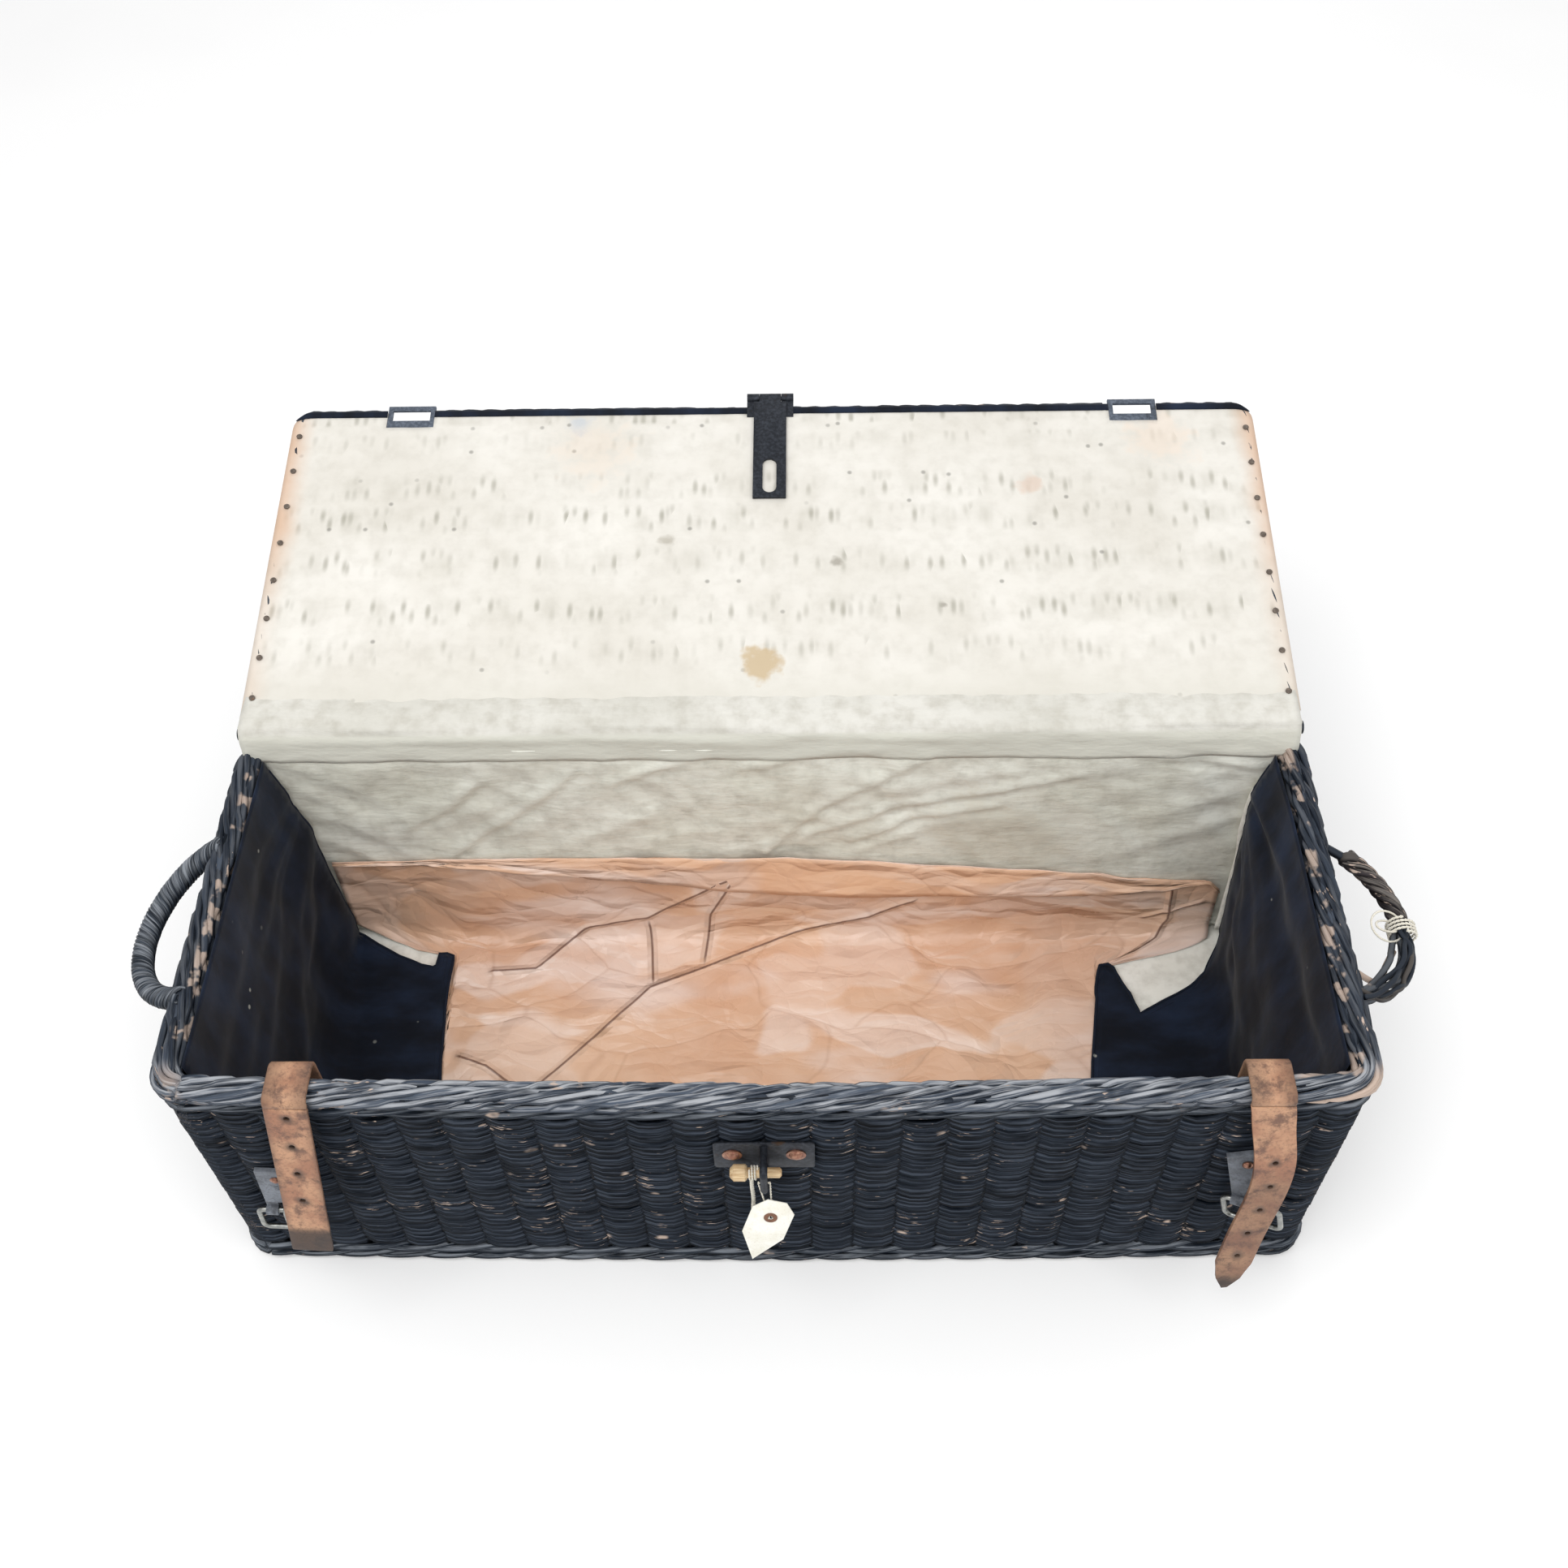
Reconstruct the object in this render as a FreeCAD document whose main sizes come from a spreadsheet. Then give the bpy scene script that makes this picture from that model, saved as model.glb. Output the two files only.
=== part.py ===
import FreeCAD, Part
import math
import os
import re
import Sketcher
from FreeCAD import Placement, Rotation, Vector

# Driving sizes of the trunk in millimetres and degrees; counts are whole numbers
sizes = {
    # Basket
    "trunk_length": 900.0,
    "trunk_depth": 346.0,
    "trunk_height": 290.0,
    "wall_thickness": 16.0,
    "wall_inset": 3.0,
    "foot_height": 26.0,
    "base_thickness": 19.0,
    "post_round": 7.0,
    "border_width": 24.0,
    "border_height": 22.0,
    "border_round": 4.0,
    "front_bow": 8.0,
    "groove_radius": 9.0,
    "groove_depth": 4.5,
    "base_rim": 14.0,
    "foot_bow": 5.0,
    # Clearance between pieces that lie on each other without being joined
    "seat_gap": 0.3,
    # One overrun for every cutting tool
    "overrun": 5.0,
    # Rope handles at the two ends
    "handle_rope": 18.0,
    "handle_span": 136.0,
    "handle_reach": 50.0,
    "handle_drop": 13.0,
    "handle_shift": -15.0,
    "handle_angle_left": 30.0,
    "handle_angle_right": 20.0,
    "tie_cord": 2.4,
    "tie_pitch": 3.3,
    "tie_turns": 4,
    "tie_gap": 0.5,
    # Lid and its hinge rod
    "lid_length": 888.0,
    "lid_depth": 348.0,
    "lid_thickness": 21.5,
    "lid_face_drop": 8.0,
    "lid_edge": 16.0,
    "open_tilt_angle": 10.5,
    "hinge_inset": 12.0,
    "hinge_lift": 9.5,
    "lid_rod_radius": 5.5,
    "hinge_wire": 3.5,
    "hinge_leg": 14.0,
    "hinge_margin": 16.0,
    "hinge_count": 4,
    "wrap_thickness": 9.0,
    "wrap_gap": 1.0,
    "lining_thickness": 1.2,
    "lining_margin": 6.0,
    # Tacks along the two ends of the lid lining
    "tack_radius": 2.6,
    "tack_height": 1.0,
    "tack_inset": 9.0,
    "tack_count": 8,
    # Iron strap loops in the front edge of the lid
    "loop_offset": 334.0,
    "loop_width": 44.0,
    "loop_depth": 26.0,
    "loop_thickness": 3.0,
    "loop_slot_width": 35.0,
    "loop_slot_depth": 12.0,
    "loop_bar": 5.0,
    # Hasp and its hinge at the front edge of the lid
    "hasp_width": 30.0,
    "hasp_reach": 118.0,
    "hasp_thickness": 2.5,
    "slot_width": 12.5,
    "slot_length": 38.5,
    "slot_start": 74.0,
    "barrel_radius": 4.5,
    "barrel_out": 5.2,
    "barrel_up": 6.5,
    "hasp_barrel": 20.0,
    "pin_radius": 2.0,
    "pin_clearance": 0.05,
    "leaf_width": 43.0,
    "leaf_depth": 18.0,
    "leaf_thickness": 1.7,
    # Staple plate, staple and rivets on the front wall
    "plate_width": 76.0,
    "plate_height": 40.0,
    "plate_thickness": 1.5,
    "plate_drop": 62.0,
    "plate_round": 3.0,
    "staple_wire": 6.0,
    "staple_reach": 20.5,
    "staple_span": 30.0,
    "staple_drop": 70.0,
    "staple_bend": 4.0,
    "staple_root": 9.0,
    "rivet_spread": 24.0,
    "rivet_drop": 80.0,
    "washer_radius": 7.5,
    "washer_thickness": 1.0,
    "rivet_radius": 5.5,
    "rivet_dome": 3.0,
    # Wooden peg through the staple
    "peg_head_radius": 6.5,
    "peg_head_length": 13.0,
    "peg_head_round": 3.0,
    "peg_radius": 4.0,
    "peg_shank": 26.0,
    "peg_tip": 1.5,
    "peg_left": 13.0,
    "peg_tie_cord": 1.6,
    "peg_tie_pitch": 2.1,
    "peg_tie_turns": 3,
    "peg_tie_gap": 0.2,
    "peg_cord": 3.5,
    "peg_cord_drop": 86.0,
    "peg_cord_sway": 1.6,
    "peg_cord_out": 4.0,
    # Paper tag on its string
    "tag_width": 33.0,
    "tag_above": 19.0,
    "tag_below": 52.0,
    "tag_top_width": 15.0,
    "tag_shoulder": 8.0,
    "tag_waist": 22.0,
    "tag_thickness": 0.8,
    "tag_hole": 2.2,
    "eyelet_radius": 5.2,
    "eyelet_thickness": 0.5,
    "tag_drop": 30.0,
    "tag_shift": 4.0,
    "tag_out": 12.5,
    "tag_lean_angle": 15.0,
    "tag_turn_angle": 17.0,
    "tag_string": 1.4,
    "tag_string_back": 5.5,
    "tag_string_spread": 1.2,
    "tag_string_clear": 2.0,
    # Leather straps over the front rim
    "strap_width": 32.0,
    "strap_thickness": 3.5,
    "strap_left": -342.0,
    "strap_right": 364.0,
    "strap_inside": 52.0,
    "tail_gap": 2.4,
    "tail_left": 172.0,
    "tail_right": 222.0,
    "tail_lean_angle": 12.0,
    "tail_slant_angle": 4.4,
    "tail_bend": 15.0,
    "tail_bend_drop": 78.0,
    "tail_tip": 4.0,
    "tail_point": 24.0,
    "tail_hole": 2.2,
    "hole_first_left": 12.0,
    "hole_pitch_left": 32.0,
    "hole_count_left": 4,
    "hole_first_right": 67.0,
    "hole_pitch_right": 29.0,
    "hole_count_right": 5,
    "strap_rivet_radius": 4.5,
    "strap_rivet_dome": 2.0,
    "strap_rivet_head": 3.6,
    "strap_washer": 0.5,
    "strap_rivet_drop": 40.0,
    "strap_rivet_spread": 8.0,
    # Chapes and buckles on the front wall
    "chape_width": 30.0,
    "chape_thickness": 4.0,
    "chape_length": 64.0,
    "chape_slot": 11.0,
    "chape_slot_height": 9.0,
    "chape_roll": 4.5,
    "chape_roll_out": 5.7,
    "chape_left": -380.0,
    "chape_drop_left": 116.0,
    "chape_angle_left": 5.0,
    "chape_out_left": 0.0,
    "chape_twist_angle_left": 0.0,
    "chape_right": 362.0,
    "chape_drop_right": 88.0,
    "chape_angle_right": -14.0,
    "chape_out_right": 9.0,
    "chape_twist_angle_right": 25.0,
    "buckle_wire": 4.4,
    "buckle_width": 44.0,
    "buckle_height": 32.0,
    "buckle_bend": 6.0,
    "prong_wire": 3.0,
    "prong_eye": 3.8,
    "prong_over": 3.0,
    # Cloth and paper inside
    "cloth_thickness": 1.5,
    "paper_thickness": 1.0,
    "hem_drop": 6.0,
    "fold_depth": 11.0,
    "flap_belly": 13.0,
    "flap_cove": 42.0,
    "flap_reach": 125.0,
    "flap_bump": 3.4,
    "wrinkle_depth": 2.6,
    "wrinkle_count": 8,
    "back_lean": 4.0,
    "paper_reach": 312.0,
    "paper_back_reach": 376.0,
    "paper_corner": 30.0,
    "paper_cove": 18.0,
    "paper_rise": 110.0,
    "paper_turnover": 26.0,
    "paper_turn_out": 5.0,
}

# Places worked out from the driving sizes
fits = {
    "half_length": "trunk_length / 2",
    "half_depth": "trunk_depth / 2",
    "wall_out_x": "half_length - wall_inset",
    "wall_out_y": "half_depth - wall_inset",
    "wall_in_x": "wall_out_x - wall_thickness",
    "wall_in_y": "wall_out_y - wall_thickness",
    "border_in_x": "half_length - border_width",
    "border_in_y": "half_depth - border_width",
    "border_low": "trunk_height - border_height",
    "wall_front": "wall_out_y + front_bow",
    "groove_out": "groove_radius - groove_depth",
    "groove_pitch": "trunk_length / 26.5",
    "border_ring": "(half_length * half_length + front_bow * front_bow) / (front_bow * 2)",
    "border_ring_in": "(border_in_x * border_in_x + front_bow * front_bow) / (front_bow * 2)",
    "wall_ring": "(wall_in_x * wall_in_x + front_bow * front_bow) / (front_bow * 2)",
    "foot_ring": "(half_length * half_length + foot_bow * foot_bow) / (foot_bow * 2)",
    "cloth_floor": "base_thickness + lining_thickness",
    "paper_low": "cloth_floor + seat_gap",
    "paper_top": "paper_low + paper_thickness",
    "flap_low": "paper_top + seat_gap",
    "hinge_y": "half_depth - hinge_inset",
    "hinge_z": "trunk_height + hinge_lift",
    "lid_half": "lid_length / 2",
    "lid_low": "lid_face_drop - lid_thickness",
    "lid_bed": "lid_face_drop - lining_thickness",
    "lid_start": "(hinge_inset + seat_gap + lid_low * sin(open_tilt_angle)) / cos(open_tilt_angle)",
    "lid_inner": "lid_depth - lid_edge",
    "lid_side": "lid_half - lid_edge",
    "hinge_ring": "lid_rod_radius + pin_clearance + hinge_wire / 2",
    "notch_start": "lid_depth - loop_depth",
    "barrel_y": "lid_depth + barrel_out",
    "hasp_low": "barrel_up + barrel_radius - hasp_thickness",
    "plate_face": "wall_front + plate_thickness",
    "staple_bar": "plate_face + staple_reach",
    "staple_high": "trunk_height - staple_drop",
    "staple_low": "staple_high - staple_span",
    "peg_z": "staple_low + staple_wire / 2 + seat_gap + peg_radius",
    "peg_y": "(plate_face + staple_bar - staple_wire / 2) / 2",
    "tag_y": "staple_bar - tag_string_back + tag_out",
    "tag_z": "staple_low - tag_drop",
    "inner_leg": "border_in_y - seat_gap * 2 - cloth_thickness - strap_thickness / 2",
    "strap_line": "seat_gap + strap_thickness / 2",
    "tail_axis_z": "trunk_height - border_round",
    "handle_z": "trunk_height - handle_drop",
    "handle_ring": "(handle_span / 2 * handle_span / 2 + handle_reach * handle_reach) / (handle_reach * 2)",
}

doc = FreeCAD.newDocument("wicker_trunk")
sheet = doc.addObject("Spreadsheet::Sheet", "Sizes")
for row, (alias, amount) in enumerate(sizes.items(), start=1):
    sheet.set(f"A{row}", alias)
    sheet.set(f"B{row}", str(amount))
    sheet.setAlias(f"B{row}", alias)
doc.recompute()

fit = doc.addObject("App::VarSet", "Fit")
nodes = {}


def linked(formula):
    """Put the sheet's or the worked-out set's name before each size in a formula."""
    def prefixed(match):
        word = match.group(0)
        if word in sizes:
            return "Sizes." + word
        if word in fits:
            return "Fit." + word
        return word
    return re.sub(r"[a-z][a-z_]*", prefixed, str(formula))


for place_name, place_formula in fits.items():
    fit.addProperty("App::PropertyFloat", place_name)
    fit.setExpression(place_name, linked(place_formula))
doc.recompute()


def size(name):
    """Value of a driving size or of a worked-out place."""
    if name in sizes:
        return float(sheet.get(name))
    return float(getattr(fit, name))


def number(formula):
    """Value of a formula of sums and products of sizes."""
    filled = re.sub(r"[a-z][a-z_]*", lambda match: f"({size(match.group(0)):.9f})", str(formula))
    return FreeCAD.Units.Quantity(filled).Value


def bind(thing, **formulas):
    """Bind properties of one object to formulas of sizes."""
    for prop, formula in formulas.items():
        thing.setExpression(prop.replace("__", "."), linked(formula))


def keep(thing, name):
    """Name a finished sub-part."""
    thing.Label = name
    nodes[name] = thing
    return thing


def block(name, x_ends, y_ends, z_ends):
    """Box between two formulas along each axis."""
    box = doc.addObject("Part::Box", name)
    bind(box, Length=f"({x_ends[1]}) - ({x_ends[0]})", Width=f"({y_ends[1]}) - ({y_ends[0]})",
         Height=f"({z_ends[1]}) - ({z_ends[0]})")
    bind(box, Placement__Base__x=x_ends[0], Placement__Base__y=y_ends[0], Placement__Base__z=z_ends[0])
    return box


def rod(name, radius, length, start, axis="z"):
    """Cylinder from a start point along one axis."""
    cylinder = doc.addObject("Part::Cylinder", name)
    bind(cylinder, Radius=radius, Height=length)
    turns = {"x": Rotation(Vector(0, 1, 0), 90), "y": Rotation(Vector(1, 0, 0), -90), "z": Rotation()}
    cylinder.Placement = Placement(Vector(), turns[axis])
    bind(cylinder, Placement__Base__x=start[0], Placement__Base__y=start[1], Placement__Base__z=start[2])
    return cylinder


def group(name, things):
    """Compound of several objects."""
    compound = doc.addObject("Part::Compound", name)
    compound.Links = things
    return compound


def fused(name, things):
    """Union of several objects."""
    union = doc.addObject("Part::MultiFuse", name)
    union.Shapes = things
    return union


def without(name, base, tools):
    """One object with several others cut away."""
    cut = doc.addObject("Part::Cut", name)
    cut.Base = base
    cut.Tool = tools[0] if len(tools) == 1 else group(name + "_tools", tools)
    return cut


def solid_from(name, shape):
    """Object whose shape is made with curves that follow the sizes."""
    feature = doc.addObject("Part::Feature", name)
    feature.Shape = shape
    return feature


def set_on_lid(thing):
    """Place a piece that is drawn from the hinge axis on the opened lid."""
    thing.Placement = Placement(Vector(), Rotation(Vector(1, 0, 0), 1))
    bind(thing, Placement__Base__y="hinge_y", Placement__Base__z="hinge_z",
         Placement__Rotation__Angle="open_tilt_angle")
    return thing


def new_body(name):
    return doc.addObject("PartDesign::Body", name)


def new_sketch(body, role, lift="0"):
    """Sketch on one of the body's own origin planes, lifted along its normal."""
    sketch = body.newObject("Sketcher::SketchObject", body.Name + "_sketch")
    flat = [item for item in body.Origin.OriginFeatures if item.Role == role][0]
    sketch.AttachmentSupport = [(flat, "")]
    sketch.MapMode = "FlatFace"
    bind(sketch, AttachmentOffset__Base__z=lift)
    return sketch


def pin_point(sketch, line, end, across, upward):
    """Hold one end of a line at two formulas from the sketch origin."""
    for kind, formula in (("DistanceX", across), ("DistanceY", upward)):
        index = sketch.addConstraint(Sketcher.Constraint(kind, -1, 1, line, end, number(formula)))
        sketch.setExpression(f"Constraints[{index}]", linked(formula))


def draw_outline(sketch, corners):
    """Closed outline of straight lines through corners given as pairs of formulas."""
    spots = [Vector(number(across), number(upward), 0) for across, upward in corners]
    first = sketch.GeometryCount
    count = len(corners)
    for index in range(count):
        sketch.addGeometry(Part.LineSegment(spots[index], spots[(index + 1) % count]), False)
    for index in range(count):
        after = first + (index + 1) % count
        sketch.addConstraint(Sketcher.Constraint("Coincident", first + index, 2, after, 1))
    for index, (across, upward) in enumerate(corners):
        pin_point(sketch, first + index, 1, across, upward)


def draw_bowed_outline(sketch, corners, rings):
    """Closed outline whose named sides are shallow arcs that bow toward the front.

    rings holds, by the number of a side, the radius of its arc.
    """
    spots = [Vector(number(across), number(upward), 0) for across, upward in corners]
    first = sketch.GeometryCount
    count = len(corners)
    for index in range(count):
        near, far = spots[index], spots[(index + 1) % count]
        if index in rings:
            left, right = sorted((near, far), key=lambda spot: spot.x)
            radius = number(rings[index])
            half_chord = (right.x - left.x) / 2
            centre = (left + right) * 0.5 + Vector(0, math.sqrt(radius ** 2 - half_chord ** 2), 0)
            ends = [math.atan2(spot.y - centre.y, spot.x - centre.x) for spot in (left, right)]
            circle = Part.Circle(centre, Vector(0, 0, 1), radius)
            sketch.addGeometry(Part.ArcOfCircle(circle, ends[0], ends[1]), False)
            line = first + index
            ring = sketch.addConstraint(Sketcher.Constraint("Radius", line, radius))
            sketch.setExpression(f"Constraints[{ring}]", linked(rings[index]))
            forward = near.x < far.x
            pin_point(sketch, line, 1 if forward else 2, *corners[index])
            pin_point(sketch, line, 2 if forward else 1, *corners[(index + 1) % count])
        else:
            sketch.addGeometry(Part.LineSegment(near, far), False)
            pin_point(sketch, first + index, 1, *corners[index])
            pin_point(sketch, first + index, 2, *corners[(index + 1) % count])


def draw_rectangle(sketch, left, right, low, high):
    draw_outline(sketch, [(left, low), (right, low), (right, high), (left, high)])


def draw_circle(sketch, across, upward, radius):
    """Circle with its centre and radius held by formulas."""
    centre = Vector(number(across), number(upward), 0)
    line = sketch.addGeometry(Part.Circle(centre, Vector(0, 0, 1), number(radius)), False)
    index = sketch.addConstraint(Sketcher.Constraint("Radius", line, number(radius)))
    sketch.setExpression(f"Constraints[{index}]", linked(radius))
    pin_point(sketch, line, 3, across, upward)


def add_pad(body, sketch, length, both_ways=False):
    pad = body.newObject("PartDesign::Pad", body.Name + "_pad")
    pad.Profile = sketch
    pad.Midplane = both_ways
    bind(pad, Length=length)
    return pad


def add_pocket(body, sketch):
    """Pocket right through the body, both ways."""
    pocket = body.newObject("PartDesign::Pocket", body.Name + "_pocket")
    pocket.Profile = sketch
    pocket.Type = "ThroughAll"
    pocket.Midplane = True
    return pocket


def round_edges(body, feature, direction, radius):
    """Fillet the edges of a feature that run along one direction, bowed ones too."""
    doc.recompute()
    names = []
    nearly_along = math.cos(math.radians(10))
    for index, edge in enumerate(feature.Shape.Edges, start=1):
        ends = [edge.tangentAt(edge.FirstParameter), edge.tangentAt(edge.LastParameter)]
        if all(abs(tangent.dot(direction)) > nearly_along for tangent in ends):
            names.append(f"Edge{index}")
    rounding = body.newObject("PartDesign::Fillet", body.Name + "_round")
    rounding.Base = (feature, names)
    bind(rounding, Radius=radius)
    return rounding


def arc_between(start, start_way, finish, finish_way):
    """Two arcs that leave and arrive along the given directions."""
    chord = finish.sub(start)
    ways = start_way + finish_way
    square = 2 - 2 * start_way.dot(finish_way)
    linear = 2 * chord.dot(ways)
    reach = chord.dot(chord)
    if square < 1e-9:
        handle = reach / linear
    else:
        handle = (math.sqrt(linear * linear + 4 * square * reach) - linear) / (2 * square)
    first = start + start_way * handle
    second = finish - finish_way * handle
    middle = (first + second) * 0.5
    edges = []
    for near, knee, far in ((start, first, middle), (middle, second, finish)):
        half_chord = far.distanceToPoint(near) / 2
        turn = math.acos(min(1.0, half_chord / knee.distanceToPoint(near)))
        foot = (near + far) * 0.5
        crown = foot + (knee - foot).normalize() * (half_chord * math.tan(turn / 2))
        edges.append(Part.Arc(near, crown, far).toShape())
    return edges


def tube_along(edges, radius):
    """Round tube in one unbroken sweep along joined edges."""
    path = Part.Wire(edges)
    start = edges[0].valueAt(edges[0].FirstParameter)
    way = edges[0].tangentAt(edges[0].FirstParameter)
    profile = Part.Wire([Part.Circle(start, way, radius).toShape()])
    return path.makePipeShell([profile], True, False)


def winding(label, radius, wire, pitch, turns):
    """Cord wound round the X axis in half turns, each a pair of arcs."""
    spots = []
    ways = []
    for half in range(int(turns) * 2 + 1):
        angle = half * math.pi
        spots.append(Vector(pitch * half / 2, radius * math.cos(angle), radius * math.sin(angle)))
        ways.append(Vector(pitch / (2 * math.pi * radius), -math.sin(angle), math.cos(angle)).normalize())
    edges = []
    for index in range(len(spots) - 1):
        edges += arc_between(spots[index], ways[index], spots[index + 1], ways[index + 1])
    samples = []
    for edge in edges:
        samples += edge.discretize(Number=9)[:-1]
    per_turn = len(samples) // int(turns)
    gaps = []
    for index, spot in enumerate(samples):
        for other in samples[index + per_turn // 2:]:
            gaps.append(spot.distanceToPoint(other))
    print(f"{label}: least gap between turns {min(gaps) - wire:.2f} mm")
    return tube_along(edges, wire / 2)


def cord_tube(label, route, diameter):
    """Tube on straight runs joined by tangent arcs, as large as the runs allow."""
    edges = []
    start = route[0]
    for index in range(1, len(route) - 1):
        spot = route[index]
        back = (route[index - 1] - spot)
        ahead = (route[index + 1] - spot)
        shorter = min(back.Length, ahead.Length)
        half_turn = (math.pi - back.getAngle(ahead)) / 2
        radius = 0.45 * shorter / math.tan(half_turn)
        print(f"{label}: bend {index} radius {radius:.1f} mm")
        enter = spot + back.normalize() * (0.45 * shorter)
        leave = spot + ahead.normalize() * (0.45 * shorter)
        foot = (enter + leave) * 0.5
        sagitta = radius * (1 - math.cos(half_turn))
        crown = foot + (spot - foot).normalize() * sagitta
        edges.append(Part.LineSegment(start, enter).toShape())
        edges.append(Part.Arc(enter, crown, leave).toShape())
        start = leave
    edges.append(Part.LineSegment(start, route[-1]).toShape())
    tube = tube_along(edges, diameter / 2)
    length = sum(edge.Length for edge in edges)
    section = math.pi * diameter * diameter / 4
    print(f"{label}: length {length:.1f} mm")
    print(f"{label}: volume over section times length {tube.Volume / section / length:.4f}")
    return tube


# Woven base, foot border, walls and corner posts

# Stakes of the weave, counted in pitches from the middle of a long wall and of an end wall
long_stakes = list(range(-12, 13))
short_stakes = [-3.5, -2.5, -1.5, -0.5, 0.5, 1.5, 2.5, 3.5]


def stake_grooves(wall, axis, stakes, centres):
    """Upright hollows at the stakes, between the swelling columns of the weave, on both faces."""
    hollows = []
    for index, step in enumerate(stakes):
        along = f"groove_pitch * {step}"
        for face, centre in zip(("outer", "inner"), centres(step)):
            spot = (along, centre) if axis == "x" else (centre, along)
            hollows.append(rod(f"{wall}_{face}_groove_{index}", "groove_radius",
                               "border_low - foot_height + overrun * 2",
                               (spot[0], spot[1], "foot_height - overrun")))
    return hollows


def front_hollow(step):
    """Centres of the two grooves at one stake of the bowed front."""
    share = f"(groove_pitch * {step} / wall_in_x)"
    bulge = f"front_bow * (1 - {share} * {share})"
    return (f"-(wall_out_y + {bulge} + groove_out)", f"-(wall_in_y + {bulge} - groove_out)")


def make_basket():
    base = block("base_slab", ("-wall_in_x", "wall_in_x"), ("-wall_in_y", "wall_in_y"),
                 ("0", "base_thickness"))
    # The underside has a hollow at each stake but the middle one, where the trunk stands flat
    base_hollows = [rod(f"base_groove_{index}", "groove_radius", "(wall_in_y - base_rim) * 2",
                        (f"groove_pitch * {step}", "base_rim - wall_in_y", "-groove_out"), "y")
                    for index, step in enumerate(long_stakes) if step]
    keep(without("base_panel", base, base_hollows), "base_panel")
    foot = new_body("foot_slab")
    sketch = new_sketch(foot, "XY_Plane")
    draw_bowed_outline(sketch, [("-half_length", "-half_depth"), ("half_length", "-half_depth"),
                                ("half_length", "half_depth"), ("-half_length",
                                                                "half_depth")], {0: "foot_ring"})
    add_pad(foot, sketch, "foot_height")
    hollow = block("foot_hollow", ("-wall_in_x", "wall_in_x"), ("-wall_in_y", "wall_in_y"),
                   ("-overrun", "foot_height + overrun"))
    keep(without("foot_border", foot, [hollow]), "foot_border")
    rise = ("foot_height", "border_low")
    long_run = ("-wall_in_x", "wall_in_x")
    back = block("back_slab", long_run, ("wall_in_y", "wall_out_y"), rise)
    back_hollows = stake_grooves("back", "x", long_stakes, lambda step: ("wall_out_y + groove_out",
                                                                         "wall_in_y - groove_out"))
    keep(without("wall_back", back, back_hollows), "wall_back")
    front = new_body("front_slab")
    sketch = new_sketch(front, "XY_Plane", "foot_height")
    draw_bowed_outline(sketch, [("-wall_in_x", "-wall_out_y"), ("wall_in_x", "-wall_out_y"),
                                ("wall_in_x", "-wall_in_y"), ("-wall_in_x", "-wall_in_y")],
                       {0: "wall_ring", 2: "wall_ring"})
    add_pad(front, sketch, "border_low - foot_height")
    holes = [rod("staple_hole_" + level, "staple_wire / 2", "staple_root + overrun",
                 ("0", "-wall_front - overrun", "staple_" + level), "y") for level in ("high", "low")]
    keep(without("wall_front", front, holes + stake_grooves("front", "x", long_stakes, front_hollow)),
         "wall_front")
    for side, ends in (("left", ("-wall_out_x", "-wall_in_x")), ("right", ("wall_in_x", "wall_out_x"))):
        slab = block(f"{side}_slab", ends, ("-wall_in_y", "wall_in_y"), rise)
        mark = "-" if side == "left" else ""
        centres = (f"{mark}(wall_out_x + groove_out)", f"{mark}(wall_in_x - groove_out)")
        hollows = stake_grooves(side, "y", short_stakes, lambda step: centres)
        keep(without("wall_" + side, slab, hollows), "wall_" + side)
        for end, reach in (("front", ("-wall_out_y", "-wall_in_y")), ("back", ("wall_in_y", "wall_out_y"))):
            name = f"corner_post_{end}_{side}"
            post = block(name + "_square", ends, reach, rise)
            centre_x = "wall_in_x + wall_thickness - post_round"
            centre_y = "wall_in_y + wall_thickness - post_round"
            mark_x = "" if side == "right" else "-"
            mark_y = "" if end == "back" else "-"
            corner = block(name + "_corner", ("0", "post_round + overrun"), ("0", "post_round + overrun"),
                           ("foot_height - overrun", "border_low + overrun"))
            if side == "left":
                bind(corner, Placement__Base__x=f"-({centre_x}) - post_round - overrun")
            else:
                bind(corner, Placement__Base__x=centre_x)
            if end == "front":
                bind(corner, Placement__Base__y=f"-({centre_y}) - post_round - overrun")
            else:
                bind(corner, Placement__Base__y=centre_y)
            stick = rod(name + "_stick", "post_round", "border_low - foot_height + overrun * 4",
                        (f"{mark_x}({centre_x})", f"{mark_y}({centre_y})", "foot_height - overrun * 2"))
            spare = without(name + "_spare", corner, [stick])
            keep(without(name, post, [spare]), name)


def make_borders():
    """Rolled top border, one bar for each side, with holes for the hinge loops at the back."""
    for name, left, right, low, high in (
            ("border_front", "-half_length", "half_length", "-half_depth", "-border_in_y"),
            ("border_back", "-half_length", "half_length", "border_in_y", "half_depth"),
            ("border_left", "-half_length", "-border_in_x", "-border_in_y", "border_in_y"),
            ("border_right", "border_in_x", "half_length", "-border_in_y", "border_in_y")):
        body = new_body(name if name != "border_back" else "border_back_bar")
        sketch = new_sketch(body, "XY_Plane", "border_low")
        if name == "border_front":
            draw_bowed_outline(sketch, [(left, low), (right, low), (right, high), ("border_in_x", high),
                                        ("-border_in_x", high), (left, high)],
                               {0: "border_ring", 3: "border_ring_in"})
        else:
            draw_rectangle(sketch, left, right, low, high)
        pad = add_pad(body, sketch, "border_height")
        along = Vector(1, 0, 0) if name in ("border_front", "border_back") else Vector(0, 1, 0)
        round_edges(body, pad, along, "border_round")
        if name == "border_back":
            keep(without("border_back", body, hinge_legs("hinge_hole", "hinge_wire / 2")), "border_back")
        else:
            keep(body, name)


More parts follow.
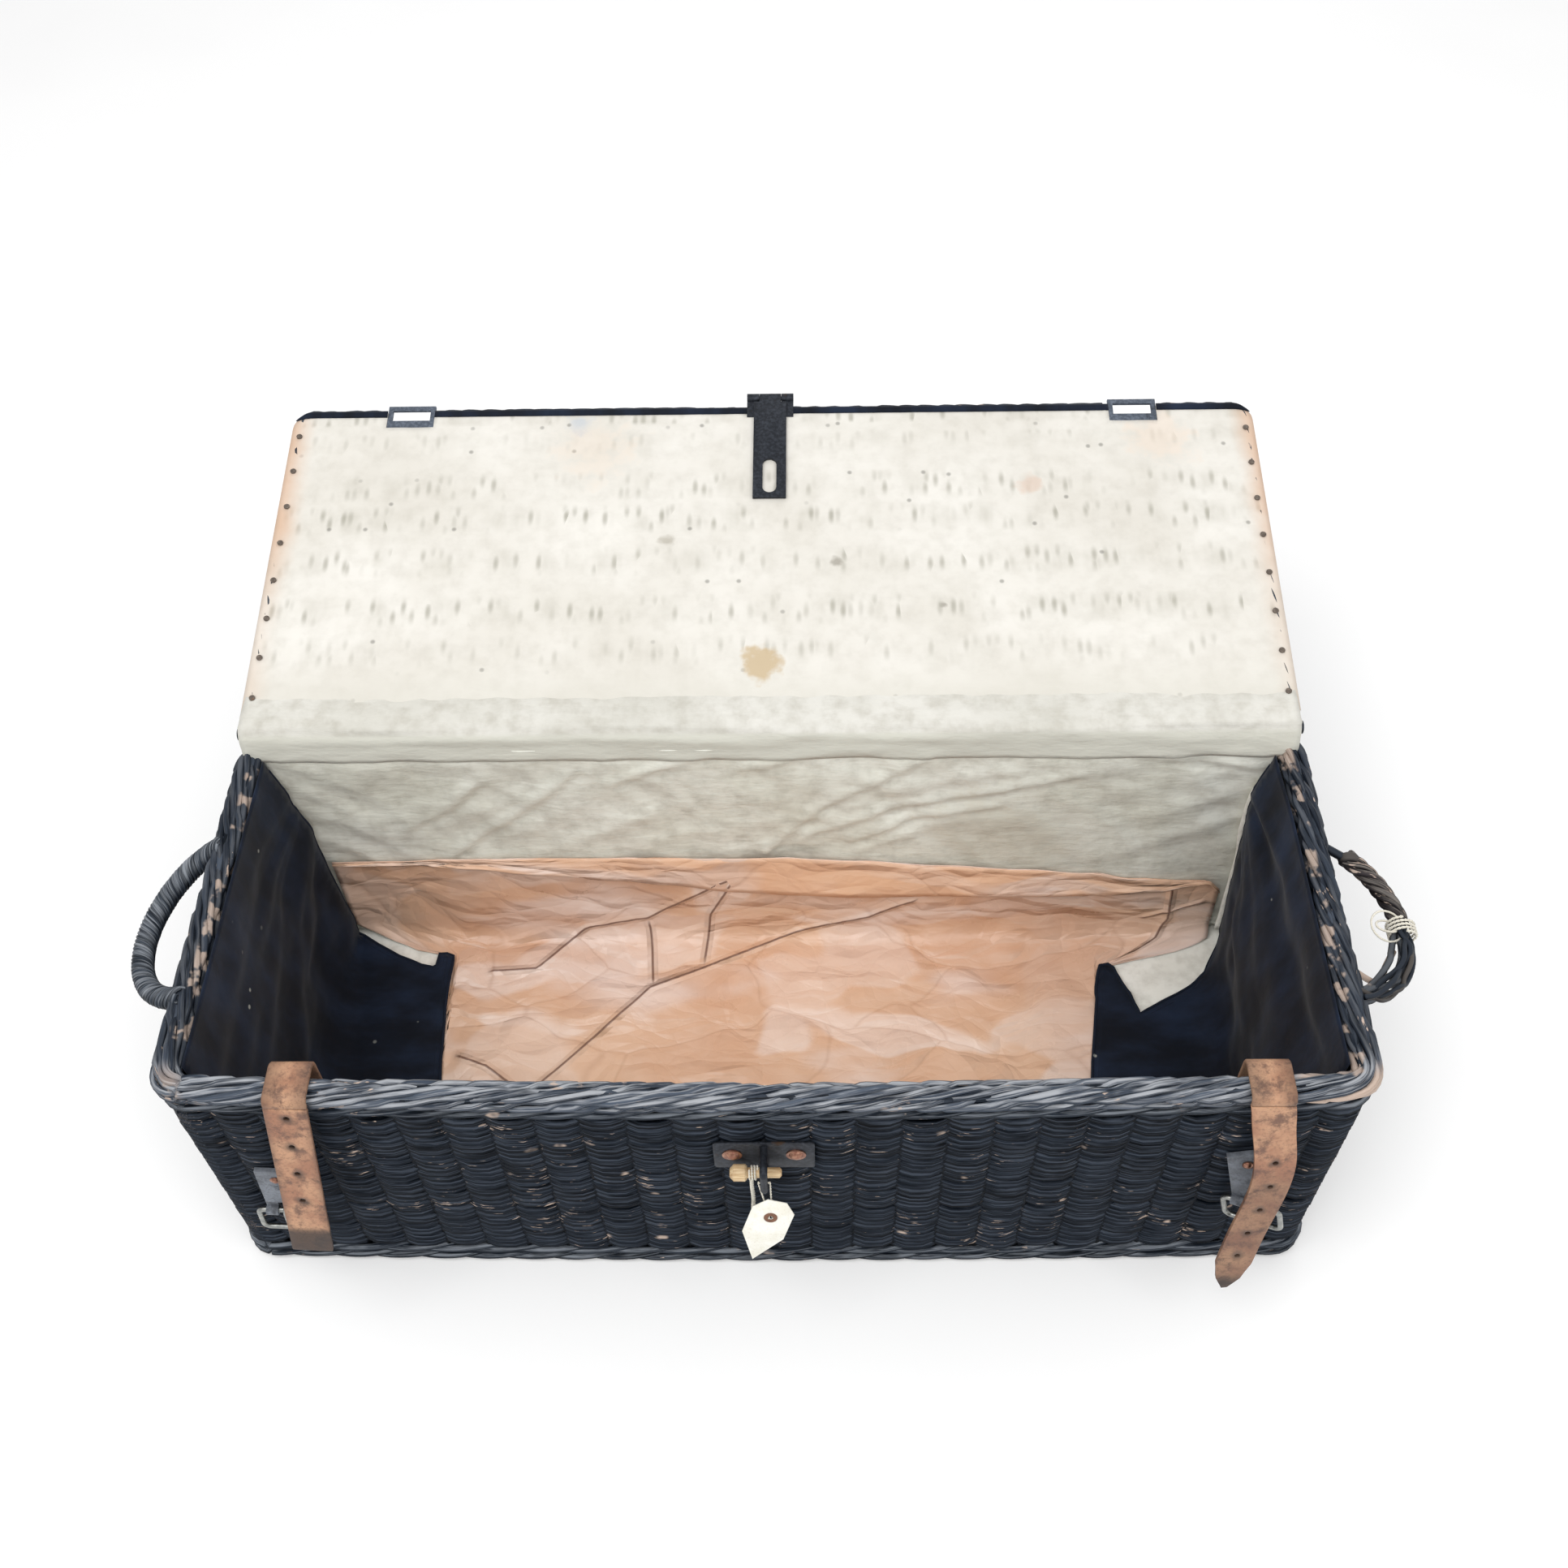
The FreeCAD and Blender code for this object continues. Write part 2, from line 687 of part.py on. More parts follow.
def hinge_places():
    """Places of the hinge loops along the rod, evenly spread."""
    spaces = int(size("hinge_count")) - 1
    return [f"(lid_half - hinge_margin) * {2 * index / spaces - 1:.9f}" for index in range(spaces + 1)]


def hinge_legs(name, radius):
    legs = []
    for index, place in enumerate(hinge_places()):
        for side, mark in (("front", "-"), ("back", "+")):
            legs.append(rod(f"{name}_{index}_{side}", radius, "hinge_lift + hinge_leg",
                            (place, f"hinge_y {mark} hinge_ring", "trunk_height - hinge_leg")))
    return legs


def make_hinge_loops():
    """Iron loops over the rod, each with two legs driven into the back border."""
    legs = hinge_legs("hinge_leg", "hinge_wire / 2")
    loops = []
    for index, place in enumerate(hinge_places()):
        bow = doc.addObject("Part::Torus", f"hinge_bow_{index}")
        bind(bow, Radius1="hinge_ring", Radius2="hinge_wire / 2")
        bow.Angle3 = 180
        bow.Placement = Placement(Vector(), Rotation(Vector(0, 1, 0), 90) * Rotation(Vector(0, 0, 1), 90))
        bind(bow, Placement__Base__x=place, Placement__Base__y="hinge_y", Placement__Base__z="hinge_z")
        loops.append(fused(f"hinge_loop_{index}", [bow, legs[2 * index], legs[2 * index + 1]]))
    keep(group("hinge_loops", loops), "hinge_loops")


# Rope handles, each an arc cut flush with the border of its end

def make_handles():
    for side, mark, droop in (("left", "-", "handle_angle_left"), ("right", "", "handle_angle_right")):
        ring = doc.addObject("Part::Torus", "handle_ring_" + side)
        bind(ring, Radius1="handle_ring", Radius2="handle_rope / 2")
        ring.Placement = Placement(Vector(), Rotation(Vector(0, 1, 0), 1))
        turn = f"-{droop}" if side == "left" else droop
        bind(ring, Placement__Rotation__Angle=turn)
        inset = "(handle_ring - handle_reach)"
        bind(ring, Placement__Base__x=f"{mark}(half_length - {inset} * cos({droop}))",
             Placement__Base__y="handle_shift", Placement__Base__z=f"handle_z + {inset} * sin({droop})")
        room = "half_length + handle_ring * 3"
        ends = (f"-({room})", "half_length") if side == "right" else ("-half_length", room)
        inside = block("handle_room_" + side, ends, ("-trunk_depth", "trunk_depth"),
                       ("-trunk_height", "trunk_height * 3"))
        keep(without("handle_" + side, ring, [inside]), "handle_" + side)


def make_handle_tie():
    """String tied round the right handle at its outermost place."""
    cord = size("tie_cord")
    radius = size("handle_rope") / 2 + size("tie_gap") + cord / 2
    turns = size("tie_turns")
    pitch = size("tie_pitch")
    tie = solid_from("handle_tie", winding("handle_tie", radius, cord, pitch, turns))
    droop = math.radians(size("handle_angle_right"))
    reach = size("handle_reach")
    lie = Placement(Vector(-turns * pitch / 2, 0, 0), Rotation())
    turn = Rotation(Vector(0, 0, 1), 90)
    spot = Vector(size("half_length") + reach * math.cos(droop), size("handle_shift"),
                  size("handle_z") - reach * math.sin(droop))
    tie.Placement = Placement(spot, turn) * lie
    keep(tie, "handle_tie")


# Lid: rod, woven panel with wraps round the rod, edges and lining, drawn from the hinge axis

def notch_tools(name, low):
    """Tools for the two strap notches in the front edge of the lid."""
    tools = []
    for side, mark in (("left", "-"), ("right", "")):
        centre = f"{mark}loop_offset"
        tools.append(block(f"{name}_notch_{side}", (f"{centre} - loop_width / 2",
                                                    f"{centre} + loop_width / 2"),
                           (low, "lid_depth + overrun"), ("lid_low - overrun", "lid_face_drop + overrun")))
    return tools


def make_lid():
    bar = rod("lid_rod", "lid_rod_radius", "lid_length", ("-lid_half", "hinge_y", "hinge_z"), "x")
    keep(bar, "lid_rod")
    slab = block("panel_slab", ("-lid_side", "lid_side"), ("lid_start", "lid_inner"), ("lid_low", "lid_bed"))
    wraps = []
    places = hinge_places()
    for index in range(len(places) - 1):
        room = "hinge_wire / 2 + wrap_gap"
        wraps.append(block(f"panel_wrap_{index}", (f"{places[index]} + {room}",
                                                   f"{places[index + 1]} - ({room})"),
                           ("0", "lid_start"), ("-wrap_thickness / 2", "wrap_thickness / 2")))
    groove = rod("panel_groove", "lid_rod_radius", "lid_length", ("-lid_half", "0", "0"), "x")
    panel = without("lid_panel", fused("panel_whole", [slab] + wraps),
                    [groove] + notch_tools("panel", "notch_start")
                    + leaf_bed("panel"))
    keep(set_on_lid(panel), "lid_panel")
    front = block("edge_bar", ("-lid_side", "lid_side"), ("lid_inner", "lid_depth"), ("lid_low", "lid_bed"))
    edge = without("lid_edge_front", front, notch_tools("edge", "notch_start") + leaf_bed("edge"))
    keep(set_on_lid(edge), "lid_edge_front")
    for side, ends in (("left", ("-lid_half", "-lid_side")), ("right", ("lid_side", "lid_half"))):
        body = new_body("lid_edge_" + side)
        sketch = new_sketch(body, "XY_Plane", "lid_low")
        draw_rectangle(sketch, ends[0], ends[1], "lid_start", "lid_depth")
        pad = add_pad(body, sketch, "lid_bed - lid_low")
        round_edges(body, pad, Vector(0, 0, 1), "border_round")
        keep(set_on_lid(body), "lid_edge_" + side)
    cloth = block("lining_sheet", ("-lid_half", "lid_half"), ("lid_start", "lid_depth - lining_margin"),
                  ("lid_bed", "lid_face_drop"))
    lining = without("lid_lining", cloth, notch_tools("lining", "notch_start") + leaf_bed("lining"))
    keep(set_on_lid(lining), "lid_lining")


def leaf_bed(name):
    """Shallow bed in the edge and the lining for the leaf of the hasp hinge."""
    return [block(name + "_leaf_bed", ("-leaf_width / 2", "leaf_width / 2"),
                  ("lid_depth - leaf_depth", "lid_depth + overrun"),
                  ("lid_bed - leaf_thickness / 2", "lid_face_drop + overrun"))]


def make_tacks():
    """Tack heads along both ends of the lid lining."""
    heads = []
    count = int(size("tack_count"))
    for side, mark in (("left", "-"), ("right", "")):
        for index in range(count):
            share = (index + 0.5) / count
            along = f"lid_start + (lid_inner - lid_start) * {share:.6f}"
            heads.append(rod(f"tack_{side}_{index}", "tack_radius", "tack_height",
                             (f"{mark}(lid_half - tack_inset)", along, "lid_face_drop")))
    keep(set_on_lid(group("lining_tacks", heads)), "lining_tacks")


def make_strap_loops():
    """Flat iron frames that fill the notches, with the strap slot behind the front bar."""
    for side, mark in (("left", "-"), ("right", "")):
        body = new_body("strap_loop_" + side)
        sketch = new_sketch(body, "XY_Plane", "lid_bed - loop_thickness")
        centre = f"{mark}loop_offset"
        draw_rectangle(sketch, f"{centre} - loop_width / 2", f"{centre} + loop_width / 2", "notch_start",
                       "lid_depth")
        add_pad(body, sketch, "loop_thickness")
        opening = body.newObject("Sketcher::SketchObject", body.Name + "_slot")
        opening.AttachmentSupport = sketch.AttachmentSupport
        opening.MapMode = "FlatFace"
        bind(opening, AttachmentOffset__Base__z="lid_bed - loop_thickness / 2")
        draw_rectangle(opening, f"{centre} - loop_slot_width / 2", f"{centre} + loop_slot_width / 2",
                       "lid_depth - loop_bar - loop_slot_depth", "lid_depth - loop_bar")
        add_pocket(body, opening)
        keep(set_on_lid(body), "strap_loop_" + side)


def make_hasp():
    """Leaf in the lid edge, pin, and the slotted hasp that folds back over the lining."""
    half_leaf = "leaf_width / 2"
    half_barrel = "hasp_barrel / 2"
    leaf = block("leaf_plate", (f"-{half_leaf}", half_leaf), ("lid_depth - leaf_depth", "barrel_y"),
                 ("lid_bed - leaf_thickness / 2", "lid_bed + leaf_thickness / 2"))
    knuckle = rod("leaf_knuckle", "barrel_radius", "leaf_width", (f"-{half_leaf}", "barrel_y", "barrel_up"),
                  "x")
    gap = block("leaf_gap", (f"-{half_barrel} - seat_gap", f"{half_barrel} + seat_gap"),
                ("barrel_y - barrel_radius - seat_gap", "barrel_y + barrel_radius + overrun"),
                ("barrel_up - barrel_radius - overrun", "barrel_up + barrel_radius + overrun"))
    bore = rod("leaf_bore", "pin_radius", "leaf_width + overrun * 2",
               (f"-{half_leaf} - overrun", "barrel_y", "barrel_up"), "x")
    keep(set_on_lid(without("hasp_leaf", fused("leaf_whole", [leaf, knuckle]), [gap, bore])), "hasp_leaf")
    pin = rod("hasp_pin_rod", "pin_radius", "leaf_width", (f"-{half_leaf}", "barrel_y", "barrel_up"), "x")
    keep(set_on_lid(group("hasp_pin", [pin])), "hasp_pin")
    strip_end = "barrel_y - barrel_out - pin_radius"
    thick = ("hasp_low", "hasp_low + hasp_thickness")
    strip = block("hasp_strip", ("-hasp_width / 2", "hasp_width / 2"), ("barrel_y - hasp_reach", strip_end),
                  thick)
    neck = block("hasp_neck", (f"-{half_barrel}", half_barrel), (strip_end, "barrel_y"), thick)
    barrel = rod("hasp_knuckle", "barrel_radius", "hasp_barrel",
                 (f"-{half_barrel}", "barrel_y", "barrel_up"), "x")
    eye = rod("hasp_bore", "pin_radius + pin_clearance", "hasp_barrel + overrun * 2",
              (f"-{half_barrel} - overrun", "barrel_y", "barrel_up"), "x")
    slot_far = "barrel_y - slot_start"
    slot_near = "barrel_y - slot_start - slot_length"
    reach = ("hasp_low - overrun", "hasp_low + hasp_thickness + overrun")
    slot = [block("hasp_slot", ("-slot_width / 2", "slot_width / 2"),
                  (f"{slot_near} + slot_width / 2", f"{slot_far} - slot_width / 2"), reach)]
    for end, place in (("far", f"{slot_far} - slot_width / 2"), ("near", f"{slot_near} + slot_width / 2")):
        slot.append(rod("hasp_slot_" + end, "slot_width / 2", "hasp_thickness + overrun * 2",
                        ("0", place, "hasp_low - overrun")))
    keep(set_on_lid(without("hasp", fused("hasp_whole", [strip, neck, barrel]), [eye] + slot)), "hasp")


# Staple plate, staple and domed rivets

def make_staple():
    body = new_body("plate_sheet")
    sketch = new_sketch(body, "XZ_Plane", "wall_front")
    draw_rectangle(sketch, "-plate_width / 2", "plate_width / 2", "trunk_height - plate_drop - plate_height",
                   "trunk_height - plate_drop")
    pad = add_pad(body, sketch, "plate_thickness")
    round_edges(body, pad, Vector(0, 1, 0), "plate_round")
    holes = [rod("plate_hole_" + level, "staple_wire / 2", "plate_thickness + overrun * 2",
                 ("0", "-plate_face - overrun", "staple_" + level), "y") for level in ("high", "low")]
    keep(without("staple_plate", body, holes), "staple_plate")
    radius = size("staple_wire") / 2
    bend = size("staple_bend")
    bar_y = -size("staple_bar")
    root_y = -size("wall_front") + size("staple_root")
    high = size("staple_high")
    low = size("staple_low")
    shoulder = bend * (1 - math.sqrt(0.5))
    edges = [
        Part.LineSegment(Vector(0, root_y, high), Vector(0, bar_y + bend, high)).toShape(),
        Part.Arc(Vector(0, bar_y + bend, high), Vector(0, bar_y + shoulder, high - shoulder),
                 Vector(0, bar_y, high - bend)).toShape(),
        Part.LineSegment(Vector(0, bar_y, high - bend), Vector(0, bar_y, low + bend)).toShape(),
        Part.Arc(Vector(0, bar_y, low + bend), Vector(0, bar_y + shoulder, low + shoulder),
                 Vector(0, bar_y + bend, low)).toShape(),
        Part.LineSegment(Vector(0, bar_y + bend, low), Vector(0, root_y, low)).toShape(),
    ]
    keep(solid_from("staple", tube_along(edges, radius)), "staple")
    heads = []
    for side, mark in (("left", "-"), ("right", "")):
        heads.append(dome_rivet("plate_rivet_" + side, (f"{mark}rivet_spread", "-plate_face",
                                                        "trunk_height - rivet_drop"),
                                "washer_radius", "washer_thickness", "rivet_radius", "rivet_dome", 90))
    keep(group("plate_rivets", heads), "plate_rivets")


def dome_rivet(name, spot, washer_radius, washer_thickness, radius, dome, turn):
    """Washer with a domed head, turned to stand on its wall."""
    washer = doc.addObject("Part::Cylinder", name + "_washer")
    bind(washer, Radius=washer_radius, Height=washer_thickness)
    ball = f"(({radius}) * ({radius}) + ({dome}) * ({dome})) / (2 * ({dome}))"
    cap = doc.addObject("Part::Sphere", name + "_cap")
    bind(cap, Radius=ball, Placement__Base__z=f"{washer_thickness} + {dome} - {ball}")
    keeper = doc.addObject("Part::Cylinder", name + "_keeper")
    bind(keeper, Radius=f"{radius} + overrun", Height=f"{dome} + overrun",
         Placement__Base__z=washer_thickness)
    crown = doc.addObject("Part::Common", name + "_crown")
    crown.Base = cap
    crown.Tool = keeper
    rivet = fused(name, [washer, crown])
    rivet.Placement = Placement(Vector(), Rotation(Vector(1, 0, 0), turn))
    bind(rivet, Placement__Base__x=spot[0], Placement__Base__y=spot[1], Placement__Base__z=spot[2])
    return rivet


# Peg with its string, and the tag

# Shares of the sway, of the way out from the wall and of the drop, from the peg down
cord_sway_shares = [0.0, -0.3, 0.5, -0.4, 0.4, -0.1]
cord_out_shares = [0.0, 0.15, 0.85, 1.0, 0.65, 0.7]
cord_drop_shares = [0.0, 0.16, 0.37, 0.59, 0.8, 1.0]

def make_peg():
    body = new_body("peg")
    sketch = new_sketch(body, "XZ_Plane", "peg_y")
    draw_outline(sketch, [
        ("-peg_left - peg_head_length", "peg_z"),
        ("-peg_left - peg_head_length", "peg_z + peg_head_radius - peg_head_round"),
        ("-peg_left - peg_head_length + peg_head_round", "peg_z + peg_head_radius"),
        ("-peg_left - peg_head_round / 2", "peg_z + peg_head_radius"),
        ("-peg_left", "peg_z + peg_head_radius - peg_head_round / 2"),
        ("-peg_left", "peg_z + peg_radius"),
        ("-peg_left + peg_shank - peg_tip", "peg_z + peg_radius"),
        ("-peg_left + peg_shank", "peg_z + peg_radius - peg_tip"),
        ("-peg_left + peg_shank", "peg_z"),
    ])
    turned = body.newObject("PartDesign::Revolution", "peg_turned")
    turned.Profile = sketch
    turned.ReferenceAxis = (sketch, [f"Edge{sketch.GeometryCount}"])
    turned.Angle = 360
    keep(body, "peg")
    cord = size("peg_tie_cord")
    tie = winding("peg_tie", size("peg_radius") + size("peg_tie_gap") + cord / 2, cord,
                  size("peg_tie_pitch"),
                  size("peg_tie_turns"))
    wound = solid_from("peg_tie", tie)
    wound.Placement = Placement(Vector(-size("peg_left") + cord, -size("peg_y"), size("peg_z")), Rotation())
    keep(wound, "peg_tie")
    top = Vector(-size("peg_left") + cord * 2, -size("peg_y"),
                 size("peg_z") - size("peg_radius") - cord - cord / 4)
    hang = [top + Vector(size("peg_cord_sway") * sway, -size("peg_cord_out") * out,
                         -size("peg_cord_drop") * fall)
            for sway, out, fall in zip(cord_sway_shares, cord_out_shares, cord_drop_shares)]
    print("peg_cord route", [tuple(round(part, 2) for part in spot) for spot in hang])
    keep(solid_from("peg_cord", cord_tube("peg_cord", hang, size("peg_cord"))), "peg_cord")


def tag_place():
    """Placement of the hanging tag about its hole."""
    lean = Rotation(Vector(1, 0, 0), -size("tag_lean_angle"))
    turn = Rotation(Vector(0, 1, 0), size("tag_turn_angle"))
    return Placement(Vector(size("tag_shift"), -size("tag_y"), size("tag_z")), lean * turn)


def make_tag():
    body = new_body("tag")
    sketch = new_sketch(body, "XZ_Plane", "-tag_thickness / 2")
    draw_outline(sketch, [
        ("-tag_top_width / 2", "tag_above"), ("tag_top_width / 2", "tag_above"),
        ("tag_width / 2", "tag_shoulder"), ("tag_width / 2", "-tag_waist"),
        ("0", "-tag_below"),
        ("-tag_width / 2", "-tag_waist"), ("-tag_width / 2", "tag_shoulder"),
    ])
    draw_circle(sketch, "0", "0", "tag_hole")
    add_pad(body, sketch, "tag_thickness")
    body.Placement = tag_place()
    keep(body, "tag")
    washer = rod("eyelet_disc", "eyelet_radius", "eyelet_thickness",
                 ("0", "-tag_thickness / 2 - eyelet_thickness", "0"), "y")
    hole = rod("eyelet_hole", "tag_hole", "eyelet_thickness + overrun * 2", ("0", "-overrun", "0"), "y")
    ring = without("tag_eyelet", washer, [hole])
    ring.Placement = tag_place()
    keep(ring, "tag_eyelet")
    keep(solid_from("tag_string", tube_along(tag_string_path(), size("tag_string") / 2)), "tag_string")


def tag_string_path():
    """String up behind the tag, over the lower leg of the staple, down again and through the hole."""
    cord = size("tag_string")
    loop = size("staple_wire") / 2 + size("seat_gap") * 2 + cord / 2
    leg = Vector(0, -size("staple_bar") + size("tag_string_back"), size("staple_low"))
    lie = tag_place()
    clear = size("tag_string_clear")
    spread = size("tag_string_spread")
    edges = []
    route = []
    for side in (-1, 1):
        front = lie.multVec(Vector(side * spread, -clear, 0))
        behind = lie.multVec(Vector(side * spread, clear, 0))
        upper = leg + Vector(side * loop, 0, 0)
        route.append([front, behind, upper])
    for side, (front, behind, upper) in zip((-1, 1), route):
        bend = clear / 2
        to_front = (front - behind).normalize()
        to_upper = (upper - behind).normalize()
        half_turn = (math.pi - to_front.getAngle(to_upper)) / 2
        radius = bend / math.tan(half_turn)
        enter = behind + to_front * bend
        leave = behind + to_upper * bend
        foot = (enter + leave) * 0.5
        crown = foot + (behind - foot).normalize() * (radius * (1 - math.cos(half_turn)))
        pieces = [Part.LineSegment(front, enter), Part.Arc(enter, crown, leave),
                  Part.LineSegment(leave, upper)]
        if side < 0:
            edges += [piece.toShape() for piece in pieces]
            over = leg - (lie.multVec(Vector()) - leg).normalize() * loop
            edges.append(Part.Arc(upper, over, route[1][2]).toShape())
        else:
            back = [Part.LineSegment(upper, leave), Part.Arc(leave, crown, enter),
                    Part.LineSegment(enter, front)]
            edges += [piece.toShape() for piece in back]
    spots = [edge.valueAt(edge.FirstParameter) for edge in edges]
    print("tag_string route", [tuple(round(part, 2) for part in spot) for spot in spots])
    return edges


# Leather straps: an anchor over the rim and a hinged tail outside

def front_bulge(across, width, reach):
    """How far the bowed front stands out at the inner edge of a piece that lies on it."""
    nearest = abs(across) - width / 2
    return size("front_bow") * (1 - (nearest / size(reach)) ** 2)


def tail_axis_y(side):
    """Distance of a strap's bend line from the middle, on the bowed rim."""
    return (size("half_depth") + size("seat_gap") + size("strap_thickness")
            + front_bulge(size("strap_" + side), size("strap_width"), "half_length"))


def strap_section(side):
    """Section of the strap part that lies over the rim."""
    half = size("strap_thickness") / 2
    top = size("trunk_height") + size("strap_line")
    outer = half - tail_axis_y(side)
    inner = -size("inner_leg")
    bend = size("border_round") + size("strap_line")
    knee = size("tail_axis_z")
    low = size("trunk_height") - size("strap_inside")

    def face_points(offset):
        radius = bend + offset
        drop = radius * (1 - math.sqrt(0.5))
        rim = top + offset
        front = outer - offset
        back = inner + offset
        return [Vector(0, back, low), Vector(0, back, rim - radius), Vector(0, back - drop, rim - drop),
                Vector(0, back - radius, rim), Vector(0, front + radius, rim), Vector(0, front + drop,
                                                                                      rim - drop),
                Vector(0, front, rim - radius), Vector(0, front, knee)]

    over = face_points(half)
    under = face_points(-half)
    ring = [
        Part.LineSegment(over[0], over[1]), Part.Arc(over[1], over[2], over[3]),
        Part.LineSegment(over[3], over[4]), Part.Arc(over[4], over[5], over[6]),
        Part.LineSegment(over[6], over[7] - Vector(0, 0, size("seat_gap"))),
        Part.LineSegment(over[7] - Vector(0, 0, size("seat_gap")),
                         under[7] - Vector(0, 0, size("seat_gap"))),
        Part.LineSegment(under[7] - Vector(0, 0, size("seat_gap")), under[6]), Part.Arc(under[6], under[5],
                                                                                        under[4]),
        Part.LineSegment(under[4], under[3]), Part.Arc(under[3], under[2], under[1]),
        Part.LineSegment(under[1], under[0]), Part.LineSegment(under[0], over[0]),
    ]
    return Part.Face(Part.Wire([piece.toShape() for piece in ring]))


def make_straps():
    rivets = []
    for side in ("left", "right"):
        anchor = solid_from("strap_anchor_" + side, strap_section(side).extrude(Vector(size("strap_width"),
                                                                                       0, 0)))
        anchor.Placement = Placement(Vector(size("strap_" + side) - size("strap_width") / 2, 0, 0),
                                     Rotation())
        keep(anchor, "strap_anchor_" + side)
        make_tail(side)
        for end, mark in (("near", "-"), ("far", "+")):
            rivets.append(dome_rivet(f"strap_rivet_{side}_{end}",
                                     (f"strap_{side} {mark} strap_rivet_spread",
                                      "-inner_leg + strap_thickness / 2",
                                      "trunk_height - strap_rivet_drop"),
                                     "strap_rivet_radius", "strap_washer", "strap_rivet_head",
                                     "strap_rivet_dome", -90))
    keep(group("strap_rivets", rivets), "strap_rivets")


def make_tail(side):
    """Hanging end of a strap, drawn down from its bend at the rim and leaning outward."""
    body = new_body("strap_tail_" + side)
    sketch = new_sketch(body, "XZ_Plane", "-strap_thickness")
    length = "tail_" + side
    half = "strap_width / 2"
    if side == "left":
        slant = size("tail_slant_angle")
        outline = [(f"-{half}", f"-{length}"), (half, f"-{length}"), (half, "-tail_gap"),
                   (f"-{half}", "-tail_gap")]
        holes = [("0", f"-(hole_first_left + hole_pitch_left * {index})")
                 for index in range(int(size("hole_count_left")))]
    else:
        slant = 0.0
        neck = f"-({length} - tail_point)"
        outline = [("-tail_tip", f"-{length}"), (half, neck), (f"{half} + tail_bend", "-tail_bend_drop"),
                   (half, "-tail_gap"), (f"-{half}", "-tail_gap"), (f"tail_bend - {half}",
                                                                    "-tail_bend_drop"),
                   (f"-{half}", neck)]
        holes = []
        for index in range(int(size("hole_count_right"))):
            place = size("hole_first_right") + size("hole_pitch_right") * index
            slope_share = min(place / size("tail_bend_drop"),
                              (size(length) - place) / (size(length) - size("tail_bend_drop")))
            holes.append((f"tail_bend * {slope_share:.6f}",
                          f"-(hole_first_right + hole_pitch_right * {index})"))
    draw_outline(sketch, outline)
    for across, upward in holes:
        draw_circle(sketch, across, upward, "tail_hole")
    add_pad(body, sketch, "strap_thickness")
    lean = Rotation(Vector(1, 0, 0), -size("tail_lean_angle"))
    turn = Rotation(Vector(0, 1, 0), slant)
    spot = Vector(size("strap_" + side), -tail_axis_y(side), size("tail_axis_z"))
    body.Placement = Placement(spot, lean * turn)
    keep(body, "strap_tail_" + side)


# Chape, buckle frame and prong, drawn from the top of the chape on the wall

def tab_section(lie, height):
    """Level section of a chape's leather in a place of its own."""
    half = size("chape_width") / 2
    deep = size("chape_thickness")
    corners = [(-half, 0), (half, 0), (half, -deep), (-half, -deep), (-half, 0)]
    return Part.makePolygon([lie.multVec(Vector(across, out, height)) for across, out in corners])


def make_buckles():
    """Leather chapes on the front wall, each with a wire buckle and its prong in the rolled end."""
    chape_heads = []
    length = size("chape_length")
    for side in ("left", "right"):
        stand_out = front_bulge(size("chape_" + side), size("chape_width"), "wall_in_x") + size("seat_gap")
        spot = Vector(size("chape_" + side), -size("wall_out_y") - stand_out,
                      size("trunk_height") - size("chape_drop_" + side))
        lie = Placement(spot, Rotation(Vector(0, 1, 0), size("chape_angle_" + side)))
        twist = Rotation(Vector(0, 0, 1), -size("chape_twist_angle_" + side))
        turned = Placement(Vector(0, -size("chape_out_" + side), -length), twist)
        level = Placement(Vector(0, 0, 0), Rotation())
        tab = solid_from("chape_tab_" + side,
                         Part.makeLoft([tab_section(level, 0), tab_section(turned, 0)], True, True))
        roll = rod("chape_roll_" + side, "chape_roll", "chape_width",
                   ("-chape_width / 2", "-chape_roll_out", "0"), "x")
        bore = rod("chape_bore_" + side, "buckle_wire / 2 + pin_clearance", "chape_width + overrun * 2",
                   ("-chape_width / 2 - overrun", "-chape_roll_out", "0"), "x")
        slot = block("chape_slot_" + side, ("-chape_slot / 2", "chape_slot / 2"),
                     ("-chape_roll_out - chape_roll - overrun", "overrun"),
                     ("-chape_roll - overrun", "chape_slot_height"))
        rolled = group("chape_end_" + side, [roll])
        rolled.Placement = turned
        openings = group("chape_openings_" + side, [bore, slot])
        openings.Placement = turned
        chape = without("chape_" + side, fused("chape_whole_" + side, [tab, rolled]), [openings])
        chape.Placement = lie
        keep(chape, "chape_" + side)
        frame = solid_from("buckle_" + side, tube_along(buckle_frame(), size("buckle_wire") / 2))
        frame.Placement = lie * turned
        keep(frame, "buckle_" + side)
        prong = solid_from("prong_" + side, tube_along(prong_path(), size("prong_wire") / 2))
        prong.Placement = lie * turned
        keep(prong, "prong_" + side)
        rivet = dome_rivet("chape_rivet_" + side, ("0", "0", "0"),
                           "strap_rivet_radius", "strap_washer", "strap_rivet_head",
                           "strap_rivet_dome", 90)
        # The rivet stands square on the twisted leather, a fifth of the way down
        rivet_share = 0.2
        top_spot = Vector(0, 0, 0)
        low_spot = turned.multVec(top_spot)
        down = low_spot - top_spot
        across = Rotation(Vector(0, 0, 1),
                          -size("chape_twist_angle_" + side) * rivet_share).multVec(Vector(1, 0, 0))
        outward = down.cross(across).normalize()
        spot = top_spot + down * rivet_share + outward * (size("chape_thickness") + size("seat_gap"))
        rivet_seat = group("chape_rivet_seat_" + side, [rivet])
        rivet_seat.Placement = lie * Placement(spot, Rotation(Vector(0, -1, 0), outward))
        chape_heads.append(rivet_seat)
    keep(group("chape_rivets", chape_heads), "chape_rivets")


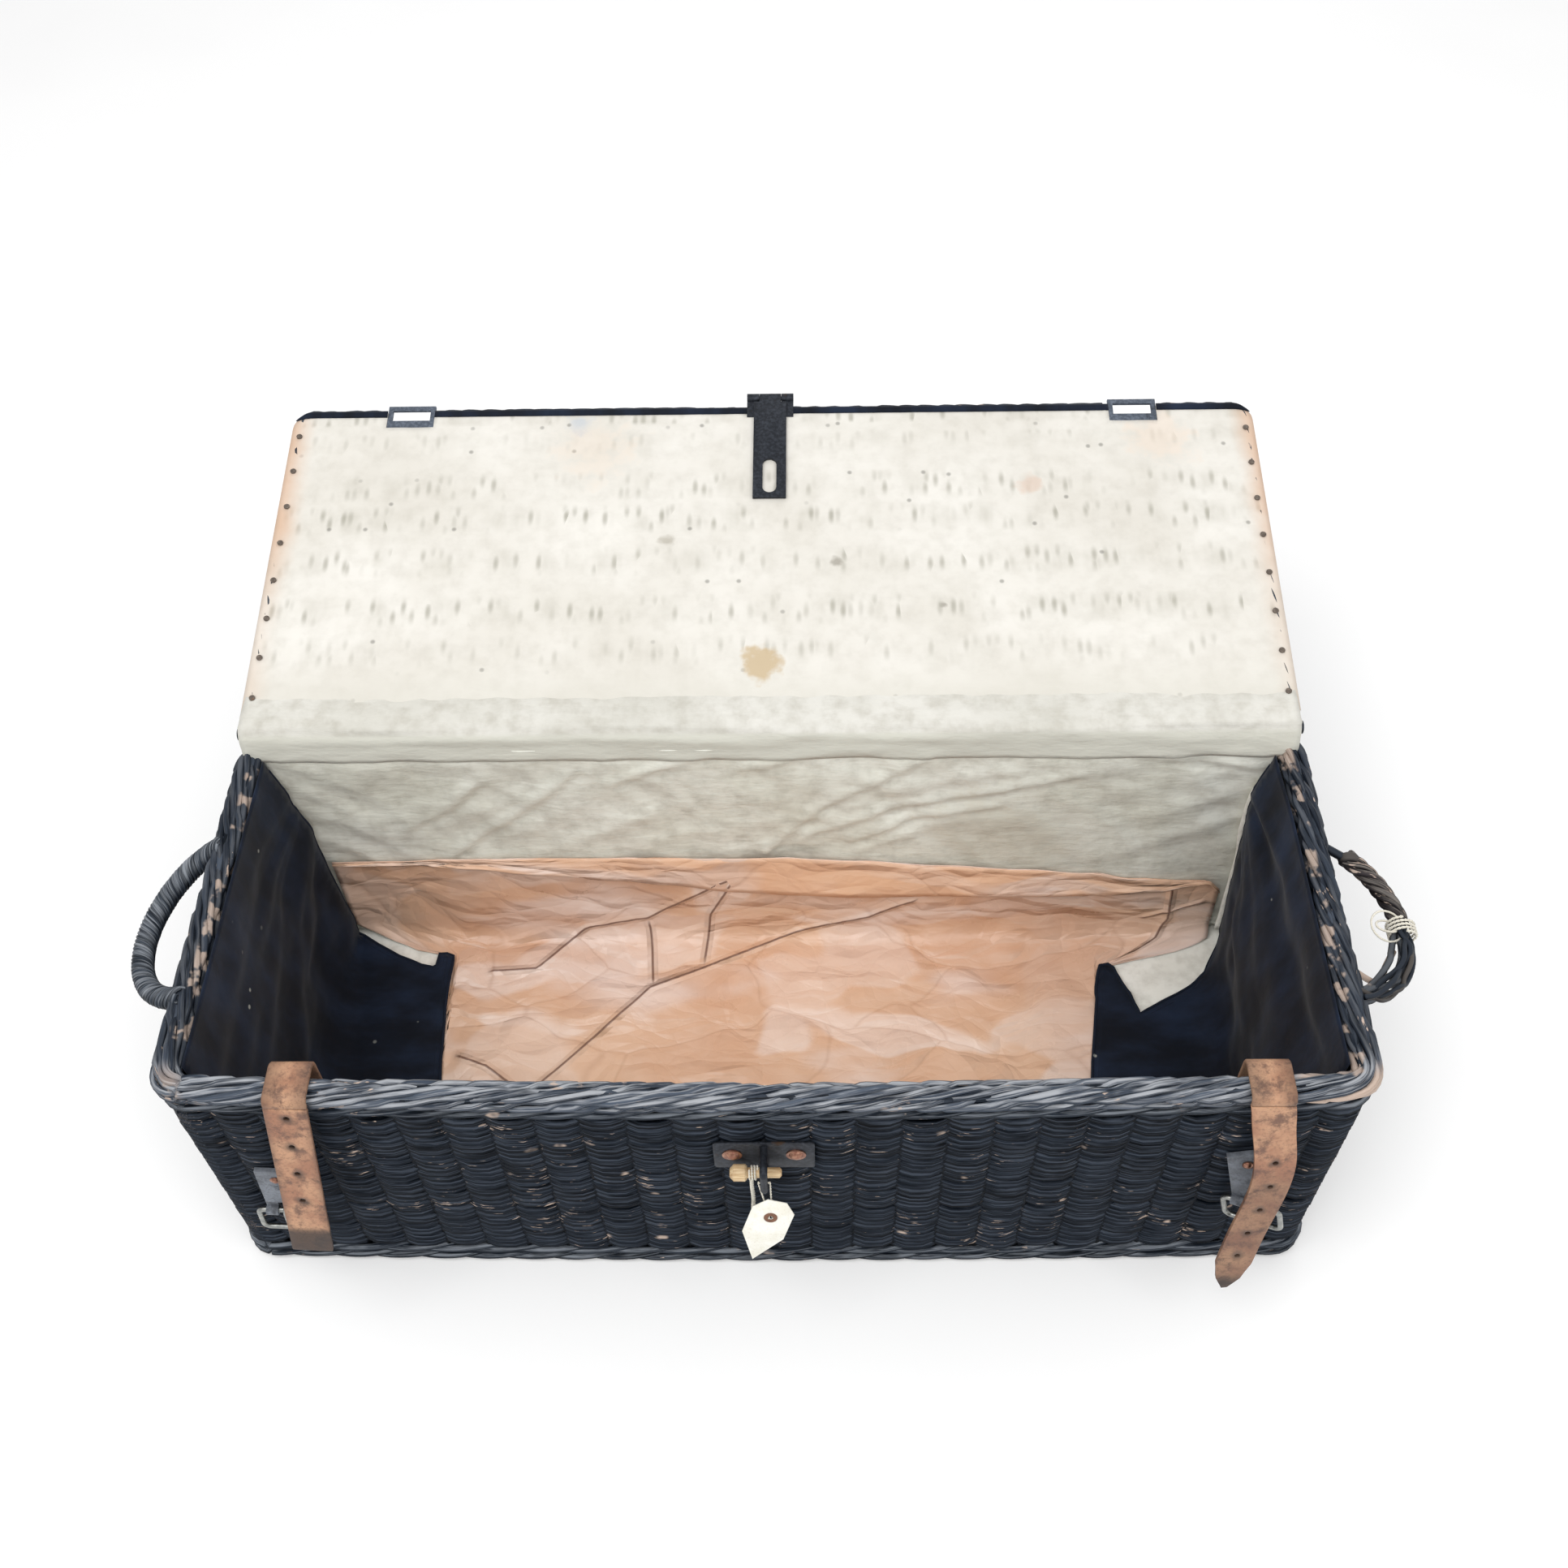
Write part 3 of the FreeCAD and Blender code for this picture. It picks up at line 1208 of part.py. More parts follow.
def buckle_frame():
    """Wire rectangle with round corners, hung from its upper bar, which runs through the origin."""
    half = size("buckle_width") / 2
    low = -size("buckle_height")
    out = -size("chape_roll_out")
    bend = size("buckle_bend")
    shoulder = bend * (1 - math.sqrt(0.5))

    def spot(across, height):
        return Vector(across, out, height)

    edges = [Part.LineSegment(spot(0, 0), spot(half - bend, 0))]
    for side, level in ((1, 1), (1, -1), (-1, -1), (-1, 1)):
        corner_x = side * half
        corner_z = 0 if level == 1 else low
        flat = spot(corner_x - side * bend, corner_z)
        upright = spot(corner_x, corner_z - level * bend)
        crown = spot(corner_x - side * shoulder, corner_z - level * shoulder)
        start, finish = (flat, upright) if side == level else (upright, flat)
        if len(edges) > 1:
            edges.append(Part.LineSegment(edges[-1].EndPoint, start))
        edges.append(Part.Arc(start, crown, finish))
    edges.append(Part.LineSegment(edges[-1].EndPoint, spot(0, 0)))
    return [edge.toShape() for edge in edges]


def prong_path():
    """Straight pin that curls round the upper bar of the frame, and stops short of itself."""
    eye = size("prong_eye")
    out = -size("chape_roll_out")
    quarter = math.pi / 2

    def ring(angle):
        return Vector(0, out + eye * math.cos(angle), eye * math.sin(angle))

    start = Vector(0, out - eye, -size("buckle_height") - size("prong_over"))
    curl = quarter / 6
    return [Part.LineSegment(start, ring(quarter * 2)).toShape(),
            Part.Arc(ring(quarter * 2), ring(quarter + curl), ring(curl * 2)).toShape(),
            Part.Arc(ring(curl * 2), ring(-curl * 3), ring(-quarter - curl * 2)).toShape()]


# Cloth linings, hanging flaps and the paper liner

def make_floor_lining():
    sheet_floor = block("lining_floor", ("-wall_in_x", "wall_in_x"), ("-wall_in_y", "wall_in_y"),
                        ("base_thickness", "cloth_floor"))
    keep(sheet_floor, "lining_floor")


def wavy_sheet(half_width, levels, thickness, count):
    """Hanging cloth through level sections, each a row of shallow arcs.

    levels holds height, distance out from the middle, and depth of the wrinkles.
    """
    wires = []
    for height, out, depth in levels:
        face = []
        rear = []
        for index in range(count):
            ends = [half_width * (2 * (index + step) / count - 1) for step in (0, 0.5, 1)]
            bulge = depth if index % 2 == 0 else -depth
            arc = [Vector(ends[0], out, height), Vector(ends[1], out - bulge, height),
                   Vector(ends[2], out, height)]
            face.append(Part.Arc(*arc).toShape())
            rear.append(Part.Arc(*[spot + Vector(0, thickness, 0) for spot in reversed(arc)]).toShape())
        rear.reverse()
        right = Part.LineSegment(Vector(half_width, out, height),
                                 Vector(half_width, out + thickness, height))
        left = Part.LineSegment(Vector(-half_width, out + thickness, height),
                                Vector(-half_width, out, height))
        wires.append(Part.Wire(face + [right.toShape()] + rear + [left.toShape()]))
    return Part.makeLoft(wires, True, False)


def make_wall_linings():
    """Back lining hangs in soft folds from the border; the front lining lies flatter."""
    thickness = size("lining_thickness")
    top = size("trunk_height") - size("hem_drop")
    low = size("cloth_floor") + size("seat_gap")
    middle = (top + low) / 2
    half_width = size("border_in_x") - size("seat_gap")
    edge = size("border_in_y") - size("seat_gap") - thickness
    depth = size("wrinkle_depth")
    lean = size("back_lean")
    shallow_share = 0.12
    count = int(size("wrinkle_count"))
    hang = [(low, edge + lean - depth, depth), (middle, edge + lean / 2 - depth, depth),
            (top, edge - depth * shallow_share, depth * shallow_share)]
    keep(solid_from("lining_back", wavy_sheet(half_width, hang, thickness, count)), "lining_back")
    flat = depth * shallow_share
    front_face = -(size("wall_in_y") - thickness - flat - size("seat_gap"))
    front = [(low, front_face - thickness, flat), (middle, front_face - thickness, flat),
             (size("border_low") - size("seat_gap"), front_face - thickness, flat)]
    keep(solid_from("lining_front", wavy_sheet(half_width, front, thickness, count)), "lining_front")


# Shares of the half depth, of the flap's reach and of the fold depth, from back to front
left_depth_shares = [0.955, 0.86, 0.74, 0.62, 0.34, 0.02, -0.36, -0.7, -0.955]
left_hem_shares = [0.27, 0.40, 0.70, 1.0, 0.985, 1.01, 1.03, 1.04, 1.04]
left_fold_shares = [0.2, 0.75, 0.1, 0.95, 0.2, 0.8, 0.25, 0.7, 0.3]
right_depth_shares = [0.955, 0.84, 0.6, 0.42, 0.24, 0.0, -0.34, -0.68, -0.955]
right_hem_shares = [0.27, 0.30, 0.42, 0.74, 1.0, 1.03, 1.05, 1.06, 1.06]
right_fold_shares = [0.3, 0.8, 0.15, 0.9, 0.1, 0.75, 0.3, 0.85, 0.2]


def flap_section(depth, reach, fold, mark):
    """Section of a flap: down the end wall, round to the floor and out to the hem."""
    thickness = size("cloth_thickness")
    hang = size("wall_in_x")
    low = size("flap_low") + thickness
    top = size("trunk_height") - size("hem_drop")
    start = size("wall_in_x") - size("border_in_x") + size("seat_gap") + thickness
    belly = size("flap_belly")
    knee = min(start + belly, reach * 0.55) + fold * 0.35
    cove = knee + (reach - knee) * 0.4
    cove_height = low + size("flap_cove")
    bump = size("flap_bump") * (0.3 + 0.7 * fold / size("fold_depth"))
    profile = [
        (start, top), (start + belly * 0.3 + fold, (top + cove_height) / 2), (knee, cove_height),
        (knee + (cove - knee) * 0.25, low + (cove_height - low) * 0.3), (cove, low),
        ((cove + reach) / 2, low + bump), (reach, low),
    ]
    upper = [Vector(mark * (hang - across), depth, height) for across, height in profile]
    shift = Vector(mark * thickness, 0, -thickness)
    lower = [spot + shift for spot in upper]
    edges = [Part.Arc(*upper[index:index + 3]).toShape() for index in (0, 2, 4)]
    edges.append(Part.LineSegment(upper[6], lower[6]).toShape())
    edges += [Part.Arc(*reversed(lower[index:index + 3])).toShape() for index in (4, 2, 0)]
    edges.append(Part.LineSegment(lower[0], upper[0]).toShape())
    return Part.Wire(edges)


def make_flaps():
    """Black cloth flaps: fixed along the end and front borders, spread on the floor."""
    thickness = size("cloth_thickness")
    half = size("border_in_y")
    for side, mark, depths, hems, folds in (
            ("left", -1, left_depth_shares, left_hem_shares, left_fold_shares),
            ("right", 1, right_depth_shares, right_hem_shares, right_fold_shares)):
        wires = [flap_section(half * depth, size("flap_reach") * hem, size("fold_depth") * fold, mark)
                 for depth, hem, fold in zip(depths, hems, folds)]
        spread = Part.makeLoft(wires, True, False)
        back = half * depths[-1]
        front = -(half - size("seat_gap"))
        near = mark * (size("border_in_x") - size("seat_gap") - thickness)
        far = mark * (size("wall_in_x") - size("flap_reach") * hems[-1])
        low = size("flap_low")
        top = size("trunk_height") - size("hem_drop")
        sheet_front = Part.makeBox(abs(near - far), back - front, top - low,
                                   Vector(min(near, far), front, low))
        inside = Part.makeBox(abs(near - far), back - front, top - low,
                              Vector(min(near, far), front + thickness, low + thickness))
        turn_in = sheet_front.cut(inside)
        flap = spread.fuse(turn_in)
        keep(solid_from("flap_" + side, flap), "flap_" + side)


def make_paper():
    """Paper over the floor, up the back in a cove, with its top edge turned down."""
    low = size("paper_low")
    thickness = size("paper_thickness")
    stack = size("seat_gap") * 2 + size("cloth_thickness") * 2 + size("strap_thickness")
    front = stack - size("border_in_y")
    back = size("border_in_y") - size("seat_gap") * 3 - size("lining_thickness") - size("wrinkle_depth")
    cove = size("paper_cove")
    rise = low + size("paper_rise")
    shoulder = cove * (1 - math.sqrt(0.5))
    inner = cove - thickness
    inner_shoulder = inner * (1 - math.sqrt(0.5)) + thickness
    rim = [
        Part.LineSegment(Vector(0, front, low), Vector(0, back - cove, low)),
        Part.Arc(Vector(0, back - cove, low), Vector(0, back - shoulder, low + shoulder),
                 Vector(0, back, low + cove)),
        Part.LineSegment(Vector(0, back, low + cove), Vector(0, back, rise)),
        Part.LineSegment(Vector(0, back, rise), Vector(0, back - thickness, rise)),
        Part.LineSegment(Vector(0, back - thickness, rise), Vector(0, back - thickness, low + cove)),
        Part.Arc(Vector(0, back - thickness, low + cove), Vector(0, back - inner_shoulder,
                                                                 low + inner_shoulder),
                 Vector(0, back - cove, low + thickness)),
        Part.LineSegment(Vector(0, back - cove, low + thickness), Vector(0, front, low + thickness)),
        Part.LineSegment(Vector(0, front, low + thickness), Vector(0, front, low)),
    ]
    section = Part.Face(Part.Wire([piece.toShape() for piece in rim]))
    reach = size("paper_back_reach")
    sheet_paper = section.extrude(Vector(reach * 2, 0, 0))
    sheet_paper.translate(Vector(-reach, 0, 0))
    out = size("paper_turn_out")
    fall = size("paper_turnover")
    fold = Part.makePolygon([Vector(0, back, rise), Vector(0, back, rise + thickness),
                             Vector(0, back - thickness * 2, rise + thickness),
                             Vector(0, back - out - thickness, rise - fall), Vector(0, back - out,
                                                                                    rise - fall),
                             Vector(0, back - thickness, rise), Vector(0, back, rise)])
    turned = Part.Face(fold).extrude(Vector(reach * 2, 0, 0))
    turned.translate(Vector(-reach, 0, 0))
    paper = sheet_paper.fuse(turned)
    # The two back corners are folded under, so the floor lining shows there
    start = size("paper_reach")
    corner = back - cove - size("paper_corner")
    spare = size("overrun")
    for mark in (-1, 1):
        plan = Part.makePolygon([Vector(mark * start, front - spare, 0), Vector(mark * start, corner, 0),
                                 Vector(mark * (reach + spare), back - cove, 0),
                                 Vector(mark * (reach + spare), front - spare, 0),
                                 Vector(mark * start, front - spare, 0)])
        paper = paper.cut(Part.Face(plan).extrude(Vector(0, 0, low + cove * 2)))
    keep(solid_from("paper_liner", paper.removeSplitter()), "paper_liner")


make_basket()
make_borders()
make_hinge_loops()
make_handles()
make_handle_tie()
make_lid()
make_tacks()
make_strap_loops()
make_hasp()
make_staple()
make_peg()
make_tag()
make_straps()
make_buckles()
make_floor_lining()
make_wall_linings()
make_flaps()
make_paper()
doc.recompute()

for thing in doc.Objects:
    if "Invalid" in thing.State or "Error" in thing.State:
        raise RuntimeError(f"{thing.Name} failed: {thing.State}")
for name, thing in nodes.items():
    if thing.Shape.isNull() or not thing.Shape.isValid() or not thing.Shape.Solids:
        raise RuntimeError(f"{name} has no valid solid")

os.makedirs("parts", exist_ok=True)
for name, thing in nodes.items():
    thing.Shape.exportStep(f"parts/{name}.step")
print(f"{len(nodes)} sub-parts written")
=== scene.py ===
import math
from functools import partial

import bmesh
import bpy
from mathutils import Matrix, Vector, geometry, noise


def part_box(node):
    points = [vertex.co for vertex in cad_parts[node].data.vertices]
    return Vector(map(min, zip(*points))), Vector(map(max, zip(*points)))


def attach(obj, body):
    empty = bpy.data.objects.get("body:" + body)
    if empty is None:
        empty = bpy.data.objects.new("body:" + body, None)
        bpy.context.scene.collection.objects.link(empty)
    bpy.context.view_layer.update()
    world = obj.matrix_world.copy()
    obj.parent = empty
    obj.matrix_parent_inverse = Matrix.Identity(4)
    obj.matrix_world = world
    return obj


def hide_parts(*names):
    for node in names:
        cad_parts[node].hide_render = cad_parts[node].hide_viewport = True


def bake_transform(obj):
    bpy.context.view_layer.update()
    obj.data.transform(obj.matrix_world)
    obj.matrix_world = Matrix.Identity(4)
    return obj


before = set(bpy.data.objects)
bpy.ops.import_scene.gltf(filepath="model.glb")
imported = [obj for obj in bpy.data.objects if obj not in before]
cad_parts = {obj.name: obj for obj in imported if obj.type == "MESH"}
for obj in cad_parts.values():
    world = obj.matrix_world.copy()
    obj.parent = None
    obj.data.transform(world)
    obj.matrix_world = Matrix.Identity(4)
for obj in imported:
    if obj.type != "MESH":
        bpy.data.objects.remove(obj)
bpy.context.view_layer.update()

mm = 0.001  # sizes below are in millimetres
scene = bpy.context.scene
upward = Vector((0, 0, 1))


# Camera first: the photograph looks down from in front at about 51 degrees

view = {"place": (40.8, -737.7, 1352.0), "pitch": 0.8961, "yaw": -0.0313, "roll": -0.0303, "lens": 38.06}
forward = Vector((math.sin(view["yaw"]) * math.cos(view["pitch"]),
                  math.cos(view["yaw"]) * math.cos(view["pitch"]), -math.sin(view["pitch"])))
level = forward.cross(upward).normalized()
above = level.cross(forward)
right = level * math.cos(view["roll"]) + above * math.sin(view["roll"])
top = above * math.cos(view["roll"]) - level * math.sin(view["roll"])
camera = bpy.data.objects.new("photoCamera", bpy.data.cameras.new("photoCamera"))
camera.data.lens = view["lens"]
camera.data.sensor_width = 36
camera.data.clip_start = 0.05
turned = Matrix((right, top, -forward)).transposed().to_4x4()
camera.matrix_world = Matrix.Translation(Vector(view["place"]) * mm) @ turned
scene.collection.objects.link(camera)
scene.camera = camera
scene.view_settings.view_transform = "Standard"  # whites stay white, as in the photograph


# Small helpers

# Every node comes from this table: its type, settings, the inputs that take its values, the output in use
nodeKinds = {"principled": ("ShaderNodeBsdfPrincipled", {}, (), None),
             "materialOutput": ("ShaderNodeOutputMaterial", {}, ("Surface",), None),
             "objectPlace": ("ShaderNodeTexCoord", {}, (), "Object"),
             "facing": ("ShaderNodeTexCoord", {}, (), "Normal"),
             "clothPlace": ("ShaderNodeUVMap", {"uv_map": "flatCloth"}, (), "UV"),
             "attribute": ("ShaderNodeAttribute", {}, (), "Fac"),
             "attributeVector": ("ShaderNodeAttribute", {}, (), "Vector"),
             "mapping": ("ShaderNodeMapping", {}, ("Vector", "Scale", "Rotation"), 0),
             "axes": ("ShaderNodeSeparateXYZ", {}, (0,), None),
             "channels": ("ShaderNodeSeparateColor", {}, (0,), None),
             "vector": ("ShaderNodeCombineXYZ", {}, (0, 1, 2), 0),
             "mix": ("ShaderNodeMix", {"data_type": "RGBA"}, (0, 6, 7), 2),
             "ramp": ("ShaderNodeValToRGB", {}, (0,), None),
             "range": ("ShaderNodeMapRange", {"interpolation_type": "SMOOTHSTEP"}, (0, 1, 2, 3, 4), 0),
             "evenRange": ("ShaderNodeMapRange", {"interpolation_type": "LINEAR"}, (0, 1, 2, 3, 4), 0),
             "noise": ("ShaderNodeTexNoise", {}, ("Vector", "Scale", "Detail", "Roughness"), "Fac"),
             "noiseNode": ("ShaderNodeTexNoise", {}, ("Vector", "Scale", "Detail"), None),
             "cells": ("ShaderNodeTexVoronoi", {}, ("Vector", "Scale", "Smoothness"), None),
             "bump": ("ShaderNodeBump", {}, ("Height", "Strength", "Distance", "Normal"), 0),
             "normalize": ("ShaderNodeVectorMath", {"operation": "NORMALIZE"}, (0,), 0),
             "cross": ("ShaderNodeVectorMath", {"operation": "CROSS_PRODUCT"}, (0, 1), 0),
             "vectorSum": ("ShaderNodeVectorMath", {"operation": "ADD"}, (0, 1), 0),
             "scaled": ("ShaderNodeVectorMath", {"operation": "SCALE"}, (0, "Scale"), 0),
             "distance": ("ShaderNodeVectorMath", {"operation": "DISTANCE"}, (0, 1), "Value"),
             "groupInput": ("NodeGroupInput", {}, (), None),
             "groupOutput": ("NodeGroupOutput", {}, (0,), None),
             "resample": ("GeometryNodeResampleCurve", {}, ("Curve", "Count"), 0),
             "copies": ("GeometryNodeDuplicateElements", {"domain": "SPLINE"}, ("Geometry", "Amount"), None),
             "alongSpline": ("GeometryNodeSplineParameter", {}, (), None),
             "tangent": ("GeometryNodeInputTangent", {}, (), 0),
             "setPosition": ("GeometryNodeSetPosition", {}, ("Geometry", "Offset"), 0),
             "random": ("FunctionNodeRandomValue", {"data_type": "FLOAT"}, ("ID", "Seed"), 1),
             "keep": ("GeometryNodeStoreNamedAttribute", {"data_type": "FLOAT", "domain": "POINT"},
                      ("Geometry", "Name", "Value"), 0),
             "curveRadius": ("GeometryNodeSetCurveRadius", {}, ("Curve", "Radius"), 0),
             "circle": ("GeometryNodeCurvePrimitiveCircle", {}, ("Resolution", "Radius"), 0),
             "tube": ("GeometryNodeCurveToMesh", {}, ("Curve", "Profile Curve", "Fill Caps"), 0),
             "shadeSmooth": ("GeometryNodeSetShadeSmooth", {}, ("Geometry",), 0),
             "realize": ("GeometryNodeRealizeInstances", {}, ("Geometry",), 0),
             "setMaterial": ("GeometryNodeSetMaterial", {}, ("Geometry", "Material"), 0)}
for operation in ("ADD", "SUBTRACT", "MULTIPLY", "DIVIDE", "MAXIMUM", "ABSOLUTE", "FLOOR", "SINE", "COSINE"):
    nodeKinds[operation.lower()] = ("ShaderNodeMath", {"operation": operation}, (0, 1), 0)


def addNode(tree, kind, *values, **settings):
    label, preset, sockets, output = nodeKinds[kind]
    node = tree.nodes.new(label)
    for name, value in {**preset, **settings}.items():
        setattr(node, name, value)
    for socket, value in zip(sockets, values):
        if isinstance(value, bpy.types.NodeSocket):
            tree.links.new(value, node.inputs[socket])
        else:
            node.inputs[socket].default_value = value
    return node if output is None else node.outputs[output]


def colour(hexText):  # sRGB hex to linear light
    parts = [int(hexText[i:i + 2], 16) / 255 for i in (1, 3, 5)]
    return tuple(p / 12.92 if p <= 0.04045 else ((p + 0.055) / 1.055) ** 2.4 for p in parts) + (1.0,)


def meshPiece(name, points, faces, material=None, uv=None, smooth=True):
    mesh = bpy.data.meshes.new(name)
    mesh.from_pydata([tuple(p) for p in points], [], faces)
    if uv:
        layer = mesh.uv_layers.new(name="flatCloth")  # flat size of the cloth in metres
        for loop in mesh.loops:
            layer.data[loop.index].uv = uv[loop.vertex_index]
    mesh.polygons.foreach_set("use_smooth", [smooth] * len(mesh.polygons))
    mesh.update()
    piece = bpy.data.objects.new(name, mesh)
    scene.collection.objects.link(piece)
    if material:
        mesh.materials.append(material)
    return piece


def bake(piece, name=None):  # modifiers into a plain mesh
    depsgraph = bpy.context.evaluated_depsgraph_get()
    mesh = bpy.data.meshes.new_from_object(piece.evaluated_get(depsgraph))
    if name:
        result = bpy.data.objects.new(name, mesh)
        scene.collection.objects.link(result)
        bpy.data.objects.remove(piece)
        return result
    piece.modifiers.clear()
    piece.data = mesh
    return piece


def join(name, items):
    mesh = bmesh.new()
    materials = []
    for item in items:
        start = len(mesh.faces)
        mesh.from_mesh(item.data)
        mesh.faces.ensure_lookup_table()
        shift = {}
        for index, material in enumerate(item.data.materials):
            if material not in materials:
                materials.append(material)
            shift[index] = materials.index(material)
        for face in mesh.faces[start:]:
            face.material_index = shift.get(face.material_index, 0)
        bpy.data.objects.remove(item)
    data = bpy.data.meshes.new(name)
    mesh.to_mesh(data)
    mesh.free()
    for material in materials:
        data.materials.append(material)
    piece = bpy.data.objects.new(name, data)
    scene.collection.objects.link(piece)
    return piece


def smoothStep(low, high, value):
    t = min(1.0, max(0.0, (value - low) / (high - low)))
    return t * t * (3 - 2 * t)


def between(table, x):  # smooth value from a list of (place, value)
    if x <= table[0][0]:
        return table[0][1]
    for (a, va), (b, vb) in zip(table, table[1:]):
        if x <= b:
            return va + (vb - va) * smoothStep(a, b, x)
    return table[-1][1]


lidShape = {"axisY": 161.0, "axisZ": 299.5, "tilt": 10.5, "half": 444.0, "depth": 348.0, "low": -13.5,
            "face": 8.0}
tiltSin = math.sin(math.radians(lidShape["tilt"]))
tiltCos = math.cos(math.radians(lidShape["tilt"]))


def onLid(x, away, up):  # lid's own millimetres, from the hinge line, to metres in the scene
    return Vector((x, lidShape["axisY"] + away * tiltCos - up * tiltSin,
                   lidShape["axisZ"] + away * tiltSin + up * tiltCos)) * mm


# Materials

def newMaterial(name):
    material = bpy.data.materials.new(name)
    material.use_nodes = True
    tree = material.node_tree
    tree.nodes.clear()
    shader = addNode(tree, "principled")
    addNode(tree, "materialOutput", shader.outputs["BSDF"])
    return material, tree, shader, partial(addNode, tree)


# Willow rods, painted blue-black: satin paint, rubbed to the tan wood on high spots, with dust and a painted
# highlight on the upward faces and painted shade on the undersides
def paintedWillow(name, wear, sheenShade, dark, light, dust, dustAndHighlightTone, wearAndPaintedLight=0.0):
    material, tree, shader, node = newMaterial(name)
    place = node("objectPlace")
    shade = node("attribute", attribute_name="rodShade")
    along = node("attribute", attribute_name="rodRun")
    around = node("attribute", attribute_name="rodRound")

    def rodPlace(*scales):  # pattern place on the rod: along it, round it, and another for each rod
        parts = [node("multiply", run, scale) for run, scale in zip((along, around, shade), scales)]
        return node("vector", *parts)

    grain = rodPlace(18.0, 9.0, 37.0)  # streaks of about 50 mm along the rod
    streak = node("noise", grain, 2.0, 4.0, 0.55)
    patch = node("noise", place, 26.0, 3.0, 0.55)
    paint = node("mix", node("range", streak, 0.35, 0.7), colour(dark), colour(light))
    paint = node("mix", node("multiply", shade, 0.45), paint, colour(sheenShade))
    facing = node("axes", node("facing")).outputs[2]
    dustAndHighlightPlace = rodPlace(24.0, 5.0, 53.0)
    # dust and painted highlight: the upward faces of the rods are lighter in patches, by the share given as
    # dust
    dustAndHighlight = node("multiply", node("range", facing, 0.05, 0.85),
                 node("range", node("noise", dustAndHighlightPlace, 1.0, 3.0, 0.6), 0.4, 0.64))
    dustAndHighlightShare = dust
    if wearAndPaintedLight:  # painted light: the front border, facing the light, gets the full dust and highlight, the end borders about a third
        front = node("axes", place).outputs[1]
        dustAndHighlightShare = node("range", front, -0.13, -0.155, dust * 0.35, dust)
    paint = node("mix", node("multiply", dustAndHighlight, dustAndHighlightShare), paint, colour(dustAndHighlightTone))
    # painted shade: the downward faces of the rods are darkened to near black
    paint = node("mix", node("range", facing, -0.1, -0.7, 0.0, 0.85), paint, colour("#05070a"))
    # painted shade: the end borders are darkened away from the front
    if wearAndPaintedLight:
        paint = node("mix", node("range", front, -0.155, -0.13, 0.0, 0.5), paint, colour("#0c1119"))
    wood = node("mix", streak, colour("#8d7566"), colour("#dccabc"))
    scrapePlace = rodPlace(75.0, 4.0, 91.0)  # scrapes of about 13 mm
    chip = node("add", node("multiply", node("noise", scrapePlace, 1.0, 3.0, 0.55), 0.6),
                node("multiply", patch, 0.4))
    rubbed = node("range", chip, wear, wear + 0.035)
    speckPlace = node("mapping", place, (46.0, 46.0, 105.0))  # flakes of 4 to 10 mm, wider than high
    specks = node("cells", speckPlace, 1.0)
    pick = node("channels", specks.outputs["Color"]).outputs[0]
    speck = node("multiply", node("range", specks.outputs["Distance"], 0.16, 0.3, 1.0, 0.0),
                 node("range", pick, 0.9, 0.92))
    rubbed = node("maximum", rubbed, node("multiply", speck, node("range", patch, 0.5, 0.6)))
    if wearAndPaintedLight:  # whole rods rubbed bare beside the right strap, at the left corner and inside both end rims
        split = node("axes", place)
        strandPick = node("range", shade, 0.4, 0.5)
        patchPick = node("range", node("noise", place, 46.0, 3.0, 0.55), 0.53, 0.6)
        front = node("range", split.outputs[1], -0.14, -0.16)
        for low, high, share in ((0.378, 0.392, 1.0), (-0.415, -0.43, 0.5)):
            spot = node("multiply", node("range", split.outputs[0], low, high, 0.0, share), front)
            spot = node("multiply", spot, strandPick)
            rubbed = node("maximum", rubbed, spot)
        inner = node("range", node("absolute", split.outputs[0]), 0.4365, 0.4335)
        ends = node("range", node("absolute", split.outputs[0]), 0.422, 0.426)
        spot = node("multiply", node("multiply", inner, ends), node("multiply", patchPick, 0.75))
        rubbed = node("maximum", rubbed, spot)
    tree.links.new(node("mix", rubbed, paint, wood), shader.inputs["Base Color"])
    tree.links.new(node("range", streak, 0.3, 0.8, 0.38, 0.58), shader.inputs["Roughness"])
    shader.inputs["Specular IOR Level"].default_value = 0.1
    fine = node("bump", streak, 0.5, 0.0006)
    tree.links.new(node("bump", rubbed, 0.35, -0.0004, fine), shader.inputs["Normal"])
    return material


wallWillow = paintedWillow("paintedWillowWall", 0.625, "#1a2431", "#010205", "#0b121b", 0.55, "#5d6674")
borderWillow = paintedWillow("paintedWillowBorder", 0.62, "#66707f", "#11151c", "#3c4553", 0.88, "#a8abb0",
                             1.0)
handleWillow = paintedWillow("paintedWillowHandle", 0.66, "#434c58", "#090c10", "#262c35", 0.7, "#979ca3")
footWillow = paintedWillow("paintedWillowFoot", 0.63, "#333c49", "#080b10", "#18202a", 0.85, "#858b93")
bareWillow = paintedWillow("bareWillowRod", 0.35, "#8a6b4a", "#5b452f", "#8f7450", 0.2, "#b79e7c")
looseWillow = paintedWillow("paintedWillowLoose", 0.57, "#4a4346", "#151316", "#2e2a2c", 0.5, "#a19a92")


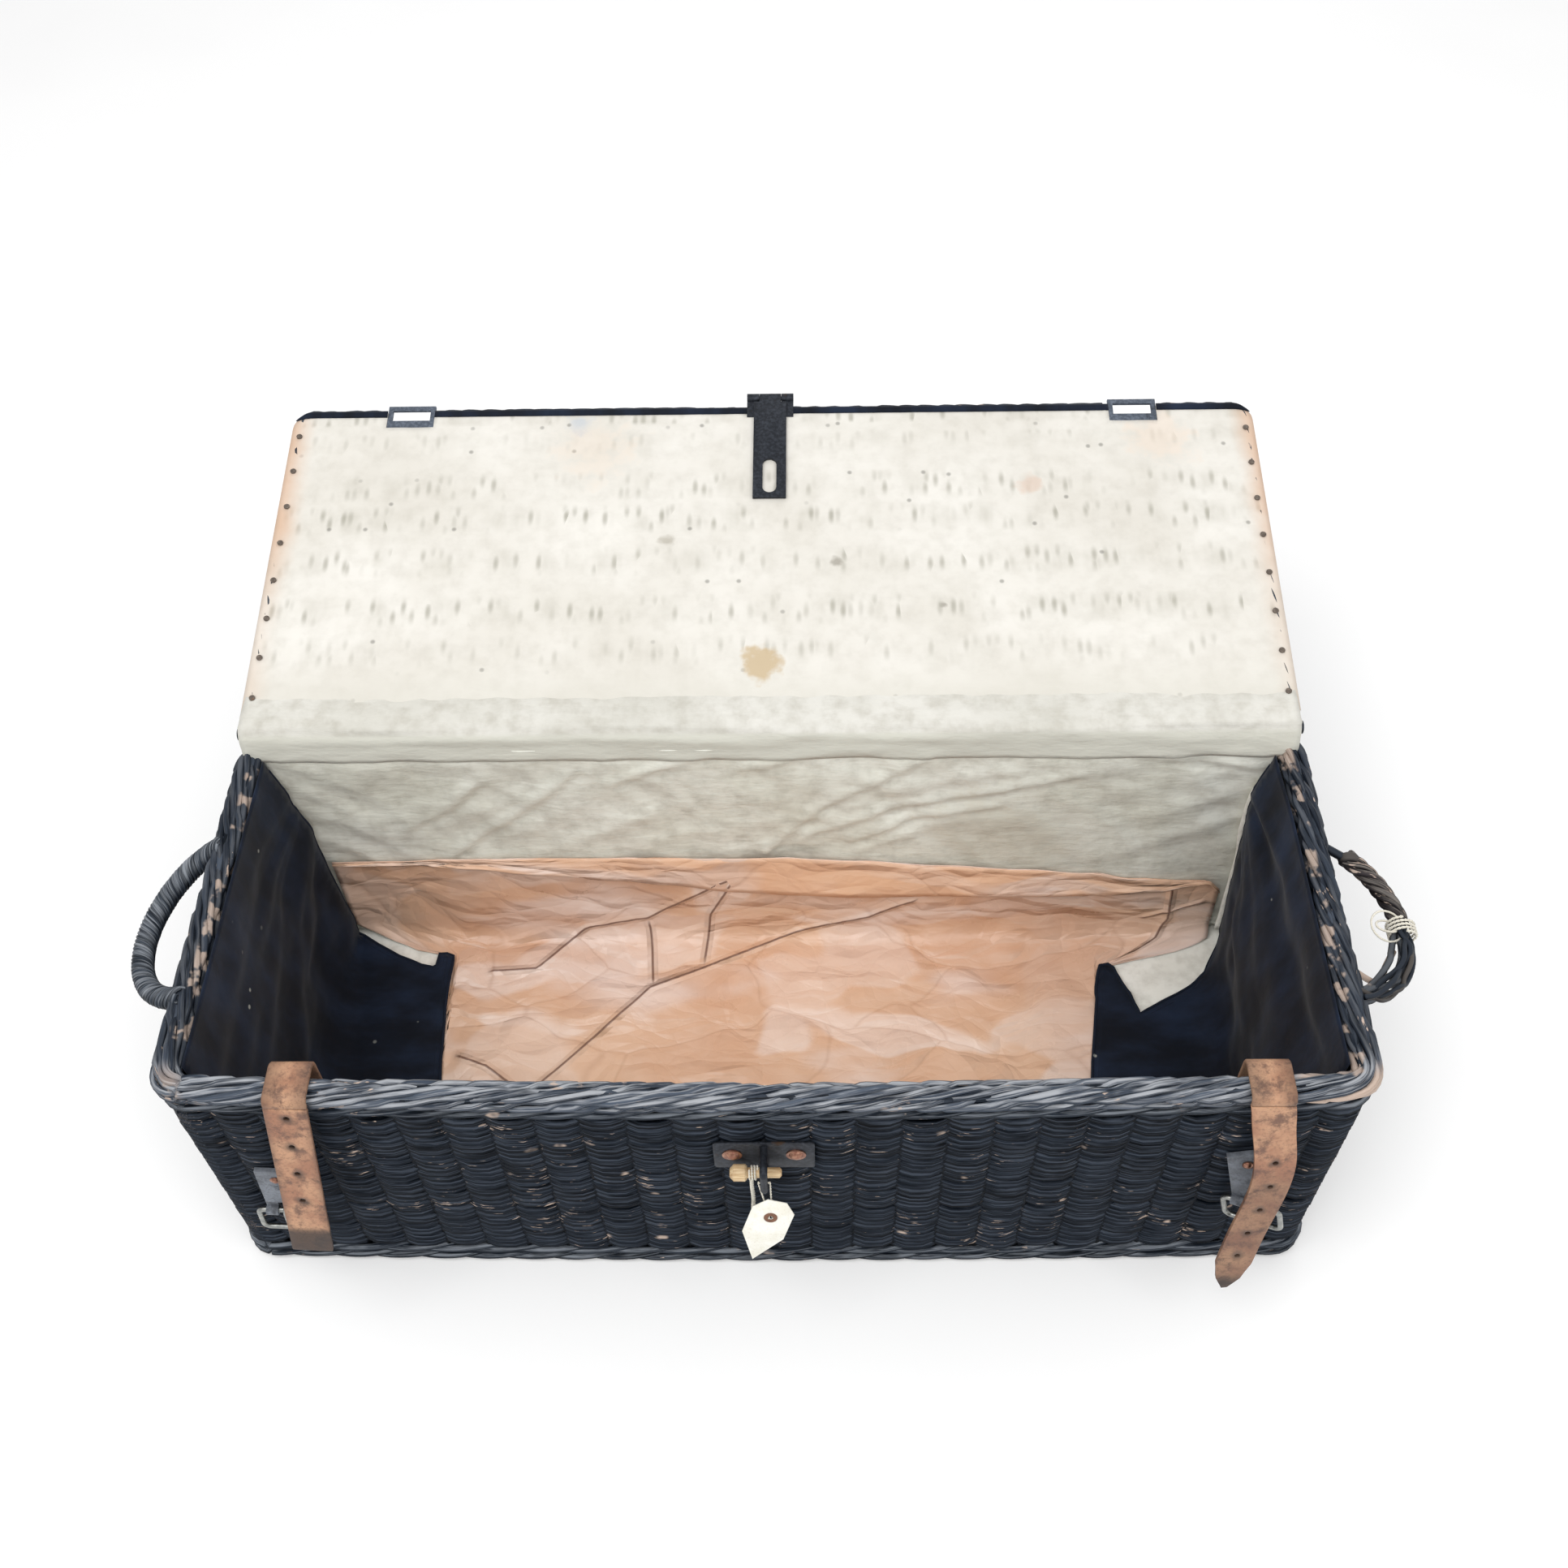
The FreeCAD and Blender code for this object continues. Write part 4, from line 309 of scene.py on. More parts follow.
# Canvas: plain weave of about 12 threads a centimetre, drawn at 1.1 mm so that it shows; aged cream, matt
def canvas(name, base, shadeText, marks=(), stains=(), edgeStain=0.0, weaveBump=0.22, smallShare=0.35,
           wrinkles=0.1, paintedShadeLow=None):
    material, tree, shader, node = newMaterial(name)
    uv = node("clothPlace")
    split = node("axes", uv)
    across, down = split.outputs[0], split.outputs[1]
    wide = node("noise", uv, 7.0, 4.0, 0.6)
    small = node("noise", uv, 60.0, 3.0, 0.6)
    cloth = node("mix", node("range", wide, 0.3, 0.7), colour(base), colour(shadeText))
    cloth = node("mix", node("range", small, 0.35, 0.8, 0.0, smallShare), cloth, colour("#8f8876"))
    if marks:  # rows of thread ends and rubs where the rods press through from behind
        rows = node("ramp", node("evenRange", down, 0.0, 0.36))
        stops = sorted((round((row + step) / 360.0, 4), value) for row, share in marks
                       for step, value in ((-17, 0.0), (-5, share), (5, share), (17, 0.0)))
        ramp = rows.color_ramp
        ramp.elements[0].position = 0.0
        ramp.elements[0].color = (0, 0, 0, 1)
        ramp.elements[1].position = 1.0
        ramp.elements[1].color = (0, 0, 0, 1)
        for position, value in stops:
            element = ramp.elements.new(position)
            element.color = (value, value, value, 1)
        stretched = node("mapping", uv, (105.0, 31.0, 1.0))
        spots = node("cells", stretched, 1.0, voronoi_dimensions="2D")
        cell = node("channels", spots.outputs["Color"]).outputs[0]
        tick = node("multiply", node("range", spots.outputs["Distance"], 0.04, 0.4, 0.85, 0.0),
                    node("range", cell, 0.1, 0.8))
        tick = node("multiply", tick, rows.outputs["Color"])
        cloth = node("mix", tick, cloth, colour("#a3a094"))
        soft = node("multiply", node("range", node("noise", stretched, 0.35, 3.0, 0.55), 0.42, 0.75),
                    rows.outputs["Color"])
        cloth = node("mix", node("multiply", soft, 0.3), cloth, colour("#a8a496"))
        dots = node("cells", uv, 34.0, voronoi_dimensions="2D")
        dotPick = node("channels", dots.outputs["Color"]).outputs[1]
        dot = node("multiply", node("range", dots.outputs["Distance"], 0.03, 0.1, 1.0, 0.0),
                   node("range", dotPick, 0.8, 0.9))
        cloth = node("mix", node("multiply", dot, 0.5), cloth, colour("#4c4a44"))
        # painted shade: the lid lining is darkened towards the hinge
        cloth = node("mix", node("range", down, 0.014, 0.075, 0.75, 0.0), cloth, colour("#cfccc2"))
    if paintedShadeLow:  # painted shade: the part of the hinge cloth that bends down inside is darkened to the grey of the shaded back lining below it
        cloth = node("mix", node("range", down, paintedShadeLow[0] * mm, paintedShadeLow[1] * mm, 1.0, 0.0), cloth,
                     colour(paintedShadeLow[2]))
    for x, y, radius, tone, share in stains:
        away = node("distance", uv, (x * mm, y * mm, 0))
        for ragged, reach in ((wide, 3.6), (small, 1.8)):
            shift = node("multiply", node("subtract", ragged, 0.5), radius * reach * mm)
            away = node("add", away, shift)
        spread = node("range", away, radius * 0.35 * mm, radius * mm, share, 0.0)
        cloth = node("mix", spread, cloth, colour(tone))
    if edgeStain:  # glue and rust that came through along both ends
        side = node("absolute", across)
        side = node("add", side, node("multiply", node("subtract", wide, 0.5), 0.04))
        share = node("multiply", node("range", side, (edgeStain - 26) * mm, (edgeStain + 3) * mm, 0.0, 0.75),
                     node("range", down, 0.1, 0.24, 0.35, 1.0))
        cloth = node("mix", share, cloth, colour("#cfa583"))
    tree.links.new(cloth, shader.inputs["Base Color"])
    shader.inputs["Roughness"].default_value = 0.86
    shader.inputs["Sheen Weight"].default_value = 0.12
    shader.inputs["Specular IOR Level"].default_value = 0.3
    threads = []
    for axis in (across, down):
        wave = node("sine", node("multiply", axis, 2 * math.pi / 0.0011))
        threads.append(node("absolute", wave))
    weave = node("maximum", threads[0], threads[1])
    fine = node("bump", weave, weaveBump, 0.0003)
    slub = node("noise", node("mapping", uv, (25.0, 260.0, 1.0)), 1.0, 2.0, 0.55)
    slubbed = node("bump", slub, 0.25, 0.0005, fine)
    wrinklePlace = node("mapping", uv, (16.0, 46.0, 1.0), (0, 0, 0.35))
    wrinkle = node("bump", node("noise", wrinklePlace, 1.0, 4.0, 0.6), wrinkles, 0.006, slubbed)
    tree.links.new(node("bump", wide, 0.4, 0.004, wrinkle), shader.inputs["Normal"])
    return material


# depth and strength of each row of marks, then place, radius, colour and strength of each stain
lidMarks = ((331, 0.9), (305, 0.4), (252, 0.8), (215, 1.0), (169, 0.85), (117, 0.9), (75, 0.55))
lidStains = ((-4, 62, 17, "#bfa985", 0.85), (-175, 326, 20, "#9fb0c4", 0.4), (-160, 298, 46, "#dcc6b0", 0.25),
             (352, 300, 34, "#e0c5ad", 0.3), (235, 250, 14, "#c08a62", 0.3), (-90, 190, 9, "#8e8674", 0.5),
             (60, 166, 8, "#7e776a", 0.6), (152, 120, 7, "#7d776b", 0.6))
lidCanvas = canvas("agedCanvasLid", "#e2dfd8", "#d5d1c8", lidMarks, lidStains, 444, smallShare=0.16)
# painted light: the wall canvas is lighter than the lid's, to offset the shade on the walls inside the trunk
wallCanvasPaintedLight = canvas("agedCanvasWallPaintedLight", "#f1f2e9", "#e2e2d5",
                    stains=((-120, 60, 60, "#b5ad97", 0.5), (210, 150, 70, "#b9b19c", 0.4)), weaveBump=0.3,
                    wrinkles=0.4)
# painted shade: the hinge canvas is darker than the lid's, for the shade where it folds over the hinge
hingeCanvasPaintedShade = canvas("agedCanvasHingePaintedShade", "#dad8d1", "#cac8bf", weaveBump=0.3, wrinkles=0.4,
                     paintedShadeLow=(24.0, 29.0, "#cccbc0"))
# painted light: the floor canvas is nearly white, to offset the shade on the trunk's floor
floorCanvasPaintedLight = canvas("agedCanvasFloorPaintedLight", "#faf9f2", "#efeee4", weaveBump=0.3)


# Black lining cloth: dull fine twill of 0.6 mm, faded to grey along the folds, with lint on it
def blackLining():
    material, tree, shader, node = newMaterial("blackLiningCloth")
    place = node("objectPlace")
    uv = node("clothPlace")
    drift = node("noise", node("mapping", uv, (22.0, 9.0, 1.0)), 1.0, 4.0, 0.6)
    cloth = node("mix", node("range", drift, 0.35, 0.75), colour("#060c18"), colour("#1a263b"))
    lint = node("cells", place, 55.0)
    pick = node("channels", lint.outputs["Color"]).outputs[0]
    speck = node("multiply", node("range", lint.outputs["Distance"], 0.06, 0.13, 1.0, 0.0),
                 node("range", pick, 0.9, 0.93))
    tree.links.new(node("mix", node("multiply", speck, 0.75), cloth, colour("#a9aaa4")),
                   shader.inputs["Base Color"])
    shader.inputs["Roughness"].default_value = 0.8
    shader.inputs["Specular IOR Level"].default_value = 0.22
    shader.inputs["Sheen Weight"].default_value = 0.08
    shader.inputs["Sheen Roughness"].default_value = 0.4
    split = node("axes", uv)
    twill = node("sine", node("multiply", node("add", split.outputs[0], split.outputs[1]),
                              2 * math.pi / 0.0009))
    fine = node("bump", twill, 0.25, 0.0002)
    tree.links.new(node("bump", drift, 0.4, 0.003, fine), shader.inputs["Normal"])
    return material


blackCloth = blackLining()


# Brown wrapping paper, waxed: half gloss, pink-tan, with hard creases that catch the light; its colour also
# holds painted highlights on streaks and facets and painted shade on facets and along the creases
def waxedPaper(name, first, second, creaseCount, rough):
    material, tree, shader, node = newMaterial(name)
    uv = node("clothPlace")
    broad = node("noise", uv, 5.0, 3.0, 0.5)
    mottled = node("noise", uv, 22.0, 4.0, 0.6)
    paper = node("mix", node("range", broad, 0.3, 0.7), colour(first), colour(second))
    paper = node("mix", node("range", mottled, 0.4, 0.75, 0.0, 0.3), paper, colour("#e9c9b4"))
    highlightStreakPlace = node("mapping", uv, (5.0, 12.0, 1.0), (0, 0, 0.2))
    streak = node("noise", highlightStreakPlace, 1.0, 3.0, 0.5)
    # painted highlight: pinkish-white streaks in the colour stand for the gloss
    paper = node("mix", node("range", streak, 0.5, 0.66, 0.0, 0.62), paper, colour("#ecdcd6"))
    warp = node("noiseNode", uv, 9.0).outputs["Color"]
    warp = node("scaled", warp, 0.07)
    bent = node("vectorSum", uv, warp)
    bent = node("mapping", bent, (0.6, 1.2, 1.0), (0, 0, 0.12))
    facets = []
    for scale in (11.0, 27.0, 60.0):
        facets.append(node("cells", bent, scale, feature="DISTANCE_TO_EDGE").outputs["Distance"])
    paintedFacetCells = node("cells", bent, 17.0, 0.25, feature="SMOOTH_F1")
    paintedFacetLight = node("channels", paintedFacetCells.outputs["Color"]).outputs
    # painted highlight and shade: some crumple facets lightened, others darkened, as if tilted to or from the
    # light
    paper = node("mix", node("range", paintedFacetLight[0], 0.45, 0.95, 0.0, 0.42), paper, colour("#f4e6e0"))
    paper = node("mix", node("range", paintedFacetLight[1], 0.6, 0.95, 0.0, 0.2), paper, colour("#c09474"))
    # painted shade: darker along the crumple creases
    crease = node("range", facets[0], 0.0, 0.02, 1.0, 0.0)
    paper = node("mix", node("multiply", crease, 0.2), paper, colour("#a9795a"))
    ridge = 0.0
    for index in range(creaseCount):  # the long hard folds: painted shade as a thin dark line along each, and a bumped ridge for one lit flank
        line = node("attributeVector", attribute_name=f"crease{index}")
        split = node("axes", line)
        away = node("absolute", split.outputs[0])
        dark = node("multiply", node("range", away, 0.5, 1.7, 0.85, 0.0), split.outputs[1])
        paper = node("mix", dark, paper, colour("#6b4536"))
        ridge = node("maximum", ridge, node("multiply", node("evenRange", away, 0.0, 5.0, 1.0, 0.0),
                                            split.outputs[1]))
    tree.links.new(paper, shader.inputs["Base Color"])
    tree.links.new(node("range", mottled, 0.3, 0.75, rough, rough + 0.14), shader.inputs["Roughness"])
    shader.inputs["Coat Weight"].default_value = 0.15
    shader.inputs["Coat Roughness"].default_value = 0.25
    fold = node("bump", facets[2], 0.4, 0.0035)
    fold = node("bump", facets[1], 0.55, 0.01, fold)
    fold = node("bump", facets[0], 0.65, 0.026, fold)
    fold = node("bump", streak, 0.6, 0.014, fold)
    fold = node("bump", ridge, 0.8, 0.003, fold)
    tree.links.new(node("bump", mottled, 0.25, 0.004, fold), shader.inputs["Normal"])
    return material


paperBrown = waxedPaper("waxedPaper", "#d3a688", "#e1ba9d", 7, 0.26)
# painted light: the turned strip is lighter than the face, to offset the shade it lies in
paperTurnedPaintedLight = waxedPaper("waxedPaperBackPaintedLight", "#e8b996", "#f0c6a8", 0, 0.4)


# Strap leather: vegetable tanned, pores of 0.5 mm, darker where hands and buckles rubbed it
def leather(name, base, worn, dark, endDark=None):
    material, tree, shader, node = newMaterial(name)
    place = node("objectPlace")
    wide = node("noise", place, 30.0, 4.0, 0.6)
    fine = node("noise", place, 420.0, 3.0, 0.6)
    hide = node("mix", node("range", wide, 0.35, 0.7), colour(base), colour(worn))
    hide = node("mix", node("range", fine, 0.45, 0.8, 0.0, 0.5), hide, colour(dark))
    blotch = node("range", node("noise", place, 62.0, 5.0, 0.7), 0.48, 0.66)
    hide = node("mix", node("multiply", blotch, 0.8), hide, colour(dark))
    crackPlace = node("mapping", place, (110.0, 110.0, 240.0))
    crack = node("cells", crackPlace, 1.0, feature="DISTANCE_TO_EDGE").outputs[0]
    cracked = node("multiply", node("range", crack, 0.0, 0.035, 1.0, 0.0), node("range", wide, 0.58, 0.68))
    hide = node("mix", node("multiply", cracked, 0.4), hide, colour("#2c1d15"))
    edge = node("attribute", attribute_name="edgeDark")
    hide = node("mix", edge, hide, colour(endDark or dark))
    tree.links.new(hide, shader.inputs["Base Color"])
    tree.links.new(node("range", wide, 0.3, 0.75, 0.5, 0.68), shader.inputs["Roughness"])
    pores = node("cells", place, 900.0).outputs["Distance"]
    skin = node("bump", pores, 0.25, 0.0003)
    tree.links.new(node("bump", wide, 0.3, 0.0015, skin), shader.inputs["Normal"])
    return material


tanLeather = leather("vegetableTannedLeather", "#996a50", "#bf9474", "#5b4036", "#2b2523")
greyLeather = leather("driedGreyLeather", "#5b5f66", "#7d838c", "#383a3f")


# Iron, forged and blackened: dull, slightly pitted, brown rust in the corners
def ironOf(name, base, bright, rust, roughness, rustAt=0.62, metallic=1.0):
    material, tree, shader, node = newMaterial(name)
    place = node("objectPlace")
    wide = node("noise", place, 45.0, 5.0, 0.65)
    pits = node("noise", place, 330.0, 3.0, 0.6)
    metal = node("mix", node("range", pits, 0.35, 0.75), colour(base), colour(bright))
    rusty = node("range", wide, rustAt, rustAt + 0.12)
    tree.links.new(node("mix", node("multiply", rusty, 0.8), metal, colour(rust)),
                   shader.inputs["Base Color"])
    tree.links.new(node("range", rusty, 0.0, 1.0, roughness, 0.85), shader.inputs["Roughness"])
    shader.inputs["Metallic"].default_value = metallic
    tree.links.new(node("bump", pits, 0.35, 0.0003, node("bump", wide, 0.25, 0.0008)),
                   shader.inputs["Normal"])
    return material


blackIron = ironOf("blackenedIron", "#24272d", "#3a3e46", "#54402f", 0.5, metallic=0.75)
rustedIron = ironOf("rustedIron", "#5b5149", "#7d7268", "#8a6c54", 0.6, metallic=0.4)
greyPaintedIron = ironOf("greyPaintedIron", "#4b535f", "#6d7684", "#3b3f45", 0.55, metallic=0.5)
greyIron = ironOf("tarnishedIron", "#8d8f8d", "#b1b1ab", "#6a5c4c", 0.42)
copper = ironOf("tarnishedCopper", "#8a6152", "#b08872", "#4d3a33", 0.38)


# Turned wood of the peg: oiled, grain of 2 mm along it
def turnedWood():
    material, tree, shader, node = newMaterial("oiledTurnedWood")
    place = node("objectPlace")
    grain = node("noise", node("mapping", place, (60.0, 520.0, 520.0)), 1.0, 3.0, 0.55)
    tree.links.new(node("mix", node("range", grain, 0.3, 0.75), colour("#d9c199"), colour("#a9855a")),
                   shader.inputs["Base Color"])
    shader.inputs["Roughness"].default_value = 0.48
    tree.links.new(node("bump", grain, 0.3, 0.0003), shader.inputs["Normal"])
    return material


pegWood = turnedWood()


# Cotton string: two or three plies, matt, a little grey with dust
def cottonString(name, light, dark):
    material, tree, shader, node = newMaterial(name)
    place = node("objectPlace")
    fibre = node("noise", place, 1500.0, 2.0, 0.55)
    dust = node("noise", place, 90.0, 3.0, 0.55)
    tone = node("mix", node("range", fibre, 0.35, 0.7), colour(light), colour(dark))
    tree.links.new(node("mix", node("range", dust, 0.5, 0.8, 0.0, 0.5), tone, colour("#9c9484")),
                   shader.inputs["Base Color"])
    shader.inputs["Roughness"].default_value = 0.9
    shader.inputs["Sheen Weight"].default_value = 0.2
    tree.links.new(node("bump", fibre, 0.5, 0.0002), shader.inputs["Normal"])
    return material


stringWhite = cottonString("cottonString", "#e8e4d8", "#cfc9b8")


# Matt cream card with soft edges, and the pressed brown fibre of its eyelet
def cardOf(name, base, shadeText, stain):
    material, tree, shader, node = newMaterial(name)
    place = node("objectPlace")
    cloud = node("noise", place, 60.0, 4.0, 0.6)
    fleck = node("noise", place, 700.0, 2.0, 0.55)
    card = node("mix", node("range", cloud, 0.35, 0.7), colour(base), colour(shadeText))
    card = node("mix", node("range", fleck, 0.5, 0.8, 0.0, 0.3), card, colour(stain))
    tree.links.new(card, shader.inputs["Base Color"])
    shader.inputs["Roughness"].default_value = 0.78
    tree.links.new(node("bump", fleck, 0.2, 0.0002), shader.inputs["Normal"])
    return material


tagCard = cardOf("mattCard", "#efeee6", "#e3e0d2", "#b9a88c")
eyeletFibre = cardOf("pressedFibre", "#7a5440", "#5e4031", "#3d2a22")
print("materials made")


# Node trees for what repeats: woven rows and twisted strands along a path

def pathPiece(name, points, closed=False):  # bare line that a tree works along
    curve = bpy.data.curves.new(name, "CURVE")
    curve.dimensions = "3D"
    spline = curve.splines.new("POLY")
    spline.points.add(len(points) - 1)
    for target, point in zip(spline.points, points):
        target.co = (*point, 1.0)
    spline.use_cyclic_u = closed
    piece = bpy.data.objects.new(name, curve)
    scene.collection.objects.link(piece)
    return piece


def startTree(name, sizes):
    tree = bpy.data.node_groups.new(name, "GeometryNodeTree")
    tree.interface.new_socket("Geometry", in_out="INPUT", socket_type="NodeSocketGeometry")
    for label, kind in sizes:
        tree.interface.new_socket(label, in_out="INPUT", socket_type="NodeSocket" + kind)
    tree.interface.new_socket("Geometry", in_out="OUTPUT", socket_type="NodeSocketGeometry")
    return tree, addNode(tree, "groupInput").outputs, partial(addNode, tree)


def useTree(piece, tree, values, name):
    modifier = piece.modifiers.new("made", "NODES")
    modifier.node_group = tree
    sockets = {item.name: item.identifier for item in tree.interface.items_tree if item.in_out == "INPUT"}
    for label, value in values.items():
        modifier[sockets[label]] = value
    return bake(piece, name)


def strandEnd(node, curve, profile, shade, run, material):  # shared last steps: shade per rod, tube, material
    kept = node("keep", curve, "rodShade", shade, domain="CURVE")
    kept = node("keep", kept, "rodRun", run)
    turn = node("alongSpline").outputs["Factor"]
    profile = node("keep", profile, "rodRound", turn)
    tube = node("tube", kept, profile, True)
    tube = node("shadeSmooth", tube)
    tube = node("realize", tube)
    tube = node("setMaterial", tube, material)
    node("groupOutput", tube)


# Rows of rods that pass in front of and behind upright stakes; the path is the middle of the wall
weaveDrift = {"slow": 9.0, "slowRow": 3.7, "quick": 40.0, "quickRow": 5.3, "seedStep": 91.0, "phase": 0.8,
              "lift": 3.0, "out": 1.2, "thinnest": 0.87, "thicker": 0.26, "swell": 0.35}


def makeWeaveTree():
    tree, size, node = startTree("wovenRows", [("Points", "Int"), ("Rows", "Int"), ("Row Height", "Float"),
                                               ("Rod", "Float"), ("Sway", "Float"), ("Stakes", "Float"),
                                               ("Stakes Per Wave", "Float"), ("Rows Together", "Float"),
                                               ("Unevenness", "Float"), ("Sides", "Int"), ("Seed", "Int"),
                                               ("Material", "Material")])
    rail = node("resample", size["Geometry"], size["Points"])
    rows = node("copies", rail, size["Rows"])
    row = rows.outputs["Duplicate Index"]
    share = node("alongSpline").outputs["Factor"]
    length = node("alongSpline").outputs["Length"]
    block = node("floor", node("divide", row, size["Rows Together"]))
    turns = node("divide", size["Stakes"], size["Stakes Per Wave"])
    angle = node("multiply", node("multiply", share, turns), 2 * math.pi)
    step = node("divide", node("multiply", block, 2 * math.pi), size["Stakes Per Wave"])
    seedRow = node("add", row, node("multiply", size["Seed"], weaveDrift["seedStep"]))
    ripplePlace = node("vector", node("multiply", length, weaveDrift["slow"]),
                       node("multiply", seedRow, weaveDrift["slowRow"]))
    ripple = node("noiseNode", ripplePlace, 1.0, 2.0)
    rippleA = node("subtract", ripple.outputs["Fac"], 0.5)
    quickPlace = node("vector", node("multiply", length, weaveDrift["quick"]),
                      node("multiply", seedRow, weaveDrift["quickRow"]))
    rippleB = node("subtract", node("noise", quickPlace, 1.0, 1.0), 0.5)
    wave = node("cosine", node("add", angle,
                               node("add", step, node("multiply", rippleA, weaveDrift["phase"]))))
    cube = node("multiply", wave, node("multiply", wave, wave))
    flat = node("subtract", node("multiply", wave, 1.5), node("multiply", cube, 0.5))
    outward = node("add", node("multiply", flat, size["Sway"]),
                   node("multiply", rippleB, node("multiply", size["Unevenness"], weaveDrift["out"])))
    lift = node("add", node("multiply", row, size["Row Height"]),
                node("multiply", rippleA, node("multiply", size["Unevenness"], weaveDrift["lift"])))
    tangent = node("tangent")
    side = node("normalize", node("cross", tangent, (0, 0, 1)))
    move = node("vectorSum", node("scaled", side, outward), node("vector", 0.0, 0.0, lift))
    woven = node("setPosition", rows.outputs[0], move)
    shade = node("random", row, size["Seed"])
    thick = node("add", node("add", node("multiply", shade, weaveDrift["thicker"]), weaveDrift["thinnest"]),
                 node("multiply", rippleA, weaveDrift["swell"]))
    woven = node("curveRadius", woven, thick)
    circle = node("circle", size["Sides"], node("divide", size["Rod"], 2.0))
    strandEnd(node, woven, circle, shade, length, size["Material"])
    return tree


# Strands wound round an oval core along the path
ropeDrift = {"along": 14.0, "strand": 7.3, "seedStep": 37.0, "turn": 2.4, "dipStep": 2.399, "dipDrift": 3.0}


def makeRopeTree():
    tree, size, node = startTree("twistedStrands",
                                 [("Points", "Int"), ("Strands", "Int"), ("Strand", "Float"),
                                  ("Wide", "Float"), ("High", "Float"), ("Turns", "Float"),
                                  ("Looseness", "Float"), ("Thick Share", "Float"), ("Dip", "Float"),
                                  ("Dip Length", "Float"), ("Up", "Vector"), ("Sides", "Int"),
                                  ("Seed", "Int"), ("Material", "Material")])
    rail = node("resample", size["Geometry"], size["Points"])
    strands = node("copies", rail, size["Strands"])
    strand = strands.outputs["Duplicate Index"]
    share = node("alongSpline").outputs["Factor"]
    length = node("alongSpline").outputs["Length"]
    seeded = node("add", strand, node("multiply", size["Seed"], ropeDrift["seedStep"]))
    driftPlace = node("vector", node("multiply", length, ropeDrift["along"]),
                      node("multiply", seeded, ropeDrift["strand"]))
    drift = node("noiseNode", driftPlace, 1.0, 2.0)
    driftA = node("subtract", drift.outputs["Fac"], 0.5)
    driftColour = node("axes", drift.outputs["Color"])
    driftB = node("subtract", driftColour.outputs[1], 0.5)
    start = node("divide", node("multiply", strand, 2 * math.pi), size["Strands"])
    angle = node("add", start, node("multiply", node("multiply", share, size["Turns"]), 2 * math.pi))
    angle = node("add", angle, node("multiply", driftA,
                                    node("multiply", size["Looseness"], ropeDrift["turn"])))
    grow = node("add", 1.0, node("multiply", driftB, size["Looseness"]))
    dipTurn = node("add", node("multiply", node("divide", length, size["Dip Length"]), 2 * math.pi),
                   node("add", node("multiply", strand, ropeDrift["dipStep"]),
                        node("multiply", driftA, ropeDrift["dipDrift"])))
    under = node("multiply", node("maximum", node("cosine", dipTurn), 0.0), size["Dip"])
    grow = node("subtract", grow, under)
    tangent = node("tangent")
    side = node("normalize", node("cross", tangent, size["Up"]))
    rise = node("normalize", node("cross", side, tangent))
    wide = node("multiply", node("multiply", node("cosine", angle), size["Wide"]), grow)
    high = node("multiply", node("multiply", node("sine", angle), size["High"]), grow)
    move = node("vectorSum", node("scaled", side, wide), node("scaled", rise, high))
    wound = node("setPosition", strands.outputs[0], move)
    shade = node("random", strand, size["Seed"])
    thick = node("add", node("subtract", 1.0, node("divide", size["Thick Share"], 2.0)),
                 node("multiply", shade, size["Thick Share"]))
    wound = node("curveRadius", wound, thick)
    circle = node("circle", size["Sides"], node("divide", size["Strand"], 2.0))
    strandEnd(node, wound, circle, shade, length, size["Material"])
    return tree


weaveTree = makeWeaveTree()
ropeTree = makeRopeTree()


def ring(halfLength, halfDepth, corner, bow, height, step=4.0):  # rounded rectangle, its front bowed
    points = []
    cornerSteps = 8
    reach = halfLength - corner
    count = int(2 * reach / step)
    for i in range(count):  # front, from left to right
        x = -reach + 2 * reach * i / count
        points.append((x, -halfDepth - bow * (1 - (x / halfLength) ** 2), height))
    corners = ((reach, -(halfDepth - corner), -90), (reach, halfDepth - corner, 0),
               (-reach, halfDepth - corner, 90), (-reach, -(halfDepth - corner), 180))
    for index, (x, y, start) in enumerate(corners):
        for i in range(cornerSteps + 1):
            angle = math.radians(start + i * 90 / cornerSteps)
            points.append((x + corner * math.cos(angle), y + corner * math.sin(angle), height))
        if index == 3:
            break
        nextX, nextY, _ = corners[index + 1]
        fromX, fromY = points[-1][:2]
        toX = nextX + corner * math.cos(math.radians(start + 90))
        toY = nextY + corner * math.sin(math.radians(start + 90))
        runs = max(2, int(math.hypot(toX - fromX, toY - fromY) / step))
        for i in range(1, runs):
            points.append((fromX + (toX - fromX) * i / runs, fromY + (toY - fromY) * i / runs, height))
    return [Vector(point) * mm for point in points]


# Basket walls

basket = {"halfLength": 439.0, "halfDepth": 162.0, "corner": 15.0, "bow": 8.0, "stakes": 70, "perStake": 5,
          "rod": 6.3, "rowHeight": 3.7, "sway": 4.7, "low": 29.0, "bandRows": (21, 20, 20), "uneven": 1.3,
          "seed": 11, "stakeRadius": 3.0, "stakeLow": 10.0, "stakeHigh": 272.0}


def wallBand(name, firstRow, rows, seed):
    path = ring(basket["halfLength"], basket["halfDepth"], basket["corner"], basket["bow"],
                basket["low"] + firstRow * basket["rowHeight"])
    band = pathPiece(name + "Path", path, True)
    return useTree(band, weaveTree, {"Points": basket["stakes"] * basket["perStake"], "Rows": rows,
                                     "Row Height": basket["rowHeight"] * mm, "Rod": basket["rod"] * mm,
                                     "Sway": basket["sway"] * mm, "Stakes": float(basket["stakes"]),
                                     "Stakes Per Wave": 2.0, "Rows Together": 1.0,
                                     "Unevenness": basket["uneven"] * mm, "Sides": 6, "Seed": seed,
                                     "Material": wallWillow}, name)


bands = []
firstRow = 0
for index, rows in enumerate(basket["bandRows"]):
    bands.append(wallBand("wovenWall_" + "abc"[index], firstRow, rows, basket["seed"] + index))
    firstRow += rows


